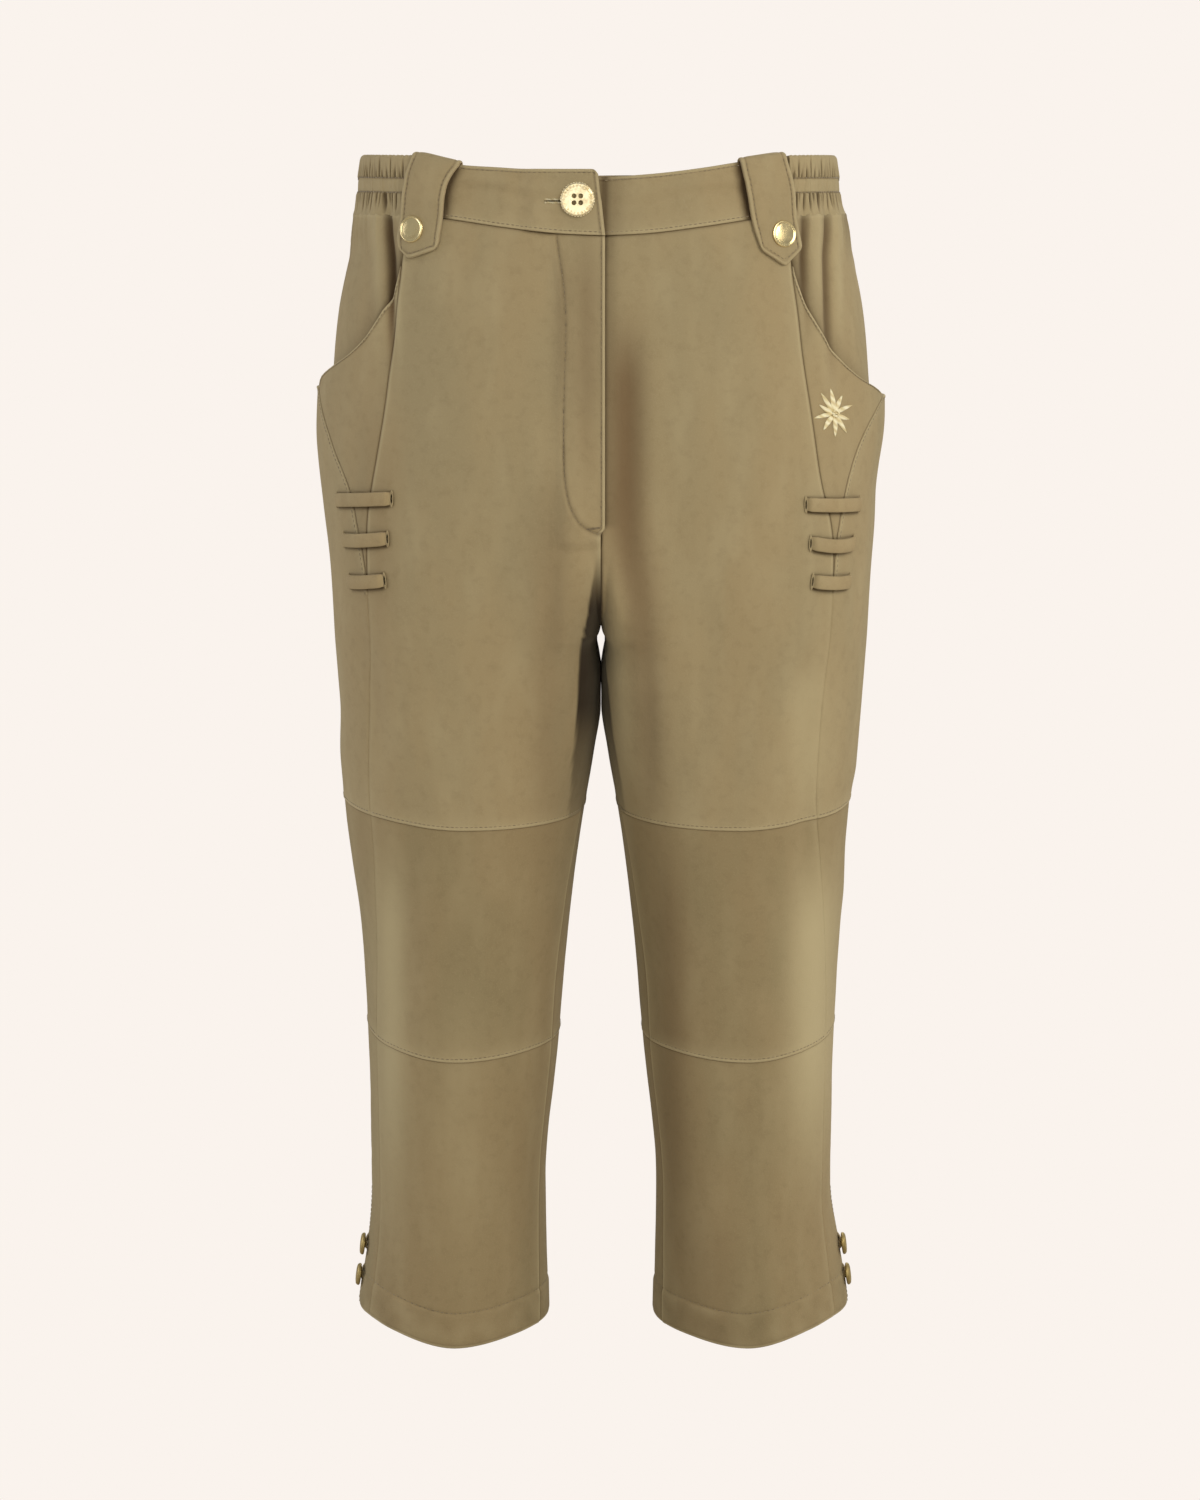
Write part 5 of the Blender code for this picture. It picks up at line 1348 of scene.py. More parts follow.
class ShellMaker:
    """Closes grids of points into cloth shells."""

    @staticmethod
    def _quads(rows: int, columns: int, offset: int, flip: bool) -> Array:
        """Quads of a grid of points numbered row by row.

        Args:
            rows: Rows of points.
            columns: Columns of points.
            offset: Number of the first point.
            flip: Turns the faces round.

        Returns:
            Four point numbers for each face.
        """
        a = (np.arange(rows - 1)[:, None] * columns + np.arange(columns - 1)).ravel() + offset
        quads = np.stack([a, a + columns, a + columns + 1, a + 1], axis=1)
        return quads[:, [0, 3, 2, 1]] if flip else quads

    @staticmethod
    def _kept(steps: Array, least: float = 2.4 * MM) -> Array:
        """Numbers of the rows or columns that the back keeps: it is plainer than the face.

        Args:
            steps: Distances from each row or column to the next.
            least: Smallest distance between two that are kept.

        Returns:
            The kept numbers, both ends among them.
        """
        kept, gone = [0], 0.0
        for number, step in enumerate(steps[:-1], start=1):
            gone += step
            if gone >= least:
                kept.append(number)
                gone = 0.0
        return np.array([*kept, len(steps)])

    @staticmethod
    def _rim(border: Array, columns: int, kept_rows: Array, kept_columns: Array, flip: bool) -> list[list[int]]:
        """Faces from the border of the face to the coarser border of the back.

        Args:
            border: Points round the face, in order.
            columns: Columns of the face.
            kept_rows: Rows that the back keeps.
            kept_columns: Columns that the back keeps.
            flip: Turns the faces round.

        Returns:
            Triangles, and a quad at each point of the back.
        """
        count = (int(border.max()) // columns + 1) * columns
        behind, last = [], count
        for point in border:
            row, column = divmod(int(point), columns)
            i, j = np.searchsorted(kept_rows, row), np.searchsorted(kept_columns, column)
            if kept_rows[i] == row and kept_columns[j] == column:
                last = count + int(i) * len(kept_columns) + int(j)
            behind.append(last)
        faces = []
        for a, b, c, d in zip(border.tolist(), np.roll(border, -1).tolist(), [*behind[1:], behind[0]], behind):
            face = [a, b, c, d] if c != d else [a, b, c]
            faces.append(face[::-1] if flip else face)
        return faces

    @classmethod
    def shell(
        cls,
        name: str,
        outer: Array,
        inner: Array,
        marks: dict[str, Array],
        material: bpy.types.Material,
        flip: bool,
    ) -> bpy.types.Object:
        """Makes a shell from an outer and an inner grid of points, closed by rims.

        Args:
            name: The piece's name.
            outer: Points of the face, row by row.
            inner: Points of the back, in the same order.
            marks: What the finish reads on the face, each 0 to 1: its wear with painted highlights, its painted
                shade in
            seams and between the legs, and how dark or light its brushed nap and painted shading make it.
            material: The finish.
            flip: Turns the faces round, for a mirrored grid.

        Returns:
            The piece.
        """
        rows, columns = outer.shape[:2]
        count = rows * columns
        kept_rows = cls._kept(np.linalg.norm(np.diff(outer[:, columns // 2], axis=0), axis=1))
        kept_columns = cls._kept(np.linalg.norm(np.diff(outer[rows // 2], axis=0), axis=1))
        inner = inner[kept_rows][:, kept_columns]
        border = np.concatenate([
            np.arange(columns), np.arange(1, rows) * columns + columns - 1,
            (rows - 1) * columns + np.arange(columns - 2, -1, -1), np.arange(rows - 2, 0, -1) * columns,
        ])
        faces = cls._quads(rows, columns, 0, flip).tolist()
        faces += cls._quads(len(kept_rows), len(kept_columns), count, not flip).tolist()
        faces += cls._rim(border, columns, kept_rows, kept_columns, flip)
        mesh = bpy.data.meshes.new(name)
        mesh.from_pydata(np.concatenate([outer.reshape(-1, 3), inner.reshape(-1, 3)]).tolist(), [], faces)
        zeros, ones = np.zeros((rows, columns)), np.ones(inner.shape[:2])
        layers = {**{key: (face, 0 * ones) for key, face in marks.items()}, "inside": (zeros, ones)}
        for key, (face, back) in layers.items():
            values = np.concatenate([face.ravel(), back.ravel()]).astype(np.float32)
            mesh.attributes.new(key, "FLOAT", "POINT").data.foreach_set("value", values)
        mesh.shade_smooth()
        mesh.set_sharp_from_angle(angle=radians(55))
        mesh.materials.append(material)
        return link_new(name, mesh)

    @staticmethod
    def area(outer: Array) -> float:
        """Area of a grid's face, in square metres."""
        down, across = np.diff(outer, axis=0)[:, :-1], np.diff(outer, axis=1)[:-1]
        return float(np.linalg.norm(np.cross(down, across), axis=2).sum())

    @staticmethod
    def flat_size(outer: Array) -> tuple[float, float]:
        """Greatest width and length of a grid laid out flat, in metres.

        Args:
            outer: Points of the face, row by row.

        Returns:
            The width and the length.
        """
        width = np.linalg.norm(np.diff(outer, axis=1), axis=2).sum(1).max()
        length = np.linalg.norm(np.diff(outer, axis=0), axis=2).sum(0).max()
        return float(width), float(length)


def declare_cloth(
    obj: bpy.types.Object,
    replaced: Sequence[str],
    outer_area: float,
    flat: tuple[float, float],
) -> None:
    """Places a cloth piece on the frame, and hides the CAD nodes that it stands for.

    Args:
        obj: The piece.
        replaced: CAD nodes that it stands for.
        outer_area: Not used.
        flat: Not used.
    """
    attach(obj, BODY)
    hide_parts(*replaced)


@dataclass
class Stitching:
    """Rows of lockstitches: one stitch is modelled, then copied along lines on the cloth."""

    form: GarmentForm
    length: float = 2.5
    pitch: float = 3.3
    width: float = 0.62
    proud: float = 0.1
    parts: list[tuple[Array, Array]] = field(default_factory=list)

    def __post_init__(self) -> None:
        """Models one stitch: a sphere drawn out into a bead that dips at its ends."""
        bpy.ops.object.select_all(action="DESELECT")
        bpy.ops.mesh.primitive_uv_sphere_add(segments=6, ring_count=4, radius=0.5 * self.width * MM,
                                             rotation=(0, radians(90), 0))
        bead = bpy.context.object
        bpy.ops.object.transform_apply(location=False, rotation=True, scale=False)
        resize((self.length / self.width, 1.0, 0.7))
        self.bead = np.array([v.co for v in bead.data.vertices])
        self.bead_faces = [list(p.vertices) for p in bead.data.polygons]
        bpy.data.objects.remove(bead)

    def sew(self, side: Side, z: Array, share: Array, out: Array, pitch: float | None = None) -> None:
        """Lays stitches along a line on the cloth.

        Args:
            side: The wearer's right or left.
            z: Heights along the line.
            share: Shares along the line.
            out: How far the cloth's face lies out of the form.
            pitch: Distance between stitches, where it isn't the usual one.
        """
        points, normals = self.form.skin(side, z, share, out + self.proud)
        self.sew_path(points, normals, pitch)

    def sew_path(self, points: Array, normals: Array, pitch: float | None = None, turn: bool = False) -> None:
        """Lays stitches along points with the cloth's normals.

        Args:
            points: The line, in metres.
            normals: Directions out of the cloth.
            pitch: Distance between stitches.
            turn: Lays each stitch across the line, as round a buttonhole.
        """
        pitch = (pitch or self.pitch) * MM
        run = np.concatenate([[0], np.cumsum(np.linalg.norm(np.diff(points, axis=0), axis=1))])
        if run[-1] < pitch:
            return
        centres = np.arange(0.5 * pitch, run[-1], pitch)
        at = np.stack([np.interp(centres, run, points[:, k]) for k in range(3)], 1)
        ahead = np.stack([np.interp(centres + 0.3 * pitch, run, points[:, k]) for k in range(3)], 1)
        behind = np.stack([np.interp(centres - 0.3 * pitch, run, points[:, k]) for k in range(3)], 1)
        out = np.stack([np.interp(centres, run, normals[:, k]) for k in range(3)], 1)
        out /= np.linalg.norm(out, axis=1)[:, None]
        along = ahead - behind
        along -= (along * out).sum(1)[:, None] * out
        along /= np.linalg.norm(along, axis=1)[:, None]
        across = np.cross(out, along)
        if turn:
            along, across = across, -along
        turns = np.stack([along, across, out], axis=2)
        self.parts.append((at, turns))

    def build(self, name: str, material: bpy.types.Material, scale: float = 1.0) -> bpy.types.Object:
        """Makes one piece of all the stitches laid so far, and forgets them.

        Args:
            name: The piece's name.
            material: The thread.
            scale: Size of the stitches.

        Returns:
            The piece.
        """
        at = np.concatenate([p[0] for p in self.parts])
        turns = np.concatenate([p[1] for p in self.parts])
        points = np.einsum("nij,vj->nvi", turns, self.bead * scale) + at[:, None]
        size = len(self.bead)
        faces = [[v + size * n for v in face] for n in range(len(at)) for face in self.bead_faces]
        mesh = bpy.data.meshes.new(name)
        mesh.from_pydata(points.reshape(-1, 3).tolist(), [], faces)
        mesh.shade_smooth()
        mesh.materials.append(material)
        obj = link_new(name, mesh)
        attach(obj, BODY)
        LOG.info("%s: %d stitches", name, len(at))
        self.parts = []
        return obj


PLAIN_EDGE = Edge(EdgeKind.PLAIN)
STRIP_ROWS = tuple(np.arange(-296.0, -216.0, 1.3))
FLY_FOOT_ROWS = tuple(np.arange(-252.0, -204.0, 1.2))
CROTCH_ROWS = (-297.0, -303.0, -308.0, -312.0, -315.0, -317.5, -319.3, -320.3, -320.9, -321.3, -321.6,
               -322.0, -322.8, -324.0, -326.0, -328.5, -331.0, -334.0, -337.5)


@dataclass
class PocketGape:
    """How far a pocket's edge stands off the form."""

    form: GarmentForm
    seams: SeamMap
    most: float = 7.5
    corner: float = 0.478  # share of the outline at the outer corner, where it is most
    stand_off: float = 0.2  # everywhere else
    end_z: dict[Side, float] = field(default_factory=lambda: {Side.RIGHT: -285.0, Side.LEFT: -232.0})

    def on(self, side: Side) -> Relief:
        """The gape on one side, by height and share.

        Args:
            side: The wearer's right or left.

        Returns:
            A function from heights and shares to distances out.
        """

        def at(z: Array, share: Array) -> Array:
            """The gape at heights and shares.

            Args:
                z: Heights.
                share: Shares of the half outline.

            Returns:
                The distances out, in mm.
            """
            inner, corner, seam = self.seams.front_side[side](z), self.corner, self.seams.side_back(z)
            over = np.where(share < corner, (share - inner) / (corner - inner),
                            (seam - share) / (seam - corner))
            end = self.end_z[side]
            down = (z - end) / (self.seams.mouth_end[side] - end)
            return self.stand_off + self.most * ease(over) * ease(down)

        return at


@dataclass
class Trousers:
    """The garment's cloth, panel by panel."""

    form: GarmentForm
    seams: SeamMap
    finishes: Finishes
    stitching: Stitching
    gape: PocketGape
    strip_shadow: Callable[[Side], Relief]
    spacing: float = 3.0
    fly_bottom_z: float = -246.0
    fly_lap: float = 2.6
    fly_underlap: float = 8.0
    fly_lift: float = 2.2
    fly_lift_width: float = 22.0
    fly_lift_fade: float = 13.0
    fly_tail: float = 14.0
    # distance from the middle and height of points on the J of stitches that holds the fly's facing
    fly_stitches: tuple[tuple[float, float], ...] = (
        (29.1, -51.5), (27.8, -62), (24.9, -80), (23.2, -108), (24.4, -150), (24.9, -185), (24.4, -205),
        (23.4, -216), (21.4, -226), (18.4, -233.5), (14.4, -239.5), (9.5, -243.6), (4.5, -246.0), (0.6, -247.2),
    )
    # how far from the middle the inner leg lies in shadow, by height, and how deep the shadow is
    inner_shadow: dict[Side, Curve] = field(default_factory=lambda: {
        Side.RIGHT: Curve((-470, 24), (-430, 21), (-397, 18.6), (-367, 16.6), (-344, 15.9), (-325, 14.5),
                          (-312, 11), (-290, 7.5), (-277, 5.2), (-262, 2.5)),
        Side.LEFT: Curve((-470, 20), (-430, 14), (-397, 9), (-367, 6), (-344, 3.5), (-330, 1.5), (-317, 0.5),
                         (-290, 0.5)),
    })
    shadow_depth: Curve = field(default_factory=lambda: Curve(
        (-480, 0), (-445, 0.3), (-400, 0.62), (-367, 0.88), (-310, 0.92), (-290, 0.75), (-258, 0)))
    # x of the upright line that runs along the J of stitches and on down the thigh
    stitch_line_x: tuple[tuple[float, float], ...] = (
        (-621, 66), (-454, 44), (-384, 30), (-322, 26), (-240, 24.5), (-185, 24.9), (-150, 24.4), (-108, 23.2),
        (-80, 24.9), (-62, 27.8), (-51.5, 29.1), (0, 31),
    )
    hip_recess: float = 2.3
    hip_hidden_end_z: float = -202.0
    inset_top_z: float = -71.5
    vent_top_z: float = -733.0
    vent_half_gap: float = 1.4
    hem_turn_up: float = 26.0
    hem_extra_wall: float = 1.1
    thighs: dict[Side, Panel] = field(default_factory=dict)

    def build(self) -> None:
        """Builds both sides."""
        for side in Side:
            self.front_thigh(side)
            self.hip(side)
            self.pocket(side)
            self.back_thigh(side)
            self.leg(side)
        self._fly_stitching()

    def _panel(
        self,
        name: str,
        side: Side,
        lines: tuple[Line, ...],
        top: Line,
        bottom: Line,
        edges: tuple[Edge, Edge, Edge, Edge],
        hangs_from: str,
        cross: bool = False,
        held: str = "hung",
        **more: object,
    ) -> Panel:
        """Builds one panel, puts it on the frame in place of its CAD node, and sews its topstitching.

        Args:
            name: The CAD node's name without its side.
            side: The wearer's right or left.
            lines: The upright lines, from near the centre front round to the back.
            top: Height of the top seam.
            bottom: Height of the bottom seam.
            edges: Left, right, top and bottom edges.
            hangs_from: Not used.
            cross: Cut across the hide, with a darker nap.
            held: Not used.
            more: Other fields of the panel.

        Returns:
            The panel.
        """
        settings = {"spacing": self.spacing, **more}
        panel = Panel(f"cloth_{name}_{side.value}", side, self.form, lines, top, bottom, *edges, **settings)
        obj = panel.build(self.finishes.nubuck_cross if cross else self.finishes.nubuck)
        declare_cloth(obj, [f"{name}_{side.value}"], panel.area, panel.flat)
        for which, edge in zip(("left", "right", "top", "bottom"), edges):
            if edge.stitch is None:
                continue
            z, share = panel.edge_path(which, edge.stitch)
            keep = (z > edge.stitch_range[0]) & (z < edge.stitch_range[1])
            z, share = z[keep], share[keep]
            if len(z) > 2:
                self.stitching.sew(side, z, share, panel.height(z, share))
        LOG.info("%s: %d points, %.4f m2", panel.name, len(obj.data.vertices), panel.area)
        return panel

    def _fly_near(self, z: Array) -> Array:
        """Near line of the right front: it laps over the fly, and below it runs down the centre and inseam.

        Args:
            z: Heights.

        Returns:
            The shares.
        """
        over = ease((z - self.fly_bottom_z + 1) / 4)
        lapped = -self.fly_lap * over / self.form.length(z)
        return np.where(z >= self.form.crotch_z, lapped, self.seams.centre_front(z))

    def _from_stitches(self, z: Array, share: Array) -> Array:
        """Distance from the J of stitches.

        Args:
            z: Heights.
            share: Shares of the half outline.

        Returns:
            The distances, with six tenths of the way up or down counted.
        """
        x, level = (np.array(values) for values in zip(*self.fly_stitches))
        at = np.linspace(0, len(x) - 1, 90)
        x, level = (np.interp(at, np.arange(len(x)), values) for values in (x, level))
        across, z = np.broadcast_arrays(share * self.form.length(z), z)
        near = np.full(z.shape, FAR)
        for step_x, step_z in zip(x, level):
            near = np.minimum(near, np.hypot(across - step_x, 0.6 * (z - step_z)))
        return near

    def _fly_height(self, side: Side) -> Relief:
        """How far the lap of the fly stands up, or the left front under it gives way.

        Args:
            side: The wearer's right or left.

        Returns:
            A function from heights and shares to distances out.
        """

        def lift(z: Array, share: Array) -> Array:
            """How far the cloth stands out at heights and shares.

            Args:
                z: Heights.
                share: Shares of the half outline.

            Returns:
                The distances out, in mm.
            """
            away = share * self.form.length(z)
            fade = ease((z - self.fly_bottom_z + self.fly_tail) / 9)
            if side is Side.RIGHT:
                over = ease((self.fly_lift_width + self.fly_lift_fade - away) / self.fly_lift_fade)
                # the facing's edge shows through along the J of stitches, and the zip's tape beside the lap
                near = self._from_stitches(z, share)
                pressed = 0.3 * bell(near - 2.6, 1.4) - 0.45 * bell(near, 0.9)
                return self.fly_lift * fade * over - 0.3 * fade * bell(away - 12.0, 5.0) + pressed
            gap = 0.5 + 1.0 * ease((z + 78) / 22)
            return -gap * fade * ease((10 - away) / 8)

        return lift

    def front_thigh(self, side: Side) -> None:
        """Front of the thigh; the right one laps over the fly.

        Args:
            side: The wearer's right or left.
        """
        right, crotch, fly = side is Side.RIGHT, self.form.crotch_z, self.fly_bottom_z
        if right:
            centre = Edge(EdgeKind.RIDGE, 2.5, ((fly, EdgeKind.WELT),), (fly, -52))
        else:
            # under the lap, then tucked under the right front down to just above the crotch
            centre = Edge(EdgeKind.RIDGE, None, ((crotch + 3, EdgeKind.SUNK), (fly, EdgeKind.PLAIN)),
                          reach=Curve((crotch + 4, 0), (crotch + 20, 2.2), (fly - 2, 2.2),
                                      (fly + 4, self.fly_underlap), (100, self.fly_underlap)))
        tip = self.seams.inset_tip_z

        def shadows(z: Array, share: Array) -> Array:
            """Shade beside the lap, along the stitches and under the strips.

            Args:
                z: Heights.
                share: Shares of the half outline.

            Returns:
                The shade, from 0 to 1.
            """
            away = share * self.form.length(z)
            under = self.strip_shadow(side)(z, share)
            if right:
                return 0.42 * bell(self._from_stitches(z, share), 0.9) + under
            close = 0.8 * bell(away - 1.2, 2.4) + 0.26 * bell(away - 5.0, 6.0)
            return close * ease((z - fly) / 6) + under

        def between(z: Array, share: Array) -> Array:
            """Painted shadow between the legs, with a wider painted shade on the right inner thigh.

            Args:
                z: Heights.
                share: Shares of the half outline.

            Returns:
                The shade, from 0 to 1.
            """
            length = self.form.length(z)
            inside = (self.form.share_at(z, self.inner_shadow[side](z)) - share) * length
            wide = ease((inside + 44) / 44) * ease((-262 - z) / 40) * ease((z + 640) / 120)
            return self.shadow_depth(z) * ease((inside + 1.5) / 3.0) + 0.13 * wide * right

        self.thighs[side] = self._panel(
            "front_thigh", side,
            (self._fly_near if right else self.seams.centre_front, self.form.groove_front,
             *((self.form.line_at(Curve(*self.stitch_line_x)),) if right else ()),
             self.seams.front_side[side]),
            self.seams.level(self.seams.waist_seam), self.seams.level(self.seams.upper_knee),
            (centre, Edge(EdgeKind.SMOOTH, None, ((tip + 8, EdgeKind.RIDGE),)), Edge(EdgeKind.SUNK),
             Edge(EdgeKind.RIDGE, SEAM_STITCH)),
            f"waistband_front_{side.value}", lift=self._fly_height(side),
            extra_rows=CROTCH_ROWS + STRIP_ROWS + (FLY_FOOT_ROWS if right else ()),
            close_line=2 if right else None, extra_shade=shadows, deep=between,
            inner_columns=tuple(np.arange(3.5, 26.0, 1.5)),
        )

    def _fly_stitching(self) -> None:
        """The J of stitches, and a bar tack across the fly's foot."""
        panel = self.thighs[Side.RIGHT]
        x, z = (np.array(values) for values in zip(*self.fly_stitches))
        run = np.concatenate([[0], np.cumsum(np.hypot(np.diff(x), np.diff(z)))])
        at = np.linspace(0, run[-1], 240)
        curve_x, curve_z = Curve(*zip(run, x)), Curve(*zip(run, z))
        heights, across = curve_z(at), curve_x(at)
        share = self.form.share_at(heights, across)
        self.stitching.sew(Side.RIGHT, heights, share, panel.height(heights, share) - 0.05, 2.7)
        across = np.linspace(1.0, 9.0, 20)
        heights = np.full(20, self.fly_bottom_z + 3.5) - 0.12 * across
        share = self.form.share_at(heights, across)
        for shift in (-0.35, 0.35):
            out = panel.height(heights, share) + 0.1
            self.stitching.sew(Side.RIGHT, heights + shift, share, out, 1.1)

    def hip(self, side: Side) -> None:
        """Panel behind the pocket, gathered into the elastic.

        Args:
            side: The wearer's right or left.
        """
        seam, mouth = self.seams.front_side[side], self.seams.mouth[side]

        def near(z: Array) -> Array:
            """The near seam, a little behind the front's."""
            return seam(z) + ease((-66 - z) / 8) / self.form.length(z)

        def lift(z: Array, share: Array) -> Array:
            """How far the cloth stands out, with the gathers under the elastic.

            Args:
                z: Heights.
                share: Shares of the half outline.

            Returns:
                The distances out, in mm.
            """
            run = share * self.form.length(z)
            gathers = np.sin(run * 2 * pi / 7.3) + 0.5 * np.sin(run * 2 * pi / 4.9 + 1.0)
            fade = ease((z + 78) / 38)
            return -self.hip_recess * ease((-46 - z) / 22) + 0.4 * gathers * fade

        def in_pocket(z: Array, share: Array) -> Array:
            """Shade behind the pocket's mouth, and in the creases.

            Args:
                z: Heights.
                share: Shares of the half outline.

            Returns:
                The shade, from 0 to 1.
            """
            behind = np.maximum((share - mouth(z)) * self.form.length(z), 0)
            behind_mouth = (0.55 * bell(behind, 3.5) + 0.3 * bell(behind, 16)) * ease((-56 - z) / 14)
            return behind_mouth + 0.19 * self.form.hollow(side, z, share)

        self._panel(
            "hip", side, (near, self.seams.side_back), self.seams.level(self.seams.waist_seam),
            lambda share: np.full(np.shape(share), self.hip_hidden_end_z),
            (Edge(EdgeKind.VALLEY), Edge(EdgeKind.SMOOTH), Edge(EdgeKind.RIDGE), Edge(EdgeKind.FREE)),
            f"waistband_elastic_{side.value}", lift=lift, held="gathered", extra_shade=in_pocket,
            spacing=0.6 * self.spacing,
        )

    def pocket(self, side: Side) -> None:
        """Inset with the pocket's mouth, and the side panel behind it.

        Args:
            side: The wearer's right or left.
        """
        gape, end, tip = self.gape.on(side), self.seams.mouth_end[side], self.seams.inset_tip_z
        at_mouth = Curve((end - 6, 1.2), (end, 0))
        self._panel(
            "pocket_inset", side, (self.seams.front_side[side], self.seams.inset_outer(side)),
            lambda share: np.full(np.shape(share), self.inset_top_z),
            lambda share: np.full(np.shape(share), tip + 3.0),
            (Edge(EdgeKind.SUNK), Edge(EdgeKind.SUNK, 2.0, ((end, EdgeKind.WELT),), (end, -74), at_mouth),
             Edge(EdgeKind.FREE), Edge(EdgeKind.VALLEY)),
            f"front_thigh_{side.value}", lift=gape, tuck=1.2, extra_rows=STRIP_ROWS,
            extra_shade=self.strip_shadow(side),
        )
        self._panel(
            "side_thigh", side, (self.seams.side_outer(side), self.seams.side_back),
            lambda share: np.full(np.shape(share), end), self.seams.level(self.seams.upper_knee),
            (Edge(EdgeKind.CREASE, 2.3, ((tip, EdgeKind.RIDGE),), (tip, end),
                  Curve((tip - 12, 2.4), (tip + 6, 0))),
             Edge(EdgeKind.SMOOTH), Edge(EdgeKind.WELT, 2.0), Edge(EdgeKind.RIDGE, SEAM_STITCH)),
            f"hip_{side.value}", lift=gape, extra_rows=STRIP_ROWS, extra_shade=self.strip_shadow(side),
        )

    def back_thigh(self, side: Side) -> None:
        """Seat and back of the thigh.

        Args:
            side: The wearer's right or left.
        """
        right = side is Side.RIGHT

        def touching(z: Array, share: Array) -> Array:
            """The inner thighs press together below the crotch."""
            inner = bell((share - 1.0) * self.form.length(z), 22)
            return 0.42 * inner * ease((-346 - z) / 8) * ease((z + 396) / 14)

        def between(z: Array, share: Array) -> Array:
            """Painted shadow between the legs."""
            return self.shadow_depth(z) * bell(np.minimum(0, (share - 1.0) * self.form.length(z) + 12), 9)

        self._panel(
            "back_thigh", side, (self.seams.side_back, self.form.groove_back, self.seams.centre_back),
            self.seams.level(self.seams.waist_seam), self.seams.level(self.seams.upper_knee),
            (Edge(EdgeKind.CREASE),
             Edge(EdgeKind.SUNK, 2.6 if right else None, ((self.form.crotch_z + 3, EdgeKind.VALLEY),),
                  (-290, 0), Curve((self.form.crotch_z - 26, 2.0), (self.form.crotch_z - 8, 0))),
             Edge(EdgeKind.SUNK), Edge(EdgeKind.RIDGE, SEAM_STITCH)),
            "waistband_back", lift=touching, extra_rows=CROTCH_ROWS, deep=between,
        )

    def leg(self, side: Side) -> None:
        """Knee and lower leg: front, side and back panels, a vent at the side and a turned-up hem.

        Args:
            side: The wearer's right or left.
        """
        seams = self.seams
        hem, upper, lower = (seams.level(c) for c in (seams.hem, seams.upper_knee, seams.lower_knee))

        def turned_up(z: Array, share: Array) -> Array:
            """Wall that the turned-up hem adds."""
            return self.hem_extra_wall * ease((hem(share) + self.hem_turn_up - z) / 2)

        def puffed(z: Array, share: Array) -> Array:
            """How far the hem swells out under its row of stitches.

            Args:
                z: Heights.
                share: Shares of the half outline.

            Returns:
                The distances out, in mm.
            """
            above = z - hem(share) - self.hem_turn_up
            return np.where(above < 0, 0.75 * ease(-above / 4) * ease((above + self.hem_turn_up) / 4), 0.0) \
                - 0.35 * bell(above, 0.9)

        def vent_line(turn: float) -> Line:
            """Side seam that opens into the vent, before it (-1) or behind it (1)."""
            return lambda z: seams.side_back(z) + turn * self.vent_half_gap * ease(
                (self.vent_top_z - z) / 14) / self.form.length(z)

        def mottled(z: Array, share: Array) -> Array:
            """How blotchy the hem is."""
            return 0.38 * ease((hem(share) + self.hem_turn_up - z) / 3)

        smooth, crease = Edge(EdgeKind.SMOOTH), Edge(EdgeKind.CREASE)
        ridge, sunk, pressed = Edge(EdgeKind.RIDGE), Edge(EdgeKind.SUNK), Edge(EdgeKind.PRESSED)
        front_side = seams.front_side[side]
        front = (seams.centre_front, self.form.groove_front, front_side)
        vent_range = (-900, self.vent_top_z)
        vent_back = Edge(EdgeKind.FREE, 2.0, ((self.vent_top_z, EdgeKind.CREASE),), vent_range,
                         Curve((self.vent_top_z - 4, 0), (self.vent_top_z + 4, 2.4)))
        vent_front = Edge(EdgeKind.FREE, 2.0, ((self.vent_top_z, EdgeKind.SMOOTH),), vent_range)
        parts = (
            ("front", front, front, (ridge, smooth), (ridge, smooth)),
            ("side", (front_side, seams.side_back), (front_side, vent_line(-1)), (crease, smooth),
             (crease, vent_front)),
            ("back", (seams.side_back, self.form.groove_back, seams.centre_back),
             (vent_line(1), self.form.groove_back, seams.centre_back), (crease, sunk), (vent_back, sunk)),
        )
        for place, knee_lines, shin_lines, knee_edges, shin_edges in parts:
            self._panel(f"knee_{place}", side, knee_lines, upper, lower,
                        (*knee_edges, pressed, Edge(EdgeKind.RIDGE, SEAM_STITCH)),
                        f"{place}_thigh_{side.value}", cross=True)
            shin = self._panel(
                f"shin_{place}", side, shin_lines, lower, hem,
                (*shin_edges, pressed, Edge(EdgeKind.FREE)), f"knee_{place}_{side.value}",
                lift=puffed, extra_wall=turned_up, cross=True, patchy=mottled,
                bottom_rows=tuple(self.hem_turn_up + d for d in (-3, -1.8, -0.9, -0.3, 0.3, 0.9, 1.8)),
            )
            z, share = shin.edge_path("bottom", self.hem_turn_up)
            self.stitching.sew(side, z, share, shin.height(z, share))


# ---------------------------------------------------------------- waistband


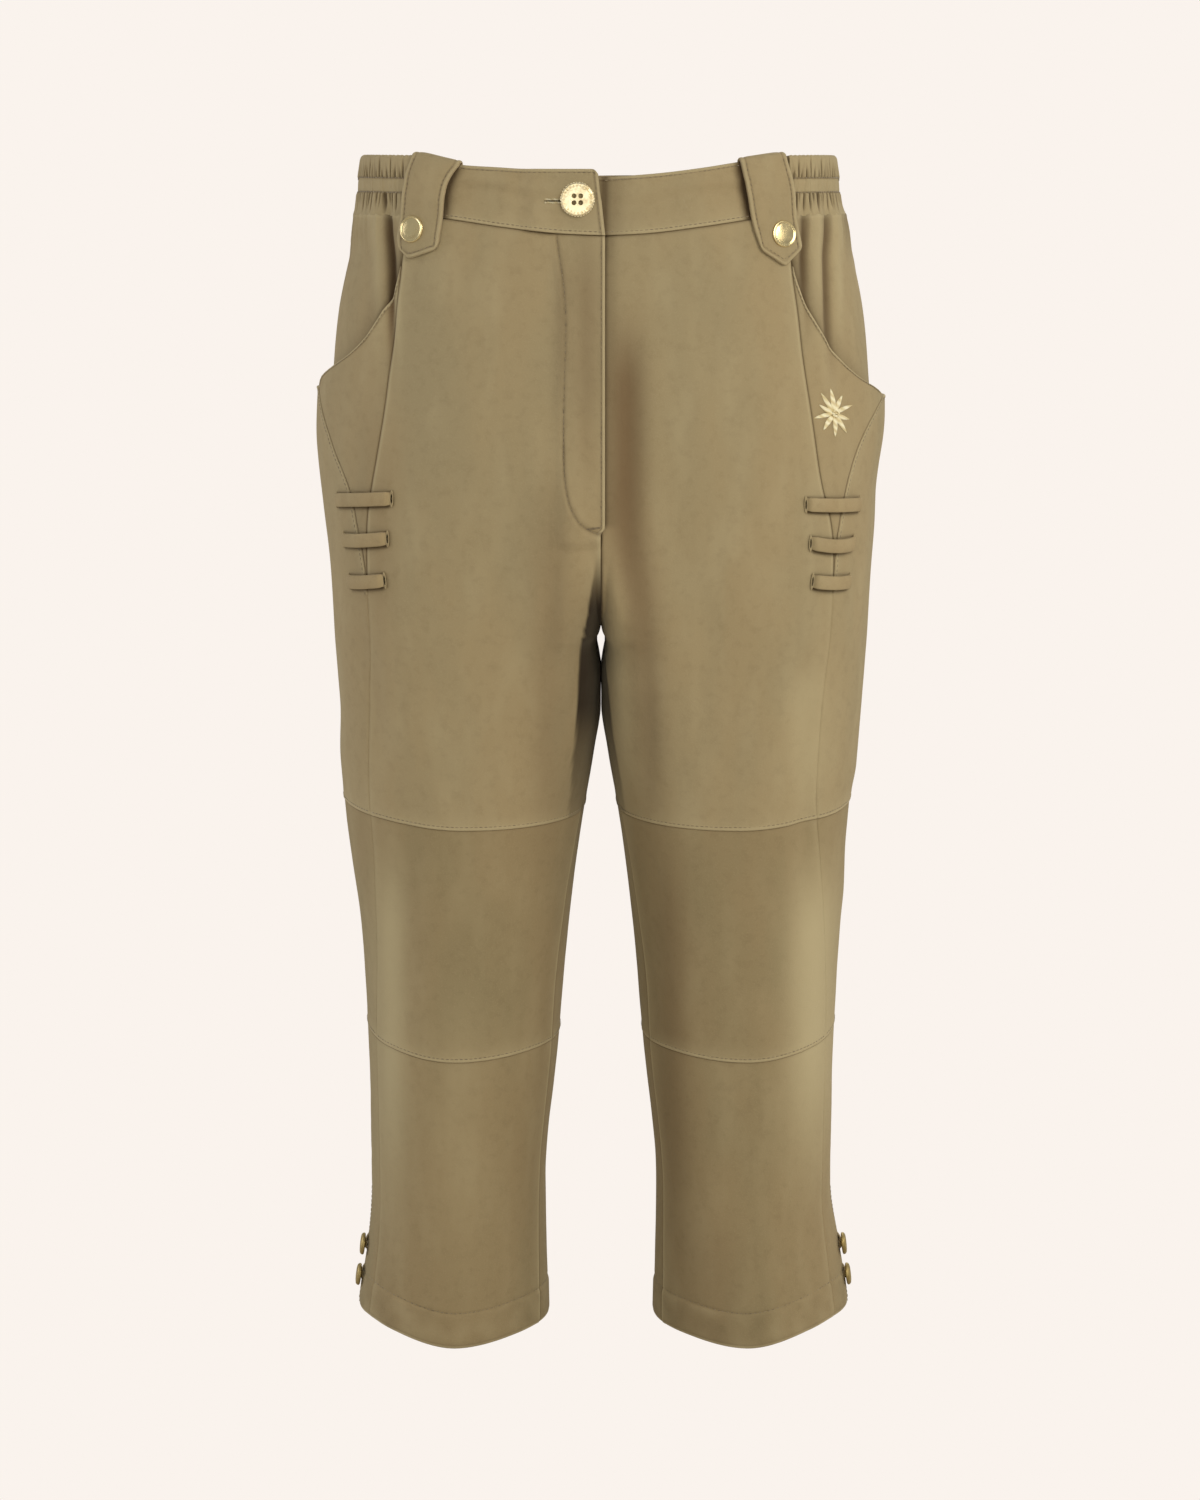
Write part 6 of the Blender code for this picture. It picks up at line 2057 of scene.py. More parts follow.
@dataclass
class Waistband:
    """Band with a button lap in front, a gathered elastic at each side, and a plain back."""

    form: GarmentForm
    seams: SeamMap
    finishes: Finishes
    stitching: Stitching
    spacing: float = 3.0
    wall: float = 2.6
    clear: float = 0.4
    lap_top: float = -2.0  # the lap's end slants: it ends this far past the middle
    lap_foot: float = 2.7
    top_z: float = -7.0
    foot_z: float = -50.0
    underlap: float = 30.0
    lap_corner: float = 3.4
    elastic_x: float = 126.8
    elastic_past_side: float = 30.0
    gathers: int = 34
    columns_each: int = 9
    rows: int = 44
    drawn_in: Curve = field(default_factory=lambda: Curve(
        (0, 1.2), (0.4, 1.5), (0.6, 2.2), (0.9, 2.4), (1, 1.9)))
    stitch_rows: tuple[float, float] = (0.37, 0.61)
    # x of the tabs' inner edges, by height
    tab_edge: dict[Side, Curve] = field(default_factory=lambda: {
        Side.RIGHT: Curve((-50, 105.0), (-30, 103.0), (-20, 101.5), (-7, 96.0)),
        Side.LEFT: Curve((-50, 101.0), (-35, 98.0), (-20, 95.0), (-7, 92.5)),
    })

    def build(self) -> None:
        """Builds the fronts, the elastics and the back."""
        for side in Side:
            self._front(side)
            self._elastic(side)
        self._back()

    def to_elastic(self, z: Array) -> Array:
        """Share where the front meets the elastic."""
        return self.form.share_at(z, self.elastic_x)

    def elastic_end(self, z: Array) -> Array:
        """Share where the elastic meets the back."""
        return self.seams.side_back(z) + self.elastic_past_side / self.form.length(z)

    def _lap_end(self, z: Array) -> Array:
        """Share where the right front ends, past the middle."""
        down = np.clip((self.top_z - z) / (self.top_z - self.foot_z), 0, 1)
        return -(self.lap_top + (self.lap_foot - self.lap_top) * down) / self.form.length(z)

    def lap_lift(self, z: Array, share: Array) -> Array:
        """How far the lap stands out, over the underlap and the button's pull."""
        away = share * self.form.length(z)
        return (self.wall + self.clear) * ease((self.underlap + 26 - away) / 14)

    def _streaks(self, side: Side) -> Relief:
        """Soft level folds of the band, where it is stretched between the tab and the lap.

        Args:
            side: The wearer's right or left.

        Returns:
            A function from heights and shares to distances out.
        """

        def at(z: Array, share: Array) -> Array:
            """How far the band stands out at heights and shares.

            Args:
                z: Heights.
                share: Shares of the half outline.

            Returns:
                The distances out, in mm.
            """
            away = share * self.form.length(z)
            top = self.seams.level(self.seams.waist_top[side])(share)
            foot = self.seams.level(self.seams.waist_seam)(share)
            down = (top - z) / (top - foot)
            drift = 0.06 * np.sin(away / 17 + (1.0 if side is Side.LEFT else 0.0))
            waves = 0.9 * bell(down - 0.3 - drift, 0.09) - 0.8 * bell(down - 0.47 - drift, 0.08)
            waves = waves + 0.7 * bell(down - 0.68 + drift, 0.08)
            return waves * ease(away / 14) * ease((108 - away) / 24)

        return at

    def _front(self, side: Side) -> None:
        """Front of the band; the wearer's right laps over the left, and carries the buttonhole.

        Args:
            side: The wearer's right or left.
        """
        right = side is Side.RIGHT
        streaks = self._streaks(side)

        def lift(z: Array, share: Array) -> Array:
            """How far the band stands out."""
            return streaks(z, share) + (self.lap_lift(z, share) if right else 0.0)

        def top(share: Array) -> Array:
            """Height of the top edge, its corner rounded off at the lap's end.

            Args:
                share: Shares of the half outline.

            Returns:
                The heights.
            """
            level = self.seams.level(self.seams.waist_top[side])(share)
            if not right:
                return level
            past = (4.0 - self.lap_top - share * self.form.length(np.array(self.top_z))) / 4.0
            return level - self.lap_corner * np.clip(past, 0, 1) ** 2.5

        def beside_tab(z: Array, share: Array) -> Array:
            """Shade that the tab throws on the band, and the lap on the left front.

            Args:
                z: Heights.
                share: Shares of the half outline.

            Returns:
                The shade, from 0 to 1.
            """
            away = share * self.form.length(z)
            from_tab = self.form.share_at(z, self.tab_edge[side](z)) * self.form.length(z) - away
            if right:
                return 0.55 * ease((8 - from_tab) / 8) + 0.4 * bell(from_tab, 2.2)
            by_tab = 0.75 * ease((7 - from_tab) / 6) + 0.3 * bell(from_tab, 2.0)
            return by_tab + 0.6 * bell(away - 2.0, 3.0) + 0.3 * bell(away - 6, 10)

        free, foot = Edge(EdgeKind.FREE, 2.3), Edge(EdgeKind.RIDGE, 2.2)
        near = self._lap_end if right else (lambda z: -self.underlap / self.form.length(z))
        panel = Panel(
            f"cloth_waistband_front_{side.value}", side, self.form, (near, self.to_elastic), top,
            self.seams.level(self.seams.waist_seam), Edge(EdgeKind.WELT, 2.4) if right else Edge(EdgeKind.FREE),
            Edge(EdgeKind.VALLEY), free, foot, lift=lift, wall=self.wall, spacing=self.spacing * 0.7,
            crumple=0.3, extra_shade=beside_tab,
        )
        obj = panel.build(self.finishes.nubuck)
        declare_cloth(obj, [f"waistband_front_{side.value}"], panel.area, panel.flat)
        for which, away in (("top", 2.3), ("bottom", 2.2), *((("left", 2.4),) if right else ())):
            z, share = panel.edge_path(which, away)
            seen = share > (0.004 if not right else -1.0)
            self.stitching.sew(side, z[seen], share[seen], panel.height(z, share)[seen])
        LOG.info("%s: %d points", panel.name, len(obj.data.vertices))

    def _channel_height(self, down: Array, gather: Array) -> tuple[Array, Array]:
        """Relief of the gathers, and how shaded they are.

        Args:
            down: Share of the way down the band.
            gather: Running number of the gather, with its part.

        Returns:
            Height out of the drawn-in band, and shade from 0 to 1.
        """
        first, second = self.stitch_rows
        uneven = gather + 0.16 * np.sin(gather * 2.3 + 1.0) + 0.1 * np.sin(gather * 5.1)
        lower = uneven + 0.35 + 0.1 * np.sin(gather * 3.3)
        above = down < 0.5 * (first + second)
        phase = np.where(above, uneven, lower)
        # broad puffs with narrow creases, which taper away from the rows of stitches
        lobe = np.abs(np.sin(pi * phase)) ** 0.6
        to_stitches = np.where(above, (first - down) / first, (down - second) / (1 - second))
        reach = ease((0.85 + 0.25 * np.sin(gather * 4.1) - to_stitches) / 0.7) * ease(to_stitches / 0.08)
        flat = ease((down - first) / 0.03) * ease((second - down) / 0.03)
        size = 0.8 + 0.2 * np.sin(gather * 1.7 + 0.5)
        puff = 2.5 - 3.0 * (1 - lobe) * size * reach * (1 - flat)
        channel = 1.45 + 0.28 * np.sin(2 * pi * uneven) * np.sin(gather * 1.1) ** 2
        height = puff * (1 - flat) + channel * flat
        height = height - 0.85 * (bell(down - first, 0.02) + bell(down - second, 0.02))
        shade = np.minimum(1.3 * (1 - lobe), 0.85) * reach * (1 - flat)
        shade = shade + 0.55 * (bell(down - first, 0.016) + bell(down - second, 0.016))
        return height, np.clip(shade, 0, 1)

    def _elastic(self, side: Side) -> None:
        """Gathered insert: puffs in an upper and a lower zone, a flatter channel between.

        Args:
            side: The wearer's right or left.
        """
        columns = self.gathers * self.columns_each
        down = np.sort(np.concatenate([
            np.linspace(0, 1, self.rows), [0.008, 0.02],
            *(row + np.array([-0.02, 0.0, 0.02]) for row in self.stitch_rows)
        ]))[:, None]
        across = np.linspace(0, 1, columns + 1)[None, :]
        z = np.full((len(down), columns + 1), -20.0)
        for _ in range(SETTLING):
            length = self.form.length(z)
            low, high = self.to_elastic(z) - 1.5 / length, self.elastic_end(z) + 1.0 / length
            share = low + (high - low) * across
            # rounded off where it turns the side
            turning = 2.6 * bell(share * length - self.form.outermost(z), 9)
            top = self.seams.waist_top[side](share) - turning
            z = top + (self.seams.waist_seam(share) - 1.0 - top) * down
        gather = np.broadcast_to(across * self.gathers, z.shape)
        height, shade = self._channel_height(np.broadcast_to(down, z.shape), gather)
        frill = 0.7 * np.abs(np.sin(pi * gather)) * ease(1 - down / 0.12)
        rounded = 1.1 * ease(1 - down / 0.035)
        drawn_in = self.drawn_in(down)
        out = height - drawn_in - rounded
        outer, _ = self.form.skin(side, z + frill, share, out)
        inner, _ = self.form.skin(side, z + frill, share, np.broadcast_to(-self.wall - drawn_in - 0.6, z.shape))
        name = f"cloth_waistband_elastic_{side.value}"
        # the puffs' tops carry a painted highlight, and their creases painted shade
        marks = {"worn": 0.3 * (1 - shade), "shade": shade}
        obj = ShellMaker.shell(name, outer, inner, marks, self.finishes.nubuck, side is Side.RIGHT)
        declare_cloth(obj, [f"waistband_elastic_{side.value}"], ShellMaker.area(outer),
                      ShellMaker.flat_size(outer))
        for row in self.stitch_rows:
            at = np.full(columns + 1, row)
            base, _ = self._channel_height(at, gather[0])
            k = int(np.argmin(abs(down[:, 0] - row)))
            self.stitching.sew(side, z[k], share[k], base - self.drawn_in(row) + 0.15)
        LOG.info("%s: %d points", name, len(obj.data.vertices))

    def _back(self) -> None:
        """One piece from elastic to elastic across the back."""
        halves = []
        for side in (Side.LEFT, Side.RIGHT):
            panel = Panel(
                "half", side, self.form, (self.elastic_end, lambda z: np.ones(np.shape(z))),
                self.seams.waist_top[side], self.seams.waist_seam, Edge(EdgeKind.VALLEY), PLAIN_EDGE,
                Edge(EdgeKind.FREE), Edge(EdgeKind.LAP), wall=self.wall, spacing=self.spacing * 0.9,
                crumple=0.25,
            )
            halves.append(panel.points())
            for which, away in (("top", 2.3), ("bottom", 2.0)):
                z, share = panel.edge_path(which, away)
                self.stitching.sew(side, z, share, panel.height(z, share))

        def joined(left: Array, right: Array) -> Array:
            """One grid of the two halves, which share the middle column."""
            return np.concatenate([left, right[:, ::-1][:, 1:]], axis=1)

        outer, inner = (joined(halves[0][k], halves[1][k]) for k in range(2))
        marks = {name: joined(values, halves[1][2][name]) for name, values in halves[0][2].items()}
        obj = ShellMaker.shell("cloth_waistband_back", outer, inner, marks, self.finishes.nubuck, False)
        declare_cloth(obj, ["waistband_back"], ShellMaker.area(outer), ShellMaker.flat_size(outer))
        LOG.info("cloth_waistband_back: %d points", len(obj.data.vertices))


# a tab's height, its wear with painted highlights, and its painted shade, by distance from its edge
TAB_HEIGHT = Curve((0, -0.55), (0.4, -0.05), (1, 0.2), (1.9, 0.18), (2.9, -0.22), (3.9, 0.12), (7, 0.4))
TAB_WEAR_AND_HIGHLIGHT = Curve((0, 0.55), (1.3, 0.6), (2.2, 0.1), (4, 0))
TAB_SHADE = Curve((0, 0.1), (0.5, 0), (2.2, 0), (2.9, 0.35), (3.6, 0))


@dataclass
class WaistTab:
    """Strip that folds over the band from inside, down the front to a stitched point."""

    form: GarmentForm
    seams: SeamMap
    finishes: Finishes
    stitching: Stitching
    wall: float = 1.9
    foot_z: float = -59.7
    band_wall: float = 2.6
    clear: float = 0.4
    inside_length: float = 13.0
    stitch_in: float = 2.9
    columns: int = 34
    stand_off: Curve = field(default_factory=lambda: Curve(
        (0.0, 0.6), (0.03, 0.9), (0.15, 2.0), (0.28, 3.4), (0.41, 3.4), (0.54, 2.4), (0.66, 1.5), (0.78, 1.2),
        (1, 1.1)))
    # middle line and half width, by the share of the way down the front
    middle: dict[Side, Curve] = field(default_factory=lambda: {
        Side.RIGHT: Curve((0, 109.4), (0.15, 113.4), (0.33, 115.8), (0.65, 118.8), (0.9, 121.2), (1, 121.4)),
        Side.LEFT: Curve((0, 107.5), (0.35, 111.3), (0.68, 114.8), (1, 119.6)),
    })
    half: dict[Side, Curve] = field(default_factory=lambda: {
        Side.RIGHT: Curve((0, 16), (0.15, 14.8), (0.33, 13.9), (0.65, 14.1), (0.9, 14.2), (1, 13.2)),
        Side.LEFT: Curve((0, 15.3), (0.35, 15.6), (0.68, 15), (1, 14.4)),
    })
    point: dict[Side, tuple[float, float]] = field(
        default_factory=lambda: {Side.RIGHT: (0.49, -66.8), Side.LEFT: (0.18, -71.3)})

    def _end_z(self, side: Side, c: Array) -> Array:
        """Height of the pointed foot across the tab, its corners rounded off.

        Args:
            side: The wearer's right or left.
            c: Places across it, from -1 to 1.

        Returns:
            The heights.
        """
        at, z = self.point[side]
        to_corner = np.abs(c - at) / np.where(c < at, 1 + at, 1 - at)
        corner = 2.2 * np.clip((to_corner - 0.86) / 0.14, 0, 1) ** 2
        tip = 1.0 * np.clip(1 - to_corner / 0.12, 0, 1) ** 2
        return z + (self.foot_z - z) * to_corner + corner + tip

    def _across(self) -> Array:
        """Places across the tab, closer together at its edges."""
        t = np.linspace(0, 1, self.columns + 1)
        return np.sin(pi * (t - 0.5)) * 0.5 + (t - 0.5)

    def _face(self, side: Side, down: Array, c: Array) -> tuple[Array, Array, Array, Array]:
        """Heights, shares, stand-off and distance from the edge, for places down the front.

        Args:
            side: The wearer's right or left.
            down: Shares of the way down.
            c: Places across it, from -1 to 1.

        Returns:
            The four, in that order.
        """
        down, c = np.broadcast_arrays(down, c)
        x = self.middle[side](down) + self.half[side](down) * c
        top = self.seams.waist_top[side](self.form.share_at(-10.0, x))
        straight = top + (self.foot_z - top) * down
        start = top + (self.foot_z - top) * 0.8
        t = np.clip((down - 0.8) / 0.2, 0, 1)
        z = np.where(down > 0.8, start + (self._end_z(side, c) - start) * t, straight)
        from_side = self.half[side](down) * (1 - np.abs(c))
        from_foot = np.where(down > 0.5, z - self._end_z(side, c), FAR)
        away = np.minimum(from_side, from_foot)
        # the strip curls softly over the top edge, lower at its sides
        curl = 0.9 * (1 - c**2) * ease((0.3 - down) / 0.3)
        return z, self.form.share_at(z, x), self.stand_off(down) + curl, away

    def _relief(self, away: Array) -> tuple[Array, Array, Array]:
        """Height, wear and shade of the face at distances from the tab's edge."""
        return TAB_HEIGHT(away), TAB_WEAR_AND_HIGHLIGHT(away), TAB_SHADE(away)

    def build(self, side: Side) -> None:
        """Builds one tab.

        Args:
            side: The wearer's right or left.
        """
        c = self._across()[None, :]
        foot = 0.8 + 0.2 * np.linspace(0, 1, 16) ** 0.8
        down = np.concatenate([np.linspace(0.0, 0.78, 34)[1:], foot])[:, None]
        z, share, stand, away = self._face(side, down, c)
        height, worn, shade = self._relief(away)
        front_outer, _ = self.form.skin(side, z, share, stand + self.wall + height)
        front_inner, _ = self.form.skin(side, z, share, stand)
        inside = -(self.band_wall + self.clear)
        z0, share0, _, away0 = self._face(side, np.array([[0.0]]), c)
        edge_height, edge_wear_and_highlight, edge_shade = self._relief(away0)
        rows_outer, rows_inner = [], []
        for above in (-self.inside_length, -8.0, -4.0, -1.5):
            rows_outer.append(self.form.skin(side, z0 + above, share0, inside - self.wall)[0])
            rows_inner.append(self.form.skin(side, z0 + above, share0, np.full(z0.shape, inside))[0])
        middle, reach = 0.5 * (inside + 0.6), 0.5 * (0.6 - inside)
        for turn in np.linspace(0, 1, 12)[:-1]:
            face_radius = reach + self.wall + edge_height
            for rows, radius in ((rows_outer, face_radius), (rows_inner, reach + 0 * edge_height)):
                out = middle - radius * cos(pi * turn)
                rows.append(self.form.skin(side, z0 + radius * sin(pi * turn) * 0.75, share0, out)[0])
        outer = np.concatenate([*rows_outer, front_outer])
        inner = np.concatenate([*rows_inner, front_inner])
        extra = len(outer) - len(worn)
        worn = np.concatenate([np.repeat(edge_wear_and_highlight, extra, 0), worn])
        shade = np.concatenate([np.repeat(edge_shade, extra, 0), shade])
        name = f"cloth_waist_tab_{side.value}"
        obj = ShellMaker.shell(name, outer, inner, {"worn": worn, "shade": shade}, self.finishes.nubuck,
                               side is Side.RIGHT)
        declare_cloth(obj, [f"waist_tab_{side.value}"], ShellMaker.area(outer), ShellMaker.flat_size(outer))
        self._sew(side)
        LOG.info("%s: %d points", name, len(obj.data.vertices))

    def _sew(self, side: Side) -> None:
        """One row of stitches down one edge, round the point and up the other edge.

        Args:
            side: The wearer's right or left.
        """
        at, point_z = self.point[side]
        down = np.linspace(0.02, 1, 160)
        for edge in (-1, 1):
            c = edge * (1 - self.stitch_in / self.half[side](down))
            z, share, stand, away = self._face(side, down, c)
            keep = away > self.stitch_in - 0.15
            points, normals = self.form.skin(side, z, share, stand + self.wall + 0.05)
            self.stitching.sew_path(points[keep], normals[keep])
        half = float(self.half[side](1.0))
        inset = self.stitch_in / half
        c = np.linspace(-1 + inset, 1 - inset, 120)
        x = self.middle[side](1.0) + half * c
        slope = (self.foot_z - point_z) / (half * np.where(c < at, 1 + at, 1 - at))
        z = self._end_z(side, c) + self.stitch_in * np.sqrt(1 + slope**2)
        out = self.stand_off(1.0) + self.wall + 0.05
        points, normals = self.form.skin(side, z, self.form.share_at(z, x), np.full(z.shape, out))
        self.stitching.sew_path(points, normals)


# ---------------------------------------------------------------- turned and laid pieces


class Bench:
    """Hand work on one mesh at a time: it starts from a primitive, and ends laid on the garment."""

    @staticmethod
    def clear() -> None:
        """Deselects everything."""
        bpy.ops.object.select_all(action="DESELECT")

    @staticmethod
    def pick_faces(obj: bpy.types.Object, wanted: Callable[[Vector, Vector], bool]) -> None:
        """Selects faces in edit mode by their place and normal.

        Args:
            obj: The mesh object, in edit mode.
            wanted: Says of a face's centre, in mm, and its normal whether it is selected.
        """
        bpy.ops.mesh.select_mode(type="FACE")
        bpy.ops.mesh.select_all(action="DESELECT")
        bpy.ops.object.mode_set(mode="OBJECT")
        for face in obj.data.polygons:
            face.select = wanted(face.center / MM, face.normal)
        bpy.ops.object.mode_set(mode="EDIT")

    @classmethod
    def turn(cls, profile: Sequence[tuple[float, float]], segments: int) -> bpy.types.Object:
        """Draws a disc up and in or out along a profile, ring by ring.

        Args:
            profile: Radius and height of each ring, from the foot up; the last is filled.
            segments: Corners of each ring.

        Returns:
            A closed turned shape on the Z axis.
        """
        cls.clear()
        radius, height = profile[0]
        bpy.ops.mesh.primitive_circle_add(vertices=segments, radius=radius * MM, fill_type="NGON",
                                          location=(0, 0, height * MM))
        obj = bpy.context.object
        bpy.ops.object.transform_apply(location=True, rotation=False, scale=False)
        bpy.ops.object.mode_set(mode="EDIT")
        bpy.ops.mesh.select_all(action="SELECT")
        for wider, higher in profile[1:]:
            bpy.ops.mesh.extrude_region_move(
                TRANSFORM_OT_translate={"value": (0, 0, (higher - height) * MM), "orient_type": "GLOBAL"})
            share = wider / radius
            bpy.ops.transform.resize(value=(share, share, 1.0), orient_type="GLOBAL")
            radius, height = wider, higher
        bpy.ops.mesh.select_all(action="SELECT")
        bpy.ops.mesh.normals_make_consistent(inside=False)
        bpy.ops.object.mode_set(mode="OBJECT")
        return obj

    @staticmethod
    def modifier(obj: bpy.types.Object, kind: str, **settings: object) -> None:
        """Adds a modifier and applies it.

        Args:
            obj: The mesh object.
            kind: The kind of modifier.
            settings: Its settings.
        """
        made = obj.modifiers.new(kind.title(), kind)
        for name, value in settings.items():
            setattr(made, name, value)
        bpy.context.view_layer.objects.active = obj
        obj.select_set(True)
        bpy.ops.object.modifier_apply(modifier=made.name)

    @classmethod
    def drill(cls, obj: bpy.types.Object, centres: Sequence[tuple[float, float]], radius: float) -> None:
        """Cuts round holes through a shape, along Z.

        Args:
            obj: The shape.
            centres: x and y of each hole.
            radius: Radius of the holes.
        """
        cls.clear()
        for x, y in centres:
            bpy.ops.mesh.primitive_cylinder_add(vertices=16, radius=radius * MM, depth=30 * MM,
                                                location=(x * MM, y * MM, 0))
            tool = bpy.context.object
            cls.clear()
            cls.modifier(obj, "BOOLEAN", operation="DIFFERENCE", solver="EXACT", object=tool)
            bpy.data.objects.remove(tool)
            cls.clear()

    @staticmethod
    def finish(
        obj: bpy.types.Object,
        name: str,
        material: bpy.types.Material,
        place: Matrix | None = None,
        angle: float = 40.0,
    ) -> bpy.types.Object:
        """Names, places and dresses a piece, with its place in its mesh.

        Args:
            obj: The mesh object, at the origin.
            name: The piece's name.
            material: Its finish.
            place: Where it goes.
            angle: Edges sharper than this stay sharp, in degrees.

        Returns:
            The piece, riding on the frame.
        """
        obj.name = obj.data.name = name
        obj.data.materials.clear()
        obj.data.materials.append(material)
        obj.data.shade_smooth()
        obj.data.set_sharp_from_angle(angle=radians(angle))
        if place is not None:
            obj.data.transform(place)
        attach(obj, BODY)
        LOG.info("%s: %d points", name, len(obj.data.vertices))
        return obj

    @staticmethod
    def wrap(obj: bpy.types.Object, form: GarmentForm, side: Side,
             place: Callable[[Array], tuple[Array, ...]]) -> None:
        """Lays a shape modelled flat onto the garment.

        Args:
            obj: The flat shape; Z is out of the cloth.
            form: The garment's form.
            side: The wearer's right or left.
            place: Turns the shape's points, in mm, into heights, shares and distances out.
        """
        points = np.array([v.co for v in obj.data.vertices]) / MM
        z, share, out = place(points)
        laid, _ = form.skin(side, z, share, out)
        obj.data.vertices.foreach_set("co", laid.ravel())
        if side is Side.RIGHT:
            obj.data.flip_normals()
        obj.data.update()


def spot(form: GarmentForm, side: Side, z: float, share: float, out: float) -> Matrix:
    """Frame on the garment: Z out of the cloth, Y up along it.

    Args:
        form: The garment's form.
        side: The wearer's right or left.
        z: Height.
        share: Share of the half outline.
        out: Distance out of the form.

    Returns:
        The frame, in metres.
    """
    origin, normal = form.skin(side, np.array([z]), np.array([share]), np.array([out]))
    normal = Vector(normal[0])
    across = Vector((0, 0, 1)).cross(normal).normalized()
    turn = Matrix((across, normal.cross(across), normal)).transposed().to_4x4()
    return Matrix.Translation(Vector(origin[0])) @ turn


@dataclass
class Fastenings:
    """Waist button in its buttonhole, snaps on the tabs, and buttons and loops on the vents."""

    form: GarmentForm
    seams: SeamMap
    finishes: Finishes
    stitching: Stitching
    button_x: float = 15.4
    button_z: float = -26.5
    button_out: float = 3.0
    button_radius: float = 11.1
    hole_radius: float = 1.65
    hole_centre: float = 2.25
    buttonhole_far_x: float = 37.0
    snap_x: dict[Side, float] = field(default_factory=lambda: {Side.RIGHT: 124.8, Side.LEFT: 120.6})
    snap_z: dict[Side, float] = field(default_factory=lambda: {Side.RIGHT: -47.0, Side.LEFT: -50.0})
    snap_radius: float = 9.0
    snap_out: float = 3.2
    vent_buttons_z: tuple[float, float] = (-776.5, -799.5)
    vent_forward: float = 6.5
    vent_radius: float = 8.0
    loop_width: float = 6.0
    loop_wall: float = 1.1
    loop_back: float = 13.0

    def build(self) -> None:
        """Builds every fastening."""
        self._waist_button()
        self._buttonhole()
        for side in Side:
            self._snap(side)
            for number, z in enumerate(self.vent_buttons_z, start=1):
                self._vent_button(side, number, z)
                self._vent_loop(side, number, z)

    def _waist_button(self) -> None:
        """Beaten brass button with a milled rim, a nearly flat face and four holes."""
        r = self.button_radius
        profile = ((1.7, -2.6), (1.7, 0.5), (r - 0.9, 0.5), (r - 0.2, 0.9), (r, 1.4), (r, 2.1), (r - 0.3, 2.55),
                   (r - 0.8, 2.8), (r - 1.5, 2.86), (r - 2.1, 2.76), (r - 2.7, 2.66), (r - 5.0, 2.6),
                   (r - 7.0, 2.55), (1.2, 2.5))
        button = Bench.turn(profile, 72)
        bpy.ops.object.mode_set(mode="EDIT")

        def sector(c: Vector) -> int:
            """Running number of the five-degree step that a place lies in."""
            return int(degrees(atan2(c.y, c.x)) // 5)

        Bench.pick_faces(button, lambda c, n: 1.4 < c.z < 2.2 and hypot(c.x, c.y) > r - 0.3
                         and sector(c) % 2 == 0)
        bpy.ops.mesh.extrude_faces_move(TRANSFORM_OT_shrink_fatten={"value": 0.28 * MM})
        # dents struck unevenly round the flat of the rim, closer together on one side
        Bench.pick_faces(button, lambda c, n: r - 2.9 < hypot(c.x, c.y) < r - 0.6 and n.z > 0.5
                         and (sector(c) % 3 == 0 or (c.x > 3 and sector(c) % 2 == 0)))
        bpy.ops.mesh.inset(thickness=0.12 * MM, depth=-0.2 * MM, use_individual=True)
        bpy.ops.object.mode_set(mode="OBJECT")
        c = self.hole_centre
        Bench.drill(button, ((c, c), (c, -c), (-c, c), (-c, -c)), self.hole_radius)
        place = spot(self.form, Side.RIGHT, self.button_z,
                     float(self.form.share_at(self.button_z, self.button_x)), self.button_out)
        piece = Bench.finish(button, "brass_waist_button", self.finishes.brass, place, 30)
        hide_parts("waist_button")
        self._button_thread(place)

    def _button_thread(self, place: Matrix) -> None:
        """Two loops of thread in the depth of the button's holes.

        Args:
            place: The button's place on the garment.
        """
        loops = []
        for turn in (-1, 1):
            Bench.clear()
            bpy.ops.mesh.primitive_torus_add(
                major_radius=self.hole_centre * MM, minor_radius=0.4 * MM, major_segments=20, minor_segments=8,
                location=(0, turn * self.hole_centre * MM, 0.6 * MM), rotation=(radians(90), 0, 0))
            loop = bpy.context.object
            bpy.ops.object.transform_apply(location=True, rotation=True, scale=True)
            resize((1.0, 1.0, 0.4), center_override=(0, 0, 0.6 * MM))
            loops.append(loop)
        Bench.clear()
        for loop in loops:
            loop.select_set(True)
        bpy.context.view_layer.objects.active = loops[0]
        bpy.ops.object.join()
        Bench.finish(loops[0], "waist_button_thread", self.finishes.thread, place)

    def _buttonhole(self) -> None:
        """The slit that shows beside the button, with its dense overcast stitches."""
        z, start, end = self.button_z - 1.0, self.button_x + self.button_radius - 3.0, self.buttonhole_far_x
        x = np.linspace(start, end, 60)
        share = self.form.share_at(z, x)
        out = np.full(x.shape, self.button_out + 0.12)
        for turn in (-1, 1):
            points, normals = self.form.skin(Side.RIGHT, np.full(x.shape, z + turn * 0.95), share, out)
            self.stitching.sew_path(points, normals, 0.62, turn=True)
        self.stitching.build("buttonhole_stitching", self.finishes.silk, 0.62)
        # a dark ellipsoid in the slit paints the shade inside the buttonhole
        Bench.clear()
        bpy.ops.mesh.primitive_uv_sphere_add(segments=24, ring_count=8, radius=0.5 * MM)
        slit = bpy.context.object
        resize((end - start + 1.0, 0.9, 0.6))
        middle = float(self.form.share_at(z, 0.5 * (start + end)))
        length = float(self.form.length(np.array(z)))
        long = end - start + 1.0

        def place(p: Array) -> tuple[Array, Array, Array]:
            """Lays the slit out, pulled open beside the button.

            Args:
                p: Points of the flat shape, in mm.

            Returns:
                Heights, shares and distances out.
            """
            to_button = np.clip(0.5 - p[:, 0] / long, 0, 1)
            wide = 1.0 + 3.4 * ease((to_button - 0.62) / 0.3)
            return z + p[:, 1] * wide, middle + p[:, 0] / length, self.button_out + 0.16 + p[:, 2]

        Bench.wrap(slit, self.form, Side.RIGHT, place)
        Bench.finish(slit, "buttonhole_slit", self.finishes.dark)

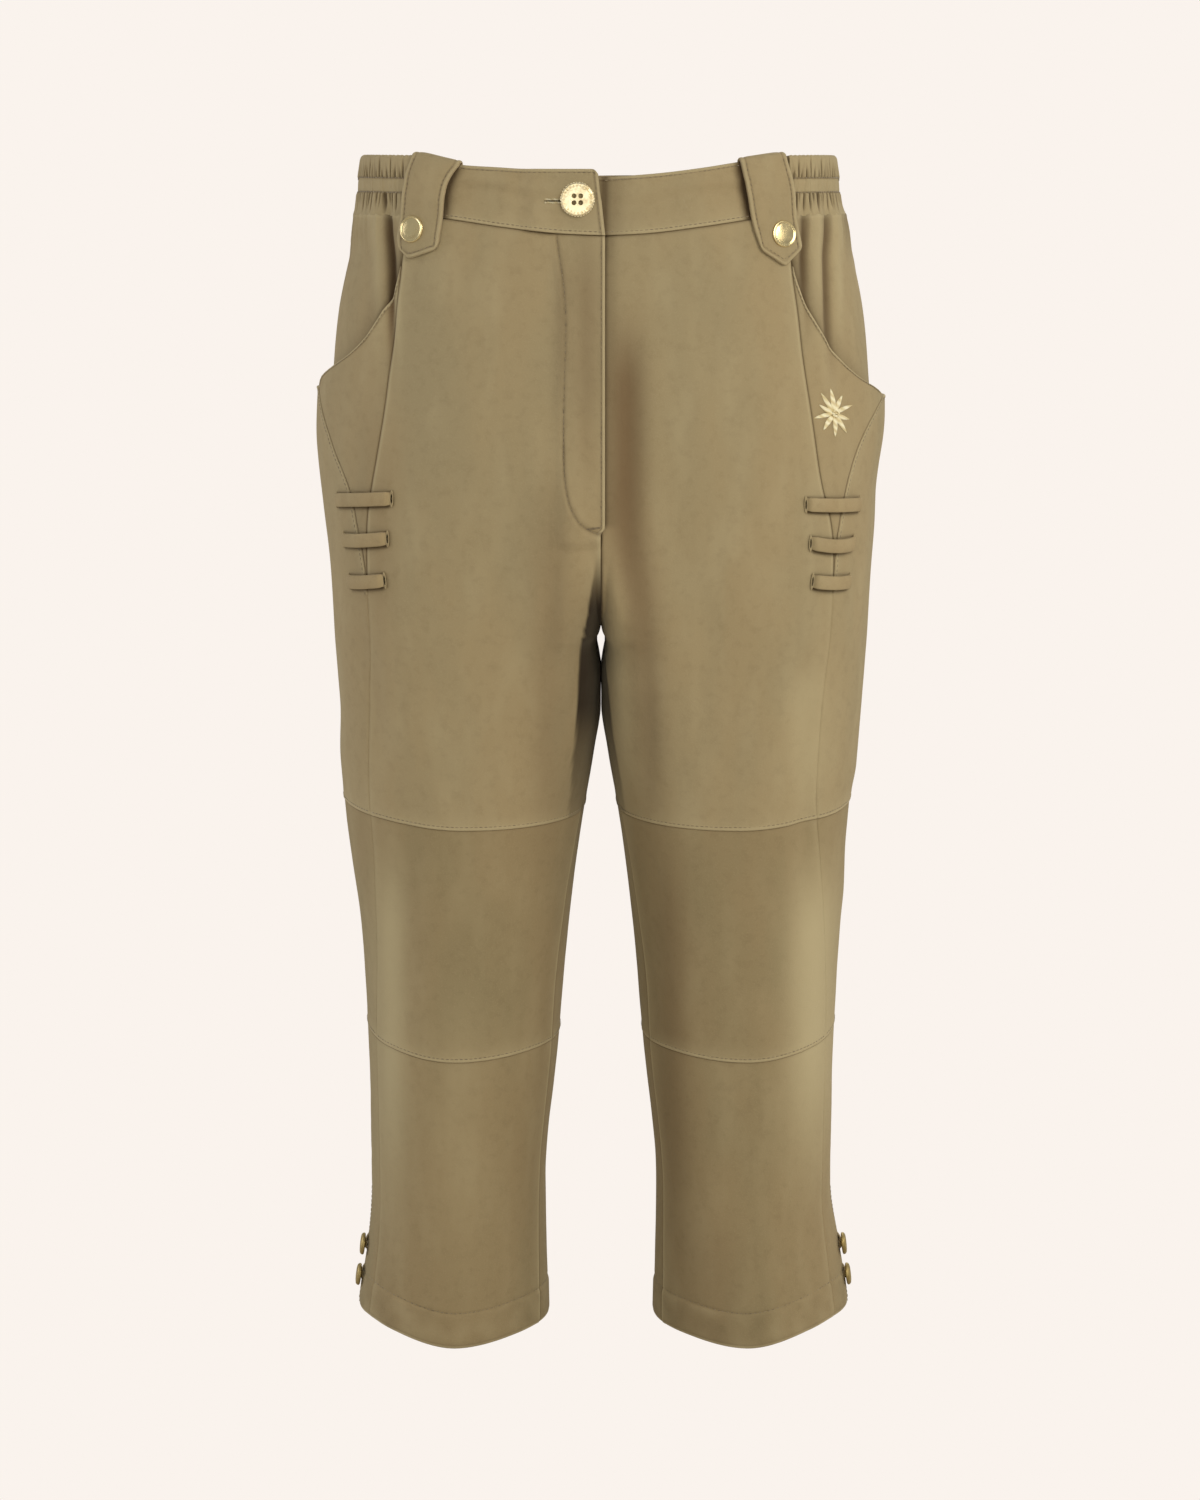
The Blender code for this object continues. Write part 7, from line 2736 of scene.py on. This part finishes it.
    def _snap(self, side: Side) -> None:
        """Polished snap cap with a rolled rim and a slightly crowned face.

        Args:
            side: The wearer's right or left.
        """
        r = self.snap_radius
        profile = ((r - 0.5, 0.0), (r - 0.05, 0.3), (r, 0.8), (r - 0.25, 1.3), (r - 0.8, 1.55), (r - 1.3, 1.4),
                   (r - 1.7, 1.15), (r - 2.1, 1.15), (r - 3.0, 1.3), (r - 5.0, 1.5), (1.6, 1.58), (0.2, 1.6))
        cap = Bench.turn(profile, 48)
        z = self.snap_z[side]
        place = spot(self.form, side, z, float(self.form.share_at(z, self.snap_x[side])), self.snap_out)
        piece = Bench.finish(cap, f"brass_snap_{side.value}", self.finishes.smooth_brass, place, 60)
        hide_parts(f"snap_{side.value}")

    def _vent_button(self, side: Side, number: int, z: float) -> None:
        """Small thick brass button on a short shank, through its loop.

        Args:
            side: The wearer's right or left.
            number: Its number from the top.
            z: Its height.
        """
        r = self.vent_radius
        profile = ((2.6, 0.0), (2.5, 0.3), (2.7, 0.5), (r - 0.8, 0.55), (r - 0.15, 0.9), (r, 1.4),
                   (r - 0.1, 2.0), (r - 0.5, 2.7), (r - 1.3, 3.25), (r - 2.4, 3.5), (r - 3.2, 3.3),
                   (r - 4.0, 3.1), (1.0, 3.0))
        cap = Bench.turn(profile, 32)
        at = np.array(z)
        share = float(self.seams.side_back(at)) - self.vent_forward / float(self.form.length(at))
        piece = Bench.finish(cap, f"brass_vent_button_{side.value}_{number}", self.finishes.dull_brass,
                             spot(self.form, side, z, share, 1.8), 50)
        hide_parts(f"vent_button_{side.value}_{number}")

    def _vent_loop(self, side: Side, number: int, z: float) -> None:
        """Leather loop from the vent's back edge round the button's shank.

        Args:
            side: The wearer's right or left.
            number: Its number from the top.
            z: Its height.
        """
        Bench.clear()
        long = self.loop_back + self.vent_forward + 2.0
        bpy.ops.mesh.primitive_grid_add(x_subdivisions=18, y_subdivisions=4, size=1.0)
        loop = bpy.context.object
        resize((long * MM, self.loop_width * MM, 1.0))
        Bench.modifier(loop, "SOLIDIFY", thickness=self.loop_wall * MM, offset=0.0)
        Bench.modifier(loop, "BEVEL", width=0.3 * MM, segments=2, limit_method="ANGLE")
        length = float(self.form.length(np.array(z)))
        start = float(self.seams.side_back(np.array(z))) - (self.vent_forward + 2.0) / length

        def place(p: Array) -> tuple[Array, Array, Array]:
            """Lays the loop out, narrowed and raised in the middle.

            Args:
                p: Points of the flat shape, in mm.

            Returns:
                Heights, shares and distances out.
            """
            along = p[:, 0] / long + 0.5
            narrowed = 1.0 - 0.25 * np.sin(pi * along)
            out = 0.95 + p[:, 2] + 0.5 * np.sin(pi * along)
            return z + p[:, 1] * narrowed, start + along * long / length, out

        Bench.wrap(loop, self.form, side, place)
        piece = Bench.finish(loop, f"strip_vent_loop_{side.value}_{number}", self.finishes.strip)
        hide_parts(f"vent_loop_{side.value}_{number}")


@dataclass
class Lacing:
    """Leather strips across the foot of each inset, their ends tucked into slits."""

    form: GarmentForm
    finishes: Finishes
    gape: PocketGape
    width: float = 9.4
    wall: float = 1.9
    bulge: float = 2.6
    stand_off: float = 0.75
    # side, share at the start and end, height at the start and end, sag
    strips: tuple[tuple[Side, float, float, float, float, float], ...] = (
        (Side.RIGHT, 0.277, 0.385, -225.7, -230.9, 0.0),
        (Side.RIGHT, 0.284, 0.371, -252.9, -257.5, 0.6),
        (Side.RIGHT, 0.293, 0.363, -281.6, -285.8, 0.4),
        (Side.LEFT, 0.270, 0.373, -229.5, -233.2, 0.3),
        (Side.LEFT, 0.278, 0.359, -255.8, -258.9, 1.8),
        (Side.LEFT, 0.285, 0.355, -282.0, -285.0, 0.8),
    )

    def shadow(self, side: Side) -> Relief:
        """Shade that the strips of one side throw on the panels, and the darkness of their slits.

        Args:
            side: The wearer's right or left.

        Returns:
            A function from heights and shares to the shade.
        """
        rows = [row[1:] for row in self.strips if row[0] is side]

        def at(z: Array, share: Array) -> Array:
            """The shade at heights and shares.

            Args:
                z: Heights.
                share: Shares of the half outline.

            Returns:
                The shade, from 0 to 1.
            """
            length = self.form.length(z)
            total = np.zeros(np.broadcast(z, share).shape)
            for start, end, z_start, z_end, sag in rows:
                t = (share - start) / (end - start)
                drop = z - z_start - (z_end - z_start) * t + sag * np.sin(pi * np.clip(t, 0, 1))
                along = ease((0.5 - np.abs(t - 0.5)) * (end - start) * length / 2 + 0.5)
                total = total + along * (0.85 * bell(drop + 5.1, 1.5) + 0.5 * bell(drop - 4.8, 0.9))
                past = np.minimum(np.abs(share - start), np.abs(share - end)) * length
                total = total + 0.5 * bell(past - 0.6, 1.0) * ease((5.6 - np.abs(drop)) / 1.2)
            return total

        return at

    def build(self) -> None:
        """Builds the strips and the slits."""
        counts = {side: 0 for side in Side}
        for side, start, end, z_start, z_end, sag in self.strips:
            counts[side] += 1
            self._strip(side, counts[side], start, end, z_start, z_end, sag)

    def _strip(self, side: Side, number: int, start: float, end: float, z_start: float, z_end: float,
               sag: float) -> None:
        """One strip, modelled flat and laid across the seams.

        Args:
            side: The wearer's right or left.
            number: Its number from the top.
            start: Share at its near end.
            end: Share at its far end.
            z_start: Height of its near end.
            z_end: Height of its far end.
            sag: How far its middle hangs.
        """
        long = (end - start) * float(self.form.length(np.array(z_start)))
        Bench.clear()
        bpy.ops.mesh.primitive_grid_add(x_subdivisions=40, y_subdivisions=8, size=1.0)
        strip = bpy.context.object
        resize((long * MM, self.width * MM, 1.0))
        Bench.modifier(strip, "SOLIDIFY", thickness=self.wall * MM, offset=0.0)
        Bench.modifier(strip, "BEVEL", width=0.7 * MM, segments=3, limit_method="ANGLE")
        gape = self.gape.on(side)

        def place(p: Array) -> tuple[Array, Array, Array]:
            """Lays the strip out, its ends diving into their slits.

            Args:
                p: Points of the flat shape, in mm.

            Returns:
                Heights, shares and distances out.
            """
            t = np.clip(p[:, 0] / long + 0.5, 0, 1)
            across = p[:, 1] / (0.5 * self.width)
            to_end = long * (0.5 - np.abs(t - 0.5))
            # the ends narrow and dive into their slits
            narrow = 1.0 - 0.12 * ease(1 - to_end / 3.0)
            z = z_start + (z_end - z_start) * t - sag * np.sin(pi * t) + p[:, 1] * narrow
            rise = self.bulge * np.sin(pi * t) ** 0.6
            dive = 2.8 * ease(1 - to_end / 2.0)
            crown = 0.75 * (1 - across**2)
            share = start + (end - start) * t
            out = self.stand_off + 0.5 * self.wall + rise - dive + p[:, 2] + crown
            return z, share, out + gape(z, share)

        Bench.wrap(strip, self.form, side, place)
        piece = Bench.finish(strip, f"strip_lace_{side.value}_{number}", self.finishes.strip, angle=60)
        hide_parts(f"strap_{side.value}_{number}")
        for where, (share, z, turn) in {"near": (start, z_start, -1), "far": (end, z_end, 1)}.items():
            self._slit(f"{side.value}_{number}_{where}", side, z, share, turn)

    def _slit(self, name: str, side: Side, z: float, share: float, turn: int) -> None:
        """A slit in the panel with a rolled lip, into which a strip's end goes.

        Args:
            name: What its pieces' names end with.
            side: The wearer's right or left.
            z: Its height.
            share: Its share.
            turn: 1 at a strip's far end, -1 at its near end.
        """
        length = float(self.form.length(np.array(z)))
        gape = float(self.gape.on(side)(np.array(z), np.array(share)))
        # a lip of nubuck round a dark ring, which paints the shade inside the slit
        for kind, major, minor, size, out, material in (
            ("lip", 1.0, 0.34, (1.1, 4.4, 1.6), gape + 0.45, self.finishes.nubuck),
            ("dark", 0.62, 0.42, (1.5, 5.5, 0.8), gape + 0.35, self.finishes.dark),
        ):
            Bench.clear()
            bpy.ops.mesh.primitive_torus_add(major_radius=major * MM, minor_radius=minor * MM,
                                             major_segments=24, minor_segments=8)
            ring = bpy.context.object
            resize(size)
            Bench.wrap(ring, self.form, side, lambda p: (
                z + p[:, 1], share + (p[:, 0] + turn * 0.8) / length, out + p[:, 2]))
            Bench.finish(ring, f"slit_{kind}_{name}", material)


@dataclass
class Edelweiss:
    """Embroidered flower on the left pocket: raised petals of laid silk, round a knotted middle."""

    form: GarmentForm
    finishes: Finishes
    gape: PocketGape
    z: float = -170.0
    x: float = 156.5
    stand_off: float = 0.25
    # direction in degrees, length, width and height of each petal
    petals: tuple[tuple[float, float, float, float], ...] = (
        (92, 15.5, 3.2, 1.1), (56, 12.6, 3.0, 1.0), (16, 14.6, 2.8, 0.9), (-22, 11.6, 3.0, 0.9),
        (-58, 14.8, 3.1, 1.0), (-94, 14.2, 3.0, 1.1), (-132, 12.8, 3.2, 1.0), (-172, 14.4, 2.8, 0.9),
        (148, 11.2, 3.0, 0.9), (120, 15.2, 2.9, 1.0),
    )
    inner_petals: tuple[tuple[float, float, float, float], ...] = tuple(
        (34 + 72 * k, 3.4 + 0.5 * (k % 2), 2.2, 1.3) for k in range(5))
    widened: float = 1.16  # across, because the panel turns away there

    def build(self) -> None:
        """Builds the flower as one piece of silk."""
        shapes = [self._petal(*petal) for petal in (*self.petals, *self.inner_petals)]
        shapes += [self._knot(k) for k in range(9)]
        Bench.clear()
        for shape in shapes:
            shape.select_set(True)
        bpy.context.view_layer.objects.active = shapes[0]
        bpy.ops.object.join()
        flower = bpy.context.object
        middle = float(self.form.share_at(self.z, self.x))
        length = float(self.form.length(np.array(self.z)))
        gape = self.gape.on(Side.LEFT)

        def place(p: Array) -> tuple[Array, Array, Array]:
            """Lays the flower on the pocket's side panel."""
            z, share = self.z + p[:, 1], middle + self.widened * p[:, 0] / length
            return z, share, p[:, 2] + self.stand_off + gape(z, share)

        Bench.wrap(flower, self.form, Side.LEFT, place)
        Bench.finish(flower, "embroidered_flower", self.finishes.silk, angle=80)

    @staticmethod
    def _petal(angle: float, long: float, wide: float, high: float) -> bpy.types.Object:
        """One petal: a grid drawn to a leaf shape, with the ridges of its laid threads.

        Args:
            angle: Its direction, in degrees.
            long: Its length.
            wide: Its width.
            high: Its height.

        Returns:
            The petal.
        """
        Bench.clear()
        bpy.ops.mesh.primitive_grid_add(x_subdivisions=14, y_subdivisions=12, size=1.0)
        petal = bpy.context.object
        for vertex in petal.data.vertices:
            t, across = vertex.co.x + 0.5, 2 * vertex.co.y
            half = 0.5 * wide * (sin(pi * t**0.8) ** 0.8 + 0.06)
            ridge = 0.22 * (0.5 + 0.5 * cos(across * 4 * pi)) * high
            crown = high * (1 - across**2) ** 0.5 * (0.25 + 0.75 * sin(pi * t**0.7)) if abs(across) < 1 else 0.0
            x, y = 1.2 + long * t, half * across + 0.5 * sin(pi * t) * sin(radians(3 * angle))
            turn = radians(angle)
            vertex.co = Vector((x * cos(turn) - y * sin(turn), x * sin(turn) + y * cos(turn),
                                crown + ridge * (abs(across) < 0.99))) * MM
        return petal

    @staticmethod
    def _knot(number: int) -> bpy.types.Object:
        """One knot of the middle.

        Args:
            number: 0 for the middle one, 1 to 8 for those round it.

        Returns:
            The knot.
        """
        Bench.clear()
        radius = 0.0 if number == 0 else 2.0
        turn = radians(45 * number)
        bpy.ops.mesh.primitive_uv_sphere_add(segments=10, ring_count=6, radius=0.95 * MM, location=(
            radius * cos(turn) * MM, radius * sin(turn) * MM, 1.7 * MM))
        knot = bpy.context.object
        bpy.ops.object.transform_apply(location=True, rotation=True, scale=True)
        return knot


@dataclass
class FlyZip:
    """Zip under the fly: woven tape with a row of brass teeth."""

    form: GarmentForm
    finishes: Finishes
    underlap: float = 8.3
    width: float = 11.0
    top_z: float = -53.0
    bottom_z: float = -232.0
    tooth_pitch: float = 2.6

    def build(self) -> None:
        """Builds the tape and the teeth."""
        z = np.linspace(self.top_z, self.bottom_z, 60)[:, None]
        away = np.linspace(self.underlap, self.underlap + self.width, 6)[None, :]
        z, away = np.broadcast_arrays(z, away)
        share = -away / self.form.length(z)
        outer, _ = self.form.skin(Side.LEFT, z, share, np.full(z.shape, -0.3))
        inner, _ = self.form.skin(Side.LEFT, z, share, np.full(z.shape, -1.1))
        tape = ShellMaker.shell("zip_tape", outer, inner, {}, self.finishes.tape, True)
        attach(tape, BODY)
        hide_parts("fly_zip")
        ShellMaker.flat_size(outer)
        ShellMaker.area(outer)
        Bench.clear()
        bpy.ops.mesh.primitive_cube_add(size=1.0)
        tooth = bpy.context.object
        bpy.ops.object.mode_set(mode="EDIT")
        bpy.ops.mesh.select_all(action="SELECT")
        bpy.ops.transform.resize(value=(4.6 * MM, 1.3 * MM, 1.5 * MM))
        bpy.ops.mesh.bevel(offset=0.25 * MM, segments=1)
        bpy.ops.object.mode_set(mode="OBJECT")
        points = np.array([v.co for v in tooth.data.vertices])
        faces = [list(p.vertices) for p in tooth.data.polygons]
        bpy.data.objects.remove(tooth)
        verts, quads = [], []
        for number, height in enumerate(np.arange(self.bottom_z + 2, self.top_z - 1, self.tooth_pitch)):
            middle = -(self.underlap + 0.5 * self.width) / float(self.form.length(np.array(height)))
            place = spot(self.form, Side.LEFT, float(height), middle, -0.2)
            shift = Matrix.Translation((0.6 * MM * (1 if number % 2 else -1), 0, 0))
            verts += [tuple(place @ shift @ Vector(p)) for p in points]
            quads += [[v + number * len(points) for v in face] for face in faces]
        mesh = bpy.data.meshes.new("zip_teeth")
        mesh.from_pydata(verts, [], quads)
        Bench.finish(link_new("zip_teeth", mesh), "zip_teeth", self.finishes.brass)


# ---------------------------------------------------------------- studio


@dataclass
class Studio:
    """Plain pale floor and surround, soft light and the photograph's camera."""

    surround: str = "#FAF3ED"
    floor_z: float = -0.842
    floor_half: float = 40.0
    camera_place: tuple[float, float, float] = (0.0, -2.5, 0.04)
    camera_pitch: float = 79.703  # degrees from straight down
    camera_lens: float = 107.748  # mm, for a sensor 36 mm wide
    camera_shift: float = -1 / 1200  # one pixel of the photograph's width
    world_strength: float = 0.36
    # name, place, the point it faces, side in metres, power in watts and colour
    lights: tuple[tuple[str, tuple[float, ...], tuple[float, ...], float, float, str], ...] = (
        ("key", (1.75, -2.3, 1.15), (0.0, 0.0, -0.28), 1.5, 46.0, "#FFFAF0"),
        ("front", (-0.8, -3.3, 0.5), (0.0, 0.0, -0.42), 2.2, 26.0, "#FFFCF4"),
        ("left edge", (-2.5, 0.35, -0.1), (0.0, 0.0, -0.45), 1.6, 20.0, "#F8F8FF"),
        ("right edge", (2.6, 0.5, -0.2), (0.0, 0.0, -0.45), 1.4, 14.0, "#FFFBF4"),
        ("back", (0.6, 2.4, 1.2), (0.0, 0.0, -0.3), 1.8, 24.0, "#FFFFFF"),
    )

    def build(self) -> None:
        """Sets up the view."""
        self._camera()
        self._surround()
        for row in self.lights:
            self._light(*row)

    def _camera(self) -> None:
        """Camera at the photograph's height, pitch and reach."""
        data = bpy.data.cameras.new("camera")
        data.sensor_width, data.sensor_fit, data.lens = 36.0, "HORIZONTAL", self.camera_lens
        data.shift_x = self.camera_shift
        obj = link_new("camera", data)
        obj.location = self.camera_place
        obj.rotation_euler = (radians(self.camera_pitch), 0.0, 0.0)
        bpy.context.scene.camera = obj

    @staticmethod
    def _light(name: str, place: Sequence[float], target: Sequence[float], size: float, power: float,
               colour: str) -> None:
        """Adds a square soft light that faces a point.

        Args:
            name: The light's name.
            place: Where it hangs.
            target: The point that it faces.
            size: Its side, in metres.
            power: Its power, in watts.
            colour: Its sRGB colour.
        """
        data = bpy.data.lights.new(name, "AREA")
        data.energy, data.size, data.color = power, size, linear(colour)[:3]
        obj = link_new(name, data)
        obj.location = place
        obj.rotation_euler = (Vector(target) - Vector(place)).to_track_quat("-Z", "Y").to_euler()

    @staticmethod
    def _two_ways(tree: bpy.types.NodeTree, seen: bpy.types.Node, lit: bpy.types.Node, output: str) -> None:
        """Shows the camera one shader, and everything else another.

        Args:
            tree: The node tree.
            seen: What the camera sees.
            lit: What the light meets.
            output: The kind of the output node.
        """
        path = add_node(tree, "ShaderNodeLightPath")
        mix = add_node(tree, "ShaderNodeMixShader",
                       {"0": path.outputs["Is Camera Ray"], "1": lit.outputs[0], "2": seen.outputs[0]})
        add_node(tree, output, {"Surface": mix.outputs[0]})

    def _surround(self) -> None:
        """Floor and surround of one even, pale tone, as in the photograph."""
        scene = bpy.context.scene
        scene.view_settings.view_transform = "Standard"
        world = bpy.data.worlds.new("surround")
        world.use_nodes = True
        tree = world.node_tree
        tree.nodes.clear()
        seen = add_node(tree, "ShaderNodeBackground", in_Color=linear(self.surround), in_Strength=1.0)
        lit = add_node(tree, "ShaderNodeBackground", in_Color=linear("#FFFFFF"),
                       in_Strength=self.world_strength)
        self._two_ways(tree, seen, lit, "ShaderNodeOutputWorld")
        scene.world = world
        bpy.ops.object.select_all(action="DESELECT")
        bpy.ops.mesh.primitive_plane_add(size=2 * self.floor_half, location=(0, 0, self.floor_z))
        floor = bpy.context.object
        floor.name = "studio_floor"
        material = bpy.data.materials.new("pale painted floor")
        material.use_nodes = True
        tree = material.node_tree
        tree.nodes.clear()
        seen = add_node(tree, "ShaderNodeEmission", in_Color=linear(self.surround), in_Strength=1.0)
        lit = add_node(tree, "ShaderNodeBsdfDiffuse", in_Color=linear("#C9C2B8"))
        self._two_ways(tree, seen, lit, "ShaderNodeOutputMaterial")
        floor.data.materials.append(material)


def main() -> None:
    """Builds the garment on the frame, piece by piece."""
    logging.basicConfig(level=logging.INFO, format="%(name)s: %(message)s")
    form = GarmentForm(folds=FOLDS, front_folds=FRONT_FOLDS, brushed=NAP_AND_PAINTED_SHADING)
    seams, finishes, stitching = SeamMap(form), Finishes(), Stitching(form)
    gape = PocketGape(form, seams)
    lacing = Lacing(form, finishes, gape)
    spacing = 3.0
    Trousers(form, seams, finishes, stitching, gape, lacing.shadow, spacing).build()
    stitching.build("topstitching", finishes.thread)
    Waistband(form, seams, finishes, stitching, spacing).build()
    tab = WaistTab(form, seams, finishes, stitching)
    for side in Side:
        tab.build(side)
    stitching.build("waist_topstitching", finishes.thread)
    Fastenings(form, seams, finishes, stitching).build()
    lacing.build()
    Edelweiss(form, finishes, gape).build()
    FlyZip(form, finishes).build()
    Studio().build()


if __name__ == "__main__":
    main()
